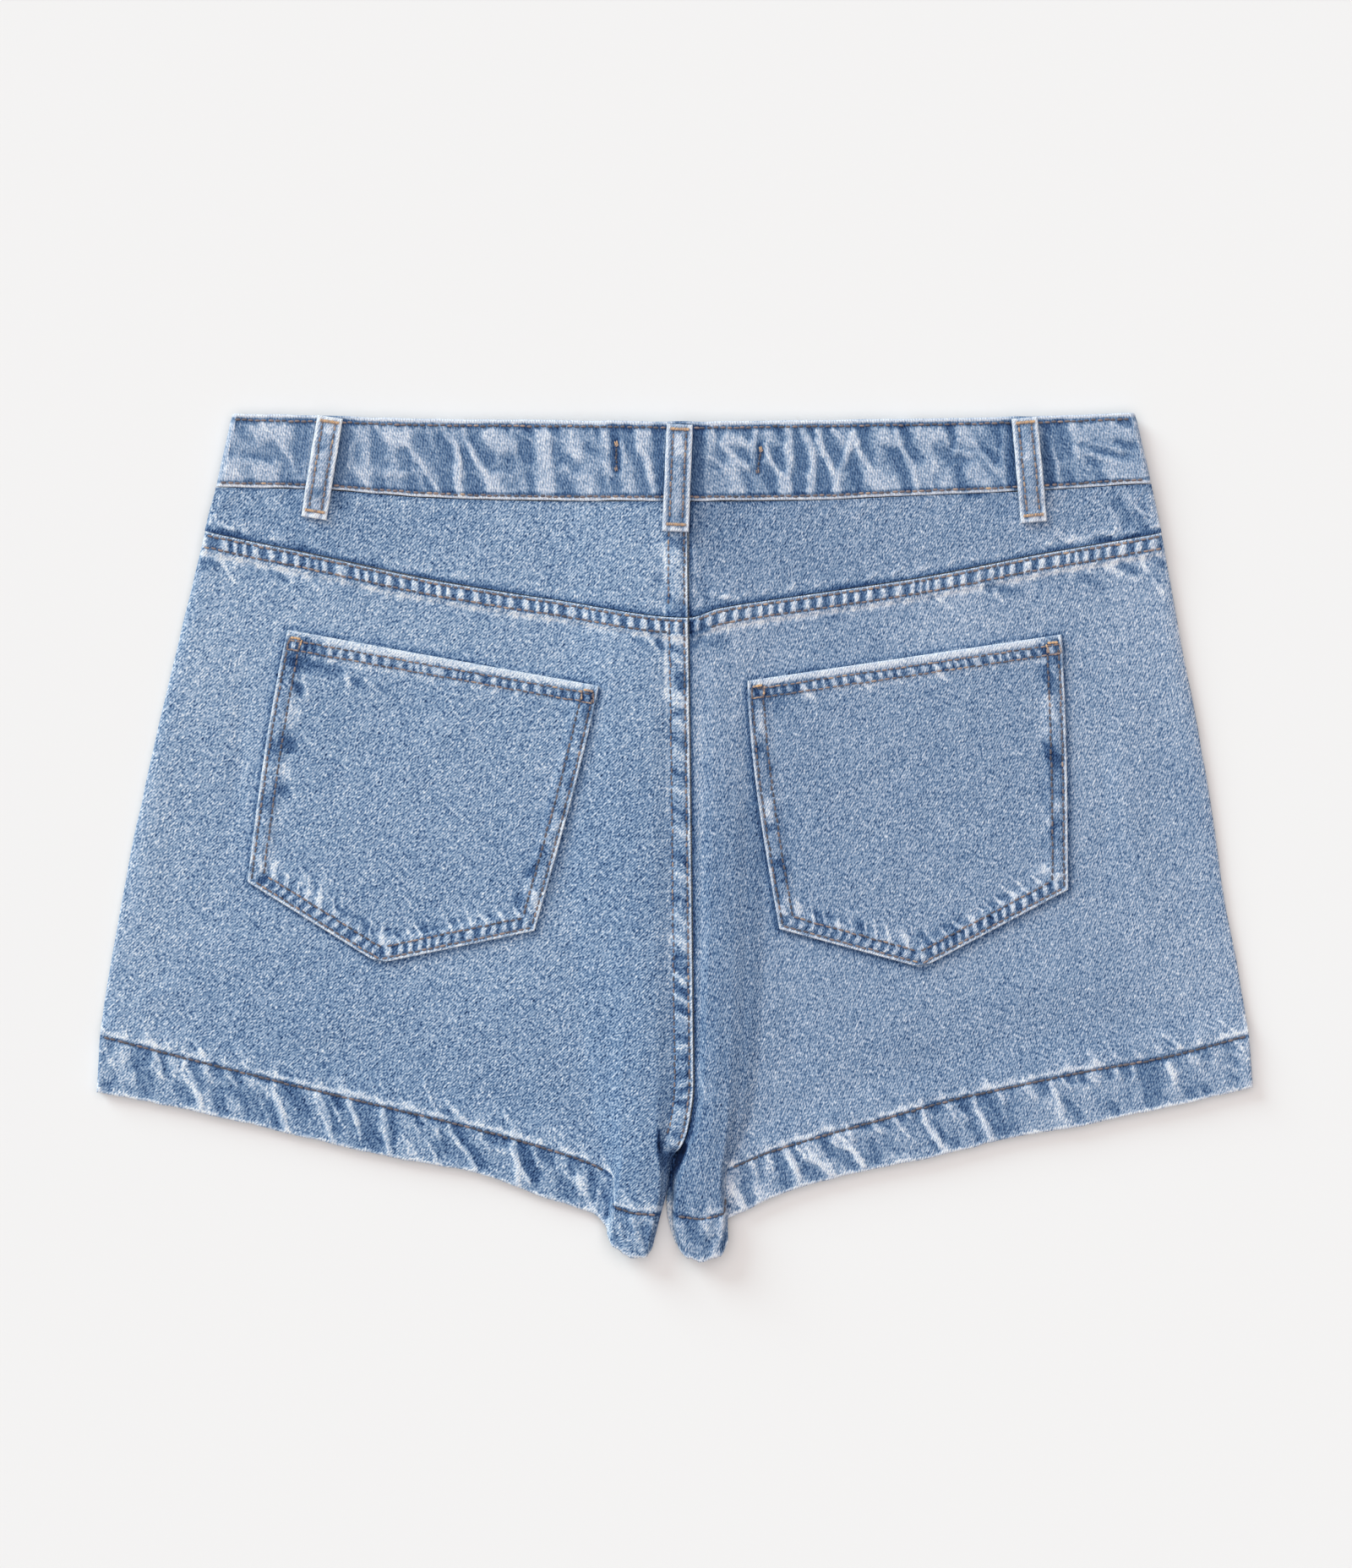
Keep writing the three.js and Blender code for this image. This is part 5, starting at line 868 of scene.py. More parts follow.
# ---------------------------------------------------------------- the front
def front_panel(side):
    left = side == "left"
    hem, inseam = (HEM_LEFT, FRONT_HEM_LEFT) if left else (HEM_RIGHT, FRONT_HEM_RIGHT)
    inner_hem, turn = (-13.2, -34) if left else (0.6, 27)

    def hem_y(x, what):
        past = x > turn if left else x < turn
        tail = follow(inseam, "x", "edge", x) + (16 if what == "stitch" else 0)
        return np.where(past, tail, follow(hem, "x", what, x) + (0.9 if what == "edge" else -0.8))

    near = [0, 0.15, 0.4, 0.8, 1.4, 2.2]
    cols = [d / 280 for d in near] + steps(4 / 280, 1 - 4 / 280, 3.0 / 280) + [1 - d / 280 for d in near[::-1]]
    w = [0, 0.002, 0.006] + steps(0.015, 1, 0.0115) + [1 + d / 26 for d in np.arange(1.4, 22, 2.0)] + [2 - d / 26 for d in (2.8, 1.6, 0.9, 0.5, 0.22, 0.08, 0)]
    u, w = np.meshgrid(np.array(cols), np.array(w))
    x_top = lerp(follow(SIDE, "y", side, 174.0) + (1 if left else -1), 4.0 if left else -2.0, u)
    x_hem = lerp(-287.2 if left else 287.2, inner_hem, u)
    top, stitch, edge = follow(ACROSS, "x", "band", x_top) - 0.4, hem_y(x_hem, "stitch"), hem_y(x_hem, "edge")
    y = np.where(w <= 1, lerp(top, stitch, w), lerp(stitch, edge, w - 1))
    x = lerp(follow(SIDE, "y", side, y) + (0.4 if left else -0.4), follow(FRONT_INNER, "y", side, y), u)
    lap = 0 if left else follow(FRONT_INNER, "y", "lap", y) * smooth((24 - x) / 18)
    z = follow(REST, "y", "front", y) + lap
    d_side, d_in = u * 280, (1 - u) * 280
    d_top = np.where(w <= 1, w * (top - stitch), 300)
    d_stitch = np.where(w <= 1, -(1 - w) * (top - stitch), (w - 1) * (stitch - edge))
    d_edge = np.where(w > 1, (2 - w) * (stitch - edge), 300)
    n, m = Noise(71 if left else 72), Noise(81 if left else 82)
    ch, cw = creases(CREASES_FRONT_LEFT if left else CREASES_FRONT_RIGHT, x, y)
    g_hem = pucker(x, d_stitch, 8.5, -0.4, m, 1.2)
    g_top = pucker(x, d_top, 9.0, 0.4, n)
    in_hem = smooth((d_stitch + 0.5) / 1.5)
    # the underside lies flat, so its unevenness only lifts it off the surface
    up = np.clip(ch, 0, 1) + 0.22 * smooth(g_hem) * in_hem + 0.25 * smooth(g_top) * bell(d_top - 5, 6) + 0.25 * smooth(n.deep(x / 38.0, y / 44.0, 2) * 1.5)
    up += 0.45 * bell(d_stitch, 1.0)
    worn = cw + 0.4 * smooth(g_hem) * in_hem + bell(d_edge, 1.9) * 0.9 + 0.35 * smooth(g_top) * bell(d_top - 5, 6) + 0.3 * bell(d_side, 3)
    worn += 0.30 * smooth(n.deep(x / 40.0, y / 50.0, 2) * 2)
    # darker in the gathers' hollows, and at the hem's stitches partly blue kept in the groove and partly painted shade
    dark = 0.45 * smooth(-g_hem) * in_hem * (1 - bell(d_edge, 3)) + 0.5 * bell(d_stitch - 0.8, 1.1) + 0.3 * smooth(-g_top) * bell(d_top - 4, 5)
    # painted shade along the inner edge, which shows only under the crotch
    dark += 0.6 * bell(d_in - (0 if left else 0), 1.6)
    thick = CLOTH + TURN * smooth((d_stitch - 0.5) / 1.0)
    gap = np.minimum(np.minimum(d_side, d_in), d_edge)
    rd = edge_round(gap, 0.45 * thick)
    # the hem is turned up on the inside, so the outer face stays level
    up = np.minimum(up, 0.75) * smooth(gap / 3)
    low = np.stack([x, y, z + up + rd], -1)
    high = np.stack([x, y, z + np.maximum(up, 0) * 0.35 + thick - rd], -1)
    high[..., 2] = np.maximum(high[..., 2], low[..., 2] + 0.25)
    high[..., 2] = np.minimum(high[..., 2], z + thick + 0.12 - rd)
    look_out = np.stack([worn, dark, 0.02 + 0.05 * n.deep(x / 60, y / 60, 2)], -1)
    # beneath the crotch the front's inside is in deep shade
    shade = bell(x, 15) * smooth((-140 - y) / 8) * smooth((y + 184) / 12)
    dark += 0.8 * shade
    look_out[..., 1] = dark
    depth = (0.3 + 1.7 * smooth((x + 3) / 3)) if left else 1.9
    look_in = np.stack([0.2 * (1 - shade), depth * shade, 0.3 * (1 - shade)], -1)
    return shell("cloth_front_" + side, low, high, cloth_xy(low, 47 if left else 60, 2500 if left else 3100), look_out, look_in)


# ---------------------------------------------------------------- the waistband
STUDS = [(-29.3, 196.8, -29.3, 182.1), (42.5, 194.2, 40.9, 181.2)]  # two short bars of thread through the strip


def band_levels():
    h = 37.0
    near = np.array([0, 0.12, 0.3, 0.6, 1.0, 1.5, 2.1, 2.8]) / h
    return np.concatenate([near, np.arange(3.7, h - 3.2, 0.95) / h, 1 - near[::-1]])


def band_pose(t, station):
    """Inner and outer x, y, z of the strip at level t, and what lies on the back there."""
    kind, q = station
    yy = lerp(175.0, 210.5, t)
    left, right = follow(SIDE, "y", "left", yy), follow(SIDE, "y", "right", yy)
    middle = (FRONT_BAND_Z + BACK_BAND_Z + BAND) / 2
    r_out = (BACK_BAND_Z + BAND - FRONT_BAND_Z) / 2
    r_in = r_out - BAND
    if kind in ("front_under", "back", "front_over"):
        x = lerp(left, right, (q + 220) / 448)
        y = lerp(follow(ACROSS, "x", "band", x) + 0.15, follow(ACROSS, "x", "top", x) - (0 if kind == "back" else 0.5), t)
        if kind == "back":
            lo = BACK_BAND_Z + LAP_LIFT * smooth(1 - np.abs(x - LAP_X) / (LAP_REACH + 14))
            return (x, y, lo), (x, y, lo + BAND)
        lo = FRONT_BAND_Z + ((LAP_Z - FRONT_BAND_Z) * smooth((26 - x) / 20) if kind == "front_under" else 0)
        return (x, y, lo + BAND), (x, y, lo)
    if kind == "turn_right":
        c = right - r_out
        co, si = math.cos(q), math.sin(q)
    else:
        c = left + r_out
        co, si = math.cos(q), math.sin(q)
    y = lerp(follow(ACROSS, "x", "band", c) + 0.15, follow(ACROSS, "x", "top", c) - (0.5 if si < 0 else 0), t)
    return (c + r_in * co, y, middle + r_in * si), (c + r_out * co, y, middle + r_out * si)


def waistband():
    stations = [("front_under", q) for q in [-34, -33.85, -33.6, -33.2, -32.6, -31.8] + steps(-30, 200, 2.0) + [208, 215, 220]]
    stations += [("turn_right", a) for a in np.radians(np.linspace(-90, 90, 17))]
    stations += [("back", q) for q in steps(225, -217, 0.86)]
    stations += [("turn_left", a) for a in np.radians(np.linspace(90, 270, 17))]
    stations += [("front_over", q) for q in [-212, -206] + steps(-200, 0, 2.0) + [1.4, 2.2, 2.9, 3.4, 3.7, 3.88, 4]]
    t = band_levels()
    cells = [band_pose(t, s) for s in stations]
    inner = np.stack([np.stack(np.broadcast_arrays(*c[0]), -1) for c in cells], 1)
    outer = np.stack([np.stack(np.broadcast_arrays(*c[1]), -1) for c in cells], 1)
    # the way along the strip
    d = np.hypot(np.diff(outer[..., 0], axis=1), np.diff(outer[..., 2], axis=1))
    s = np.concatenate([np.zeros_like(d[:, :1]), np.cumsum(d, axis=1)], axis=1)
    back = np.array([k == "back" for k, _ in stations])[None, :] * np.ones_like(s)
    turn = np.array([k.startswith("turn") for k, _ in stations])[None, :] * np.ones_like(s)
    h = 37.0 * t[:, None] * np.ones_like(s)
    x = outer[..., 0]
    n, m = Noise(91), Noise(92)
    # what shows follows the table; elsewhere upright and leaning gathers of the same kind
    shown = back > 0
    mw, md, mh = lay(BAND_MARKS, x, outer[..., 1], n, shown)
    vein = np.abs(n.deep((x + 0.28 * h) / 8.5, h / 30.0, 3) + 0.35 * m.deep((x - 0.45 * h) / 13.0, h / 26.0, 2))
    ridge = smooth(1 - vein * 3.2)
    blot = m.deep((x + 0.2 * h) / 6.5 + 30, h / 11.0, 2)
    puff = np.sin(np.pi * np.clip(h / 37, 0, 1)) ** 0.5
    free = 1 - 0.8 * np.clip(mw + md, 0, 1)
    hz = np.where(shown, 1.25 * mh + 0.16 * blot * free, 0.5 * ridge) * (0.45 + 0.55 * puff)
    hz -= 0.42 * bell(h - 1.6, 0.9) + 0.42 * bell(37 - h - 2.2, 0.9)
    near_low, near_top = bars(x, 5.5, m, 3), bars(x, 5.5, n, 5)
    patch = smooth(m.deep(x / 34.0 + 4, h / 50.0, 2) * 1.8 + 0.25)
    worn = np.where(shown, 0.74 * mw + free * (0.26 * smooth(1.6 * blot + 0.1) + 0.12), 0.7 * ridge * (0.35 + 0.65 * patch) * (0.4 + 0.6 * puff) + 0.15)
    dark = np.where(shown, 0.70 * md + free * 0.28 * smooth(-1.6 * blot), 0.4 * smooth(-1.6 * blot))
    worn += 1.3 * bell(h, 1.2) * (0.9 + 0.3 * m(x / 4.0)) + 1.7 * bell(37 - h - 0.7, 0.8) * (0.95 + 0.25 * n(x / 5.0))
    worn += 0.2 * near_low * bell(h - 4.0, 1.6) + 0.15 * near_top * bell(37 - h - 4.5, 1.6)
    # darker at the two stitch rows (partly blue kept in the dents, partly painted shade in the grooves), a thin painted
    # shadow line along the top rim, and blue kept in the gathers under the top row
    dark += 0.8 * bell(h - 2.6, 1.0) + (0.85 + 0.3 * m(x / 4.5, 3.0)) * bell(37 - h - 3.0, 1.25) + 0.2 * bell(37 - h, 0.4) + 0.3 * (1 - near_top) * bell(37 - h - 4.2, 1.5) * shown
    # under each loop the cloth has kept its colour
    for cx, lean in ((-174.5, 0.22), (1.3, 0.06), (175.2, -0.13)):
        side = np.abs(x - (cx + lean * (h - 20)))
        kept = bell(side, 8.0) * back
        worn *= 1 - 0.85 * kept
        dark += 0.45 * bell(side, 8.5) * back
    # and it is drawn in and dark round the two short bars of thread
    for row in STUDS:
        d_bar, _, _ = along([np.array(row[:2]), np.array(row[2:])], x, outer[..., 1])
        worn *= 1 - 0.8 * bell(d_bar, 1.6) * back
        dark += 0.95 * bell(d_bar, 1.7) * back
        hz -= 0.5 * bell(d_bar, 1.5) * back
    worn += 0.30 * turn
    tone = -0.012 - 0.022 * np.tanh(x / 60) + 0.04 * m.deep(x / 50, h / 60, 2)
    # the back may puff up, the front lies on its loops
    centre = (inner + outer) / 2
    nrm = outer - inner
    nrm /= np.linalg.norm(nrm, axis=-1, keepdims=True)
    lift = np.where(back > 0, hz, np.clip(0.5 * hz, -0.35, 0.12))
    lift += drape(x, outer[..., 1]) * back * smooth((228 - np.abs(x)) / 12)
    gap = np.minimum(h, 37 - h)
    ends = np.minimum(s, s[:, -1:] - s)
    gap = np.minimum(gap, ends)
    rd = edge_round(gap, 0.46 * BAND)
    outer = outer + nrm * (lift - rd)[..., None]
    inner = inner + nrm * (rd + np.where(back > 0, drape(x, centre[..., 1]) * smooth((228 - np.abs(x)) / 12), 0))[..., None]
    # the edges' line is a little uneven
    wave = 0.25 * n(x / 11.0, 7.0) + 0.10 * m(x / 4.3, 1.0)
    for grid in (outer, inner):
        grid[..., 1] += wave * (bell(h, 4) + bell(37 - h, 4))
    # seen on the back the strip runs towards -x, and its twill leans the way it does on the panels
    a = np.radians(58.5)
    cloth = np.stack([-s * np.cos(a) + h * np.sin(a) + 3900, s * np.sin(a) + h * np.cos(a), 0 * s], -1)
    ob = shell("cloth_waistband", outer, inner, cloth, np.stack([worn, dark, tone], -1), np.stack([0.25 + 0 * x, 0.1 + 0 * x, 0.1 + 0 * x], -1))
    return ob


def back_band_face(x):
    return BACK_BAND_Z + BAND + LAP_LIFT * smooth(1 - np.abs(x - LAP_X) / (LAP_REACH + 14))


# ---------------------------------------------------------------- pockets, loops, zip
def back_face(x, y):
    l, r = LEGS["left"], LEGS["right"]
    return np.where(x < 7.2, l.face(l.u_of(x, y), x, y), r.face(r.u_of(x, y), x, y)) + drape(x, y)


def pocket(side):
    c = POCKET_LEFT if side == "left" else POCKET_RIGHT
    corner = lambda k: np.array([c["x"][k], c["y"][k]])
    height = float(np.hypot(*(corner(4) - corner(0))))
    width = float(np.hypot(*(corner(1) - corner(0))))
    near = [0, 0.12, 0.3, 0.6, 1.0, 1.5, 2.1, 2.8]
    cols = [d / width for d in near] + steps(3.9 / width, 1 - 3.9 / width, 1.25 / width) + [1 - d / width for d in near[::-1]]
    rows = [d / height for d in near] + steps(3.9 / height, 1 - 3.9 / height, 1.25 / height) + [1 - d / height for d in near[::-1]]
    u, v = np.meshgrid(np.array(cols), np.array(rows))
    p = 0.5
    first = u < p
    t = np.where(first, u / p, (u - p) / (1 - p))
    # the point of the pocket is slightly rounded
    low = [np.where(first, lerp(corner(4)[i], corner(3)[i], t), lerp(corner(3)[i], corner(2)[i], t)) for i in (0, 1)]
    low[1] = low[1] + 1.6 * bell(u - p, 0.02)
    top = [lerp(corner(0)[i], corner(1)[i], u) for i in (0, 1)]
    x, y = lerp(top[0], low[0], v), lerp(top[1], low[1], v)
    dp, sp = inside_pocket(c, x + bow(c, x, y), y)
    dp = np.clip(dp, 0, 300)
    left = side == "left"
    n, m = Noise(101 if left else 102), Noise(111 if left else 112)
    d_top, s_top, _ = along([corner(0), corner(1)], x, y)
    line = pocket_line(c)
    d_other, s_other, _ = along(line[1:], x, y)  # sides and bottom
    d_low, s_low, _ = along([corner(2), corner(3), corner(4)], x, y)
    turned = smooth((10.8 - d_other) / 2.0)
    hem = smooth((POCKET_HEM + 1.2 - d_top) / 1.8)
    low_part = smooth((12 - d_low) / 4) * smooth((d_other + 3 - d_low) / 2)
    lean = 0.5 if left else -0.5
    b_low = bars(s_low + lean * 0.6 * d_low, 5.3, n)
    b_hem = bars(s_top - lean * 0.4 * d_top, 5.4, m, 2)
    blot = n.deep(s_other / 6.5, d_other / 7.0 + 20, 2)
    row = smooth((d_other - 2.1) / 1.0) * smooth((7.9 - d_other) / 1.3)
    hem_row = smooth((d_top - 4.9) / 0.8) * smooth((9.4 - d_top) / 0.8)
    up = wisps(s_low + 0 * x, d_low - 7.6, 7.0, -0.35 if left else 0.35, 15, n, 3)
    down = wisps(s_top, d_top - 9.8, 8.5, 0.3, 6, m, 8)
    mw, md, mh = lay(POCKET_MARKS_LEFT if left else POCKET_MARKS_RIGHT, x, y, m)
    hz = 0.5 * np.maximum(turned, 0) + 0.45 * hem * (1 - 0.5 * turned)
    hz -= 0.40 * bell(d_other - 1.9, 0.8) + 0.40 * bell(d_other - 7.6, 0.9)
    hz -= 0.34 * bell(d_top - 4.6, 0.8) + 0.36 * bell(d_top - 9.2, 0.9)
    hz += 0.40 * (b_low - 0.5) * row * low_part + 0.26 * blot * row * (1 - low_part) + 0.34 * (b_hem - 0.5) * hem_row
    hz += 0.05 * m.deep(x / 6.5, y / 6.5, 2) + 0.24 * n.deep(x / 31.0, y / 28.0, 2) + 0.24 * up + 0.16 * down + 0.8 * mh * (1 - 0.6 * turned)
    worn = 0.74 * b_low * row * low_part + 0.27 * smooth(1.6 * blot) * smooth((14 - d_other) / 5) * (1 - low_part) + 0.7 * b_hem * hem_row
    worn += 1.15 * bell(dp - 0.1, 1.2) * (0.85 + 0.4 * m(sp / 6.0)) + 0.30 * (1 + 0.7 * m(s_top / 3.0, 5.0)) * bell(d_top - 1.8, 1.2) + 0.12 * smooth(n.deep(x / 24.0, y / 30.0, 2) * 1.6 - 0.2)
    worn += (0.78 + 0.35 * m(s_low / 9.0, 2.0)) * up * (1 - smooth((d_low - 24) / 4)) + 0.32 * down + 0.42 * bell(d_top - 11.6, 1.7) * smooth(0.7 + m(s_top / 9.0, 4.0)) * smooth((dp - 8) / 3) + 0.85 * mw
    dark = 0.85 * (1 - b_low) * row * low_part + 0.5 * smooth(-1.6 * blot) * smooth((13 - d_other) / 5) * (1 - low_part) + 0.72 * (1 - b_hem) * hem_row
    # darker at the rows of stitches round the sides and along the hem: partly blue kept in the dents, partly painted
    # shade in the grooves
    dark += 0.42 * (1 - up) * bell(d_low - 12.0, 3.0) * smooth((dp - 9) / 2) * smooth(0.6 + n(s_low / 8.0, 1.0)) + 0.5 * bell(d_other - 2.1, 0.8) + 0.5 * bell(d_other - 7.6, 0.9)
    dark += 0.55 * bell(d_top - 4.6, 0.8) + 0.55 * bell(d_top - 9.2, 0.8) + 0.75 * md
    rub = m.deep(s_other / 8.0 + 30, d_other / 5.0, 3)
    beside = bell(d_other - 11.0, 4.2) * (1 - low_part)
    worn += 0.46 * smooth(1.9 * rub) * beside
    dark += 0.44 * smooth(-1.9 * rub) * beside
    # under the hem the cloth near both upper corners is less faded
    from_end = np.minimum(s_top, width - s_top)
    dark += 0.42 * bell(d_top - 13.5, 3.8) * smooth((28 - from_end) / 14) * (0.8 + 0.5 * m(s_top / 5.0, 7.0))
    tone = 0.035 * n.deep(x / 45.0, y / 45.0, 2) - (0.02 if left else 0.035)
    x = x + bow(c, x, y)
    z = back_face(x, y) + POCKET_LIFT
    rd = edge_round(dp, 0.46 * (CLOTH + 0.4))
    face = np.stack([x, y, z + CLOTH + hz - rd], -1)
    back = np.stack([x, y, z + 0.1 + edge_round(dp, 0.3)], -1)
    return shell("cloth_pocket_" + side, face, back, cloth_xy(face, 45 if left else 62, 4700 if left else 5300), np.stack([worn, dark, tone], -1), np.stack([0.2 + 0 * x, 0 * x, 0.3 + 0 * x], -1))


def belt_loop(l, number):
    top_y = float(follow(ACROSS, "x", "top", l["upper"])) - l["over"]
    low_y = float(follow(ACROSS, "x", "band", l["lower"])) - l["under"]
    dx, dy = l["lower"] - l["upper"], low_y - top_y
    length = math.hypot(dx, dy)
    ax, ay = -dy / length, dx / length
    near = [0, 0.1, 0.25, 0.5, 0.85, 1.3]
    wdt = l["width"]
    cols = [d / wdt - 0.5 for d in near] + steps(1.9 / wdt - 0.5, 0.5 - 1.9 / wdt, 0.6 / wdt) + [0.5 - d / wdt for d in near[::-1]]
    rows = [d / length for d in near] + steps(1.9 / length, 1 - 1.9 / length, 0.62 / length) + [1 - d / length for d in near[::-1]]
    u, v = np.meshgrid(np.array(cols), np.array(rows))
    cx, cy = lerp(l["upper"], l["lower"], v), lerp(top_y, low_y, v)
    n, m = Noise(121 + number), Noise(131 + number)
    bulge = 0.35 * n(v * length / 12.0, 0.5) + 0.2 * m(v * length / 5, 1.5)
    x = cx + ax * (u * wdt + bulge * np.sign(u) * np.abs(2 * u) ** 3 * 0.5)
    y = cy + ay * u * wdt
    d_long = (0.5 - np.abs(u)) * wdt
    d_end = np.minimum(v, 1 - v) * length
    d_edge = np.minimum(d_long, d_end)
    hz = -0.32 * bell(d_long - 3.1, 0.8) + 0.22 * bell(u * wdt, 2.0)
    g = pucker(v * length, u * wdt, 4.2, 0.5, n)
    hz += 0.12 * g * (d_long > 0.6)
    worn = 1.1 * bell(d_long - 0.4, 1.0) * (0.85 + 0.3 * n(v * length / 4)) + 0.62 * smooth(g + 0.2) * bell(u * wdt, 3.2) + 0.3 * bell(d_long - 1.9, 0.9)
    # darker beside the stitch rows, partly blue kept in the dents and partly painted shade in the grooves, and blue
    # kept in the gathers' hollows
    dark = 0.6 * bell(d_long - 3.4, 0.9) + 0.4 * smooth(-g) * bell(u * wdt, 3.0)
    worn += 0.9 * bell(d_end - 0.6, 1.4)
    # rubbed and unfaded patches follow one another down the loop
    patch = np.cos(2 * np.pi * (v * length - 10.6 - 6.5 * (number - 1)) / (22.5 + 2 * (number - 1))) + 0.5 * n(v * length / 7.0, u * 2 + 8)
    worn += 0.34 * smooth(1.5 * patch) * bell(u * wdt, 3.0)
    # the thin line just outside each stitch row is partly blue kept there, partly painted shade
    dark += 0.36 * smooth(-1.5 * patch) * bell(u * wdt, 3.6) + 0.3 * bell(d_long - 2.3, 0.7)
    tone = {"loop_back_left": 0.08, "loop_back_center": 0.0}.get(l["name"], 0.035) + 0 * x
    if l["face"] < 0:
        rd = edge_round(d_edge, 0.46 * LOOP_CLOTH)
        low = np.stack([x, y, 0 * x + rd + np.clip(-hz, 0, 0.35) * smooth(d_edge / 1.0)], -1)
        high = np.stack([x, y, 0 * x + LOOP_CLOTH - rd], -1)
        return shell("cloth_" + l["name"], low, high, cloth_xy(low, 60, 6000 + 300 * number), np.stack([worn, dark, tone], -1), np.stack([worn, dark, tone], -1))
    band_y = follow(ACROSS, "x", "band", cx)
    over = smooth((cy - band_y + 9) / 8)
    yoke_face = follow(REST, "y", "back", cy) + lap_lift(cx, cy) + (0.9 if abs(l["upper"]) < 20 else 0)
    high_face = np.maximum(np.maximum(back_band_face(cx - 6), back_band_face(cx)), back_band_face(cx + 6))
    z = lerp(yoke_face, high_face, over) + 0.75 + 1.1 * np.sin(np.pi * np.clip((v - 0.06) / 0.78, 0, 1)) + drape(x, y)
    rd = edge_round(d_edge, 0.46 * LOOP_CLOTH)
    face = np.stack([x, y, z + LOOP_CLOTH + hz - rd], -1)
    back = np.stack([x, y, z + rd], -1)
    # the loop's ends are pressed down by their tacks
    return shell("cloth_" + l["name"], face, back, cloth_xy(face, 60, 6000 + 300 * number), np.stack([worn, dark, tone], -1), np.stack([0 * x, 0 * x, tone], -1))


def zip_tape():
    x0 = -8 - 11.0
    u, yy = np.meshgrid(np.linspace(0, 1, 23), np.linspace(164, 62, 90))
    x = x0 + 22 * u
    z = follow(REST, "y", "front", yy) + 1.5 + 1.2 + 0.3
    teeth = 0.45 * bell(x + 8, 2.6) * (0.6 + 0.4 * np.sin(yy * 2 * np.pi / 2.4))
    rd = edge_round(np.minimum(np.minimum(x - x0, x0 + 22 - x), np.minimum(164 - yy, yy - 62)), 0.5)
    face = np.stack([x, yy, z + 0.9 + teeth - rd], -1)
    back = np.stack([x, yy, z + rd * 0.6], -1)
    look = np.stack([0 * x, 0.9 + 0 * x, -0.2 + 0 * x], -1)
    return shell("cloth_fly_zip", face, back, cloth_xy(face, 90, 7700), look, look)


# ---------------------------------------------------------------- threads
GRAIN = np.array([(0, 0.35), (0.16, 0.86), (0.5, 1.0), (0.84, 0.86), (1, 0.35)])
SIDES = 6


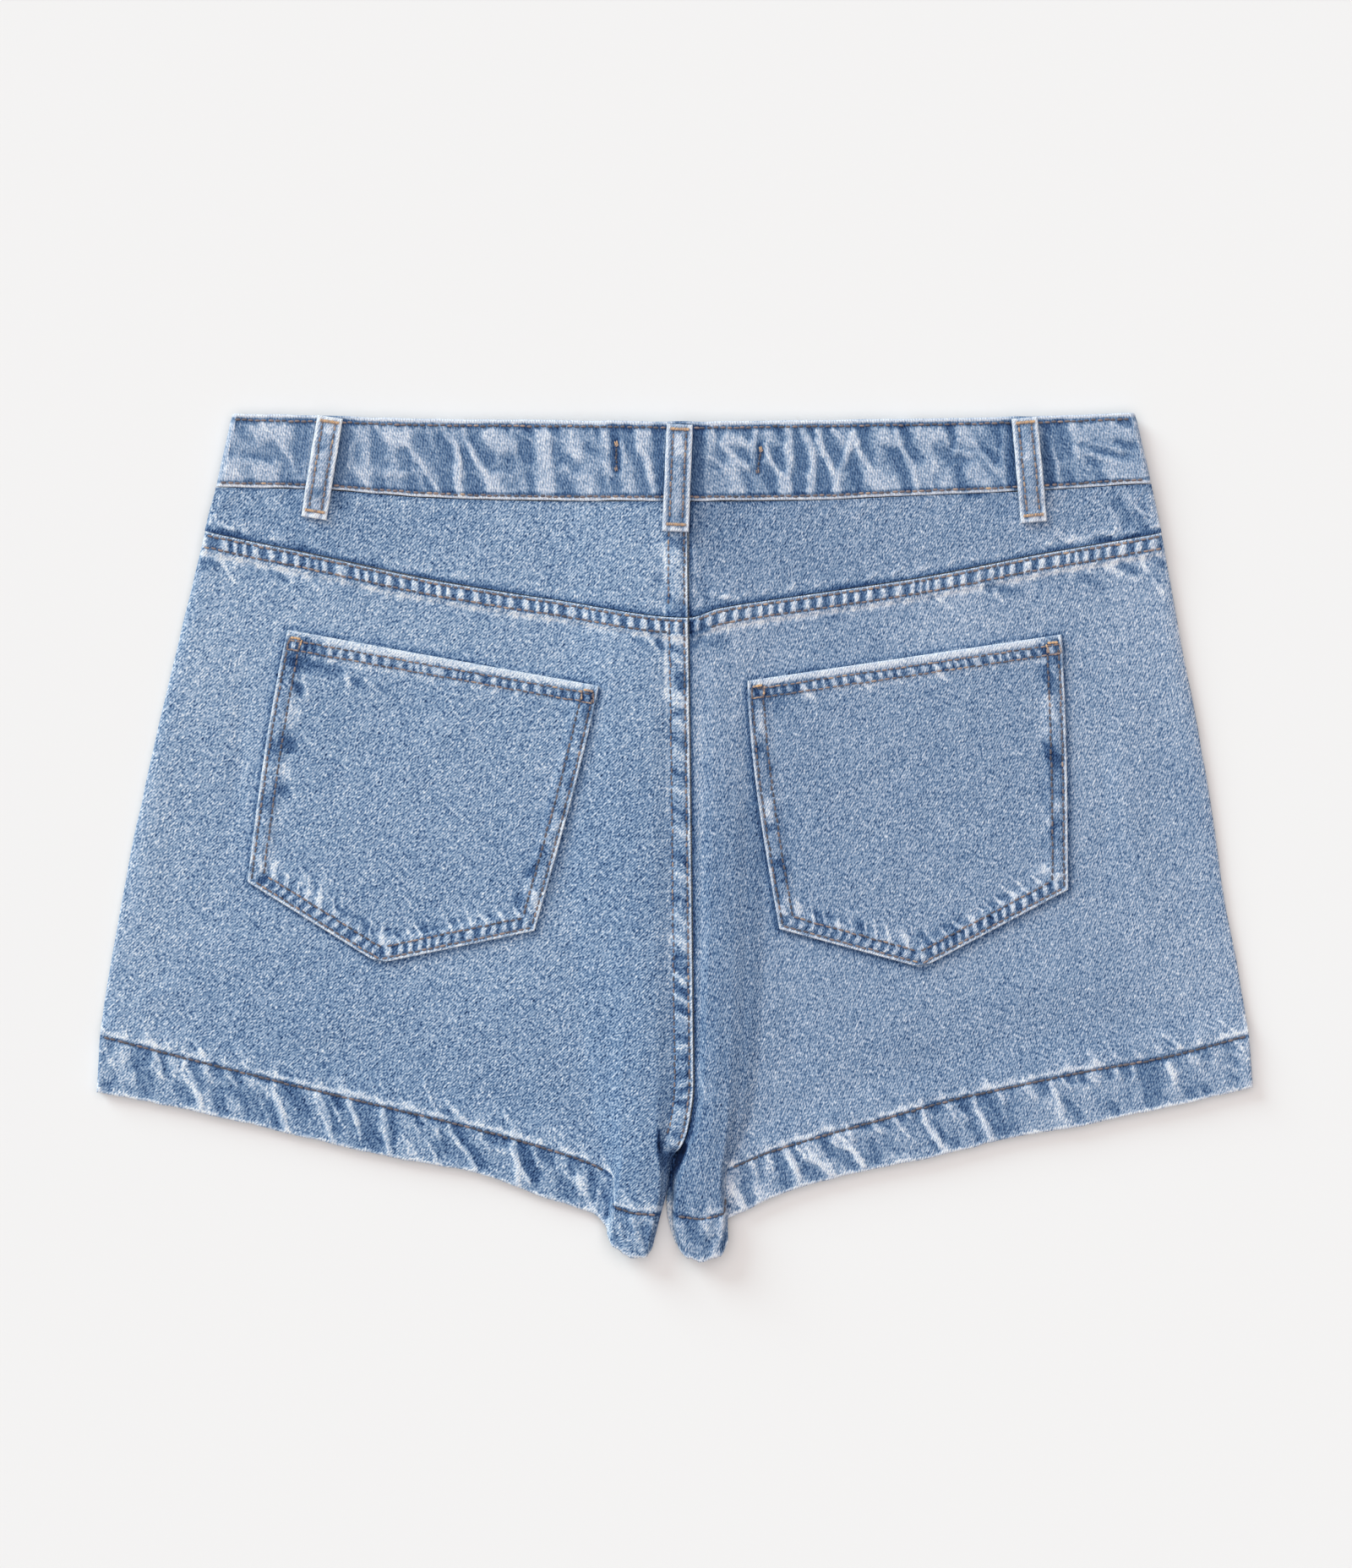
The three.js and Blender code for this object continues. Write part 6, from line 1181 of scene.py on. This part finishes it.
class Threads:
    """Stitches on one piece, gathered into one mesh."""

    def __init__(self, host, below=False):
        self.host, self.below, self.verts, self.quads, self.tris, self.look = host, below, [], [], [], []
        self.rng = np.random.default_rng(abs(sum(map(ord, host))) + 7)

    def stitch(self, a, b, width=THREAD, sink=0.3, tint=0.5, up=0.0):
        pa, pb = drop(self.host, *a, self.below), drop(self.host, *b, self.below)
        if pa is None or pb is None:
            return
        (qa, na), (qb, nb) = pa, pb
        if abs(qa.z - qb.z) > 2.5:
            return
        axis = qb - qa
        length = axis.length
        if length < 0.2:
            return
        axis /= length
        nrm = (na + nb).normalized()
        side = axis.cross(nrm).normalized()
        nrm = side.cross(axis).normalized()
        base = sum(len(v) for v in self.verts)
        ang = np.linspace(0, 2 * math.pi, SIDES, endpoint=False)
        ring = []
        for t, r in GRAIN:
            mid = np.array(qa) + np.array(axis) * length * t + np.array(nrm) * (width * 0.5 * r * (1 - 2 * sink) + up + 0.10 * math.sin(math.pi * t))
            ring.append(mid + (np.outer(np.cos(ang), np.array(side)) + np.outer(np.sin(ang), np.array(nrm)) * 0.8) * width * 0.5 * r)
        v = np.concatenate(ring)
        self.verts.append(v)
        k = len(GRAIN)
        for i in range(k - 1):
            for j in range(SIDES):
                jj = (j + 1) % SIDES
                self.quads.append([base + i * SIDES + j, base + i * SIDES + jj, base + (i + 1) * SIDES + jj, base + (i + 1) * SIDES + j])
        for j in range(1, SIDES - 1):
            self.tris.append([base, base + j + 1, base + j])
            e = base + (k - 1) * SIDES
            self.tris.append([e, e + j, e + j + 1])
        self.look.append(np.tile([tint, self.rng.uniform(0, 1), length], (len(v), 1)))

    def row(self, points, tint=0.5, pitch=STITCH_PITCH, length=STITCH, width=THREAD, wobble=0.22, skip=0.0):
        """Stitches along a line of points."""
        p = np.asarray(points, float)
        seg = np.hypot(*np.diff(p, axis=0).T)
        s = np.concatenate([[0], np.cumsum(seg)])
        total = s[-1]
        at = lambda q: np.array([np.interp(q, s, p[:, 0]), np.interp(q, s, p[:, 1])])
        q = 0.4
        while q + length < total - 0.2:
            ln = length * self.rng.uniform(0.88, 1.08)
            a, b = at(q), at(q + ln)
            j = self.rng.normal(0, wobble, 2) * 0.6
            if self.rng.uniform() >= skip:
                self.stitch(a + j, b + j + self.rng.normal(0, wobble * 0.35, 2), width * self.rng.uniform(0.88, 1.1), tint=np.clip(tint + self.rng.normal(0, 0.16), 0, 1))
            q += pitch * self.rng.uniform(0.96, 1.04)

    def tack(self, centre, width, depth, turn=0.0, tint=1.0, gap=0.62):
        """A bar-tack: thread laid side by side over a short bar."""
        c, s = math.cos(turn), math.sin(turn)
        n = int(width / gap)
        for i in range(n + 1):
            u = -width / 2 + width * i / n
            lo, hi = -depth / 2 * self.rng.uniform(0.85, 1.1), depth / 2 * self.rng.uniform(0.85, 1.1)
            lean = self.rng.normal(0, 0.12) + 0.25
            a = (centre[0] + u * c - lo * s, centre[1] + u * s + lo * c)
            b = (centre[0] + (u + lean) * c - hi * s, centre[1] + (u + lean) * s + hi * c)
            self.stitch(a, b, 0.72, sink=0.1, tint=np.clip(tint + self.rng.normal(0, 0.12), 0, 1), up=-0.1 if self.below else 0.12)

    def make(self, name):
        if self.below:
            # what is sewn on the underside is pressed into it, so that it rests level
            for v in self.verts:
                v[:, 2] = np.maximum(v[:, 2], 0.03)
        ob = make_mesh(name, np.concatenate(self.verts), np.array(self.quads), np.array(self.tris))
        attribute(ob, "look", np.concatenate(self.look))
        return ob


def offset_line(points, d):
    """A line moved sideways by d, to its left."""
    p = np.asarray(points, float)
    t = np.gradient(p, axis=0)
    t /= np.linalg.norm(t, axis=1, keepdims=True)
    return p + d * np.stack([-t[:, 1], t[:, 0]], -1)


# ---------------------------------------------------------------- materials
def colour(r, g, b):
    f = lambda c: c / 12.92 if c <= 0.04045 else ((c + 0.055) / 1.055) ** 2.4
    return (f(r / 255), f(g / 255), f(b / 255), 1)


class Net:
    """Builds a node tree line by line."""

    def __init__(self, name):
        self.mat = bpy.data.materials.new(name)
        self.mat.use_nodes = True
        self.t = self.mat.node_tree
        self.t.nodes.clear()
        self.out = self.t.nodes.new("ShaderNodeOutputMaterial")
        self.shader = self.t.nodes.new("ShaderNodeBsdfPrincipled")
        self.t.links.new(self.shader.outputs[0], self.out.inputs[0])

    def put(self, socket, value):
        if isinstance(value, bpy.types.NodeSocket):
            self.t.links.new(value, socket)
        else:
            socket.default_value = value

    def math(self, op, a, b=0.0, c=0.0, clamp=False):
        n = self.t.nodes.new("ShaderNodeMath")
        n.operation, n.use_clamp = op, clamp
        for i, v in enumerate((a, b, c)):
            self.put(n.inputs[i], v)
        return n.outputs[0]

    def attr(self, name):
        n = self.t.nodes.new("ShaderNodeAttribute")
        n.attribute_name = name
        return n.outputs["Vector"]

    def xyz(self, v):
        n = self.t.nodes.new("ShaderNodeSeparateXYZ")
        self.put(n.inputs[0], v)
        return n.outputs

    def scaled(self, v, scale):
        n = self.t.nodes.new("ShaderNodeVectorMath")
        n.operation = "MULTIPLY"
        self.put(n.inputs[0], v)
        n.inputs[1].default_value = scale
        return n.outputs[0]

    def noise(self, v, scale, detail=2.0, rough=0.5, distort=0.0):
        n = self.t.nodes.new("ShaderNodeTexNoise")
        self.put(n.inputs["Vector"], v)
        n.inputs["Scale"].default_value = scale
        n.inputs["Detail"].default_value = detail
        n.inputs["Roughness"].default_value = rough
        n.inputs["Distortion"].default_value = distort
        return n.outputs["Fac"]

    def step(self, v, low, high):
        n = self.t.nodes.new("ShaderNodeMapRange")
        n.interpolation_type = "SMOOTHSTEP"
        self.put(n.inputs["Value"], v)
        n.inputs["From Min"].default_value, n.inputs["From Max"].default_value = low, high
        return n.outputs[0]

    def ramp(self, v, stops):
        n = self.t.nodes.new("ShaderNodeValToRGB")
        self.put(n.inputs[0], v)
        cr = n.color_ramp
        cr.elements[0].position, cr.elements[0].color = stops[0]
        cr.elements[1].position, cr.elements[1].color = stops[-1]
        for pos, col in stops[1:-1]:
            e = cr.elements.new(pos)
            e.color = col
        return n.outputs[0]

    def mix(self, fac, a, b):
        n = self.t.nodes.new("ShaderNodeMix")
        n.data_type = "RGBA"
        self.put(n.inputs["Factor"], fac)
        self.put(n.inputs[6], a)
        self.put(n.inputs[7], b)
        return n.outputs[2]

    def bump(self, height, distance, strength=1.0, before=None):
        n = self.t.nodes.new("ShaderNodeBump")
        n.inputs["Distance"].default_value = distance
        n.inputs["Strength"].default_value = strength
        self.put(n.inputs["Height"], height)
        if before is not None:
            self.put(n.inputs["Normal"], before)
        return n.outputs[0]


LIGHT_LEVEL = 1.1  # how much brighter than its own colour a level cloth is in this light


def dye(r, g, b):
    return tuple(c / LIGHT_LEVEL for c in colour(r, g, b)[:3]) + (1,)


def denim(name, base=0.0, contrast=1.0, twill=0.1, speck=1.0, grey=0.0):
    k = Net(name)
    cloth, look = k.attr("cloth"), k.attr("look")
    worn, dark, tone = k.xyz(look)[0:3]
    along_, across = k.xyz(cloth)[0:2]
    # yarn: uneven at several sizes
    fine = k.noise(k.scaled(cloth, (1 / 1.25, 1 / 0.85, 1)), 1.0, 0.0)
    grain = k.noise(k.scaled(cloth, (1 / 2.2, 1 / 1.6, 1)), 1.0, 0.0)
    slub = k.noise(k.scaled(cloth, (1 / 4.8, 1 / 4.0, 1)), 1.0, 0.0)
    patch = k.noise(k.scaled(cloth, (1 / 14, 1 / 12, 1)), 1.0, 2.0, 0.5)
    # the twill's lines, 1.08 mm apart, and the weave's steps that cross them
    wander = k.math("MULTIPLY_ADD", k.math("SUBTRACT", slub, 0.5), 2.0, k.math("MULTIPLY", across, 2 * math.pi / 1.08))
    line = k.math("SINE", wander)
    steps_ = k.math("SINE", k.math("MULTIPLY_ADD", along_, -0.539 * 2 * math.pi / 1.37, k.math("MULTIPLY", across, 0.842 * 2 * math.pi / 1.37)))
    v = k.math("MULTIPLY", k.math("SUBTRACT", fine, 0.5), 0.98 * contrast)
    v = k.math("MULTIPLY_ADD", k.math("SUBTRACT", grain, 0.5), 0.46 * contrast, v)
    v = k.math("MULTIPLY_ADD", k.math("SUBTRACT", slub, 0.5), 0.22 * contrast, v)
    # where the blue was kept and where shade is painted the yarns are more alike
    v = k.math("MULTIPLY", v, k.math("MULTIPLY_ADD", k.math("MULTIPLY_ADD", worn, 0.7, dark, clamp=True), -0.5, 1.0))
    v = k.math("MULTIPLY_ADD", k.math("SUBTRACT", patch, 0.5), 0.16 * contrast, v)
    v = k.math("ADD", k.math("ADD", v, tone), 0.565 + base)
    v = k.math("MULTIPLY_ADD", steps_, 0.05, v)
    strength = k.math("MULTIPLY_ADD", dark, -0.4 * twill, twill)
    v = k.math("MULTIPLY_ADD", line, k.math("MAXIMUM", strength, 0.35 * twill), v)
    # wear takes hold thread by thread, and so do the blue that was kept and the painted shade: their edges are crisp
    # and speckled
    bite = k.math("MULTIPLY_ADD", k.math("SUBTRACT", grain, 0.5), 1.1, k.math("MULTIPLY_ADD", k.math("SUBTRACT", fine, 0.5), 1.3, k.math("MULTIPLY", line, 0.07)))
    lot = k.math("MULTIPLY", worn, 2.5, clamp=True)
    w = k.step(k.math("MULTIPLY_ADD", k.math("MULTIPLY", bite, 0.27 * speck), lot, worn), 0.06, 1.0)
    v = k.math("MULTIPLY_ADD", w, 0.325, v)
    lot = k.math("MULTIPLY", dark, 2.5, clamp=True)
    d = k.step(k.math("MULTIPLY_ADD", k.math("MULTIPLY", bite, -0.22 * speck), lot, dark), 0.04, 1.0)
    v = k.math("MULTIPLY_ADD", d, -0.27, v)
    # dark above 1, mostly the painted deep shade under the crotch, goes deeper still
    v = k.math("MULTIPLY_ADD", k.math("MAXIMUM", k.math("SUBTRACT", dark, 1.0), 0.0), -0.22, v)
    shades = [(0.0, 14, 31, 62), (0.15, 37, 63, 106), (0.34, 77, 108, 149), (0.52, 120, 149, 183), (0.71, 165, 188, 214), (0.86, 204, 218, 235), (1.0, 240, 246, 251)]
    rgb = k.ramp(v, [(at, dye(r * (1 + 6 * grey * at * at * (1 - at)), g, b * (1 - 1.6 * grey * at * (1 - at)))) for at, r, g, b in shades])
    k.put(k.shader.inputs["Base Color"], rgb)
    k.shader.inputs["Roughness"].default_value = 0.95
    k.shader.inputs["Specular IOR Level"].default_value = 0.06
    k.shader.inputs["Sheen Weight"].default_value = 0.03
    k.shader.inputs["Sheen Roughness"].default_value = 0.5
    height = k.math("MULTIPLY_ADD", line, 0.5, k.math("MULTIPLY_ADD", grain, 1.0, k.math("MULTIPLY", fine, 0.8)))
    k.put(k.shader.inputs["Normal"], k.bump(height, 0.00016, 0.8))
    return k.mat


def thread(name):
    k = Net(name)
    tint, own, _ = k.xyz(k.attr("look"))[0:3]
    coord = k.t.nodes.new("ShaderNodeTexCoord").outputs["Object"]
    fuzz = k.noise(coord, 1900.0, 2.0, 0.6)
    v = k.math("ADD", tint, k.math("MULTIPLY", k.math("SUBTRACT", fuzz, 0.5), 0.35))
    rgb = k.ramp(v, [(0.0, dye(84, 80, 88)), (0.25, dye(112, 102, 106)), (0.5, dye(150, 130, 126)), (0.75, dye(192, 164, 142)), (1.0, dye(226, 184, 140))])
    k.put(k.shader.inputs["Base Color"], rgb)
    k.shader.inputs["Roughness"].default_value = 0.75
    k.shader.inputs["Sheen Weight"].default_value = 0.15
    k.put(k.shader.inputs["Normal"], k.bump(fuzz, 0.0001, 0.8))
    return k.mat


def tape(name):
    k = Net(name)
    cloth = k.attr("cloth")
    weave = k.noise(k.scaled(cloth, (1 / 0.8, 1 / 0.8, 1)), 1.0, 2.0, 0.5)
    k.put(k.shader.inputs["Base Color"], k.ramp(weave, [(0.2, colour(58, 70, 98)), (0.8, colour(92, 106, 138))]))
    k.shader.inputs["Roughness"].default_value = 0.85
    k.put(k.shader.inputs["Normal"], k.bump(weave, 0.0003, 0.8))
    return k.mat


def aged_metal(name):
    k = Net(name)
    coord = k.t.nodes.new("ShaderNodeTexCoord").outputs["Object"]
    v = k.noise(coord, 900.0, 4.0, 0.6)
    k.put(k.shader.inputs["Base Color"], k.ramp(v, [(0.3, colour(96, 80, 60)), (0.5, colour(160, 138, 104)), (0.7, colour(196, 178, 140))]))
    k.shader.inputs["Metallic"].default_value = 1.0
    k.put(k.shader.inputs["Roughness"], k.math("MULTIPLY_ADD", v, 0.35, 0.22))
    k.put(k.shader.inputs["Normal"], k.bump(v, 0.0001, 0.5))
    return k.mat


def pale_floor(name):
    k = Net(name)
    coord = k.t.nodes.new("ShaderNodeTexCoord").outputs["Object"]
    v = k.noise(coord, 3.0, 2.0, 0.5)
    k.put(k.shader.inputs["Base Color"], k.ramp(v, [(0.0, (0.818, 0.818, 0.818, 1)), (1.0, (0.822, 0.822, 0.822, 1))]))
    k.shader.inputs["Roughness"].default_value = 1.0
    k.shader.inputs["Specular IOR Level"].default_value = 0.0
    return k.mat


# ---------------------------------------------------------------- build
DENIM = {
    "left": denim("denim_left", 0.012, 1.0, 0.055, 0.7, 0.02), "right": denim("denim_right", 0.005, 0.84, 0.085, 0.7, 0.05), "trim": denim("denim_trim", 0.0, 0.64, 0.05, 0.4, 0.05), "front": denim("denim_front", 0.0),
}
THREADS = thread("sewing_thread")
pieces = {}
for side in ("left", "right"):
    pieces["back_" + side] = (back_panel(side), DENIM[side])
    pieces["yoke_" + side] = (yoke(side), DENIM[side])
    pieces["front_" + side] = (front_panel(side), DENIM["front"])
    pieces["pocket_" + side] = (pocket(side), DENIM["left" if side == "left" else "right"])
pieces["waistband"] = (waistband(), DENIM["trim"])
for i, l in enumerate(LOOPS):
    pieces[l["name"]] = (belt_loop(l, i), DENIM["trim"])
pieces["fly_zip"] = (zip_tape(), tape("zip_tape"))

# stitches, piece by piece
sewn = {}


def sew(node, below=False):
    if node not in sewn:
        sewn[node] = Threads("cloth_" + node, below)
    return sewn[node]


for side in ("left", "right"):
    leg, left = LEGS[side], side == "left"
    t = sew("back_" + side)
    x_side = float(follow(SIDE, "y", side, 150.0))
    xs = np.linspace(x_side + (1.5 if left else -1.5), 5.5 if left else 8.5, 160)
    seam = np.stack([xs, follow(ACROSS, "x", "yoke", xs)], -1)
    lower = 1 if not left else -1
    t.row(offset_line(seam, lower * 1.8), tint=0.36, width=1.15)
    t.row(offset_line(seam, lower * 7.6)[: -4], tint=0.34, width=1.1)
    # hem
    # the row goes on past the pleat's foot, which hides a little of it
    for u in (np.linspace(0.006, 0.99, 200), np.linspace(1.9, 6.9, 80)):
        y = leg.hem_at(u, "stitch")
        t.row(np.stack([leg.X(u, y), y], -1), tint=0.14, pitch=3.3, length=3.0, width=1.25)
    if left:
        ys = np.linspace(107, -153, 200)
        edge = follow(FOLD_LEFT, "y", "seam", ys)
        t.row(np.stack([edge - 2.1, ys], -1), tint=0.28)
        t.row(np.stack([edge - 9.3, ys], -1)[:197], tint=0.28)
        ty = sew("yoke_left")
        ys = np.linspace(165, 113, 40)
        ty.row(np.stack([6.5 - 2.1 + 0 * ys, ys], -1), tint=0.28)
        ty.row(np.stack([6.5 - 9.7 + 0 * ys, ys], -1), tint=0.32)
    # pocket
    c = POCKET_LEFT if left else POCKET_RIGHT
    tp = sew("pocket_" + side)
    pts = [np.array([c["x"][k], c["y"][k]]) for k in range(5)]
    inward = -1 if left else 1
    e = pts[1] - pts[0]
    down = np.array([e[1], -e[0]]) / np.hypot(*e) * (1 if left else -1)
    start = pts[0] + down * 3.4
    for d, tint in ((2.0, 0.28), (7.6, 0.26)):
        lines = []
        for a, b in ((1, 2), (2, 3), (3, 4), (4, 0)):
            e = pts[b] - pts[a]
            nrm = np.array([-e[1], e[0]]) / np.hypot(*e) * inward
            lines.append((pts[a] + nrm * d, e))
        cross = lambda p, r, q, s: p + r * ((q - p)[0] * s[1] - (q - p)[1] * s[0]) / (r[0] * s[1] - r[1] * s[0])
        top_e = pts[1] - pts[0]
        path = [cross(lines[0][0], lines[0][1], start, top_e)]
        for (p, r), (q, s) in zip(lines[:-1], lines[1:]):
            path.append(cross(p, r, q, s))
        path.append(cross(lines[3][0], lines[3][1], start, top_e))
        bent = lambda a, b: [q_ + np.array([float(bow(c, q_[0], q_[1])), 0.0]) for q_ in (a + (b - a) * f_ for f_ in np.linspace(0, 1, 25))]
        for k, (a, b) in enumerate(zip(path[:-1], path[1:])):
            tp.row(bent(a, b), tint=tint + (0.06 if k in (1, 2) else -0.07), width=1.0)
    e = pts[1] - pts[0]
    for d in (4.6, 9.2):
        tp.row(bent(pts[0] + down * d + e * 0.012, pts[1] + down * d - e * 0.012), tint=0.40)
    turn = math.atan2(e[1], e[0])
    # a thin box of thread holds each upper corner
    for k, s_ in ((0, 1), (1, -1)):
        way = e / np.hypot(*e) * s_
        box = [pts[k] + way * a_ + down * b_ for a_, b_ in ((2.0, 3.4), (8.4, 3.2), (7.4, 9.2), (1.6, 9.4))]
        for a_, b_, wide, warm in ((0, 1, 1.4, 0.92), (1, 2, 1.0, 0.84), (2, 3, 0.8, 0.6), (3, 0, 0.7, 0.5)):
            tp.row(bent(box[a_], box[b_])[::8], tint=warm, pitch=1.5, length=1.9, width=wide, wobble=0.15)
    # the hidden front
    tf = sew("front_" + side, below=True)
    xs = np.linspace(-286 if left else 286, -36 if left else 29, 170)
    hem = HEM_LEFT if left else HEM_RIGHT
    tf.row(np.stack([xs, follow(hem, "x", "stitch", xs) - 0.8], -1), tint=0.22, pitch=3.5, length=2.9)
    if left:
        ys = np.linspace(165, 70, 90)
        for d in (2.0, 8.0):
            tf.row(np.stack([4.0 - d + 0 * ys, ys], -1), tint=0.5)
        q = np.linspace(0, 1, 60)
        for d in (0, 6):
            tf.row(np.stack([lerp(-34 - d, -2, smooth(q) ** 1.5), lerp(160, 66 - d, q ** 0.8)], -1), tint=0.5)
        ys = np.linspace(58, -150, 140)
        for d in (2.0, 8.4):
            tf.row(np.stack([-0.2 - d + 0 * ys, ys], -1), tint=0.45)

band = sew("waistband")
xs = np.linspace(-226, 234, 320)
band.row(np.stack([xs, follow(ACROSS, "x", "band", xs) + 2.2], -1), tint=0.33, width=1.2)
xs = np.linspace(-219, 227, 320)
band.row(np.stack([xs, follow(ACROSS, "x", "top", xs) - 3.2], -1), tint=0.27, width=1.2)
for x0, y0, x1, y1 in STUDS:
    band.tack((x0, y0 - 1.2), 0.9, 2.6, 0.35, tint=0.85, gap=0.6)
    band.tack((x0 + 0.3, y0 - 2.0), 0.7, 2.0, -0.7, tint=0.7, gap=0.6)
    band.row([(x0, y0 - 3), (x1, y1)], tint=0.06, pitch=2.2, length=2.0)
    band.tack((x1, y1 + 0.6), 0.9, 2.0, 0.3, tint=0.55, gap=0.6)

for l in LOOPS:
    t = sew(l["name"], below=l["face"] < 0)
    top_y = float(follow(ACROSS, "x", "top", l["upper"])) - l["over"]
    low_y = float(follow(ACROSS, "x", "band", l["lower"])) - l["under"]
    a, b = np.array([l["upper"], top_y]), np.array([l["lower"], low_y])
    e = (b - a) / np.hypot(*(b - a))
    side = np.array([-e[1], e[0]])
    for d in (-3.1, 3.1):
        t.row([a + side * d + e * 1.2, b + side * d - e * 4.2], tint=0.46, pitch=3.0, length=2.6, width=0.95)
    turn = math.atan2(side[1], side[0])
    t.tack(a + e * 2.4, 9.0, 1.6, turn, tint=0.88)
    t.tack(b - e * 3.6, 9.4, 1.6, turn, tint=0.8)

for node, t in sewn.items():
    pieces["thread_" + node] = (t.make("thread_" + node), THREADS)

for name, (ob, mat) in pieces.items():
    ob.data.materials.append(mat)

# the fastened button stays as it is in the CAD model, in aged metal
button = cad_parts["button"]
for s in button.material_slots:
    s.material = aged_metal("button_metal")

SLOTS = {"fly_zip": "tape", "waistband": "denim_trim"}
for name, (ob, _) in pieces.items():
    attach(ob, "root")
    node = name.replace("thread_", "")
    if not name.startswith("thread_"):
        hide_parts(name)

# the cut of what shows: width, length and area in metres
CUT = {
    "back_left": (0.300, 0.352, 0.0815), "back_right": (0.292, 0.352, 0.0775), "yoke_left": (0.240, 0.066, 0.0103), "yoke_right": (0.235, 0.066, 0.0097),
    "front_left": (0.292, 0.378, 0.0875), "front_right": (0.292, 0.378, 0.0880), "waistband": (0.985, 0.037, None),
    "pocket_left": (0.158, 0.166, 0.0205), "pocket_right": (0.158, 0.166, 0.0205), "fly_zip": (0.022, 0.102, None),
}
for l in LOOPS:
    CUT[l["name"]] = (0.013, 0.0535, None)
for node, (w, h, area) in CUT.items():
    ob = pieces[node][0]

# ---------------------------------------------------------------- floor, light, camera
me = bpy.data.meshes.new("floor")
me.from_pydata([(-4, -4, -0.0002), (4, -4, -0.0002), (4, 4, -0.0002), (-4, 4, -0.0002)], [], [(0, 1, 2, 3)])
floor = bpy.data.objects.new("floor", me)
bpy.context.collection.objects.link(floor)
me.materials.append(pale_floor("floor_paint"))

world = bpy.data.worlds.new("studio")
world.use_nodes = True
world.node_tree.nodes["Background"].inputs[0].default_value = (1.08, 1.0, 0.975, 1)
world.node_tree.nodes["Background"].inputs[1].default_value = 0.30
bpy.context.scene.world = world


def sun(name, strength, angle, azimuth, elevation, tint):
    li = bpy.data.lights.new(name, "SUN")
    li.energy, li.angle, li.color = strength, math.radians(angle), tint
    ob = bpy.data.objects.new(name, li)
    az, el = math.radians(azimuth), math.radians(elevation)
    way = Vector((math.cos(az) * math.cos(el), math.sin(az) * math.cos(el), math.sin(el)))
    ob.rotation_euler = way.to_track_quat("Z", "Y").to_euler()
    ob.location = way * 3
    bpy.context.collection.objects.link(ob)


sun("key", 2.21, 30, 136, 20, (0.80, 1.0, 1.055))
sun("fill", 1.75, 90, 120, 84, (1.06, 1.0, 0.98))

cam = bpy.data.cameras.new("camera")
cam.sensor_fit, cam.sensor_height = "VERTICAL", 36
DISTANCE = 3.0
cam.lens = 36 * DISTANCE / 0.7791
cam.clip_start, cam.clip_end = 0.05, 20
camera = bpy.data.objects.new("camera", cam)
camera.location = (0.0005, 0.0265, DISTANCE + 0.006)
bpy.context.collection.objects.link(camera)
bpy.context.scene.camera = camera
bpy.context.scene.view_settings.view_transform = "Standard"
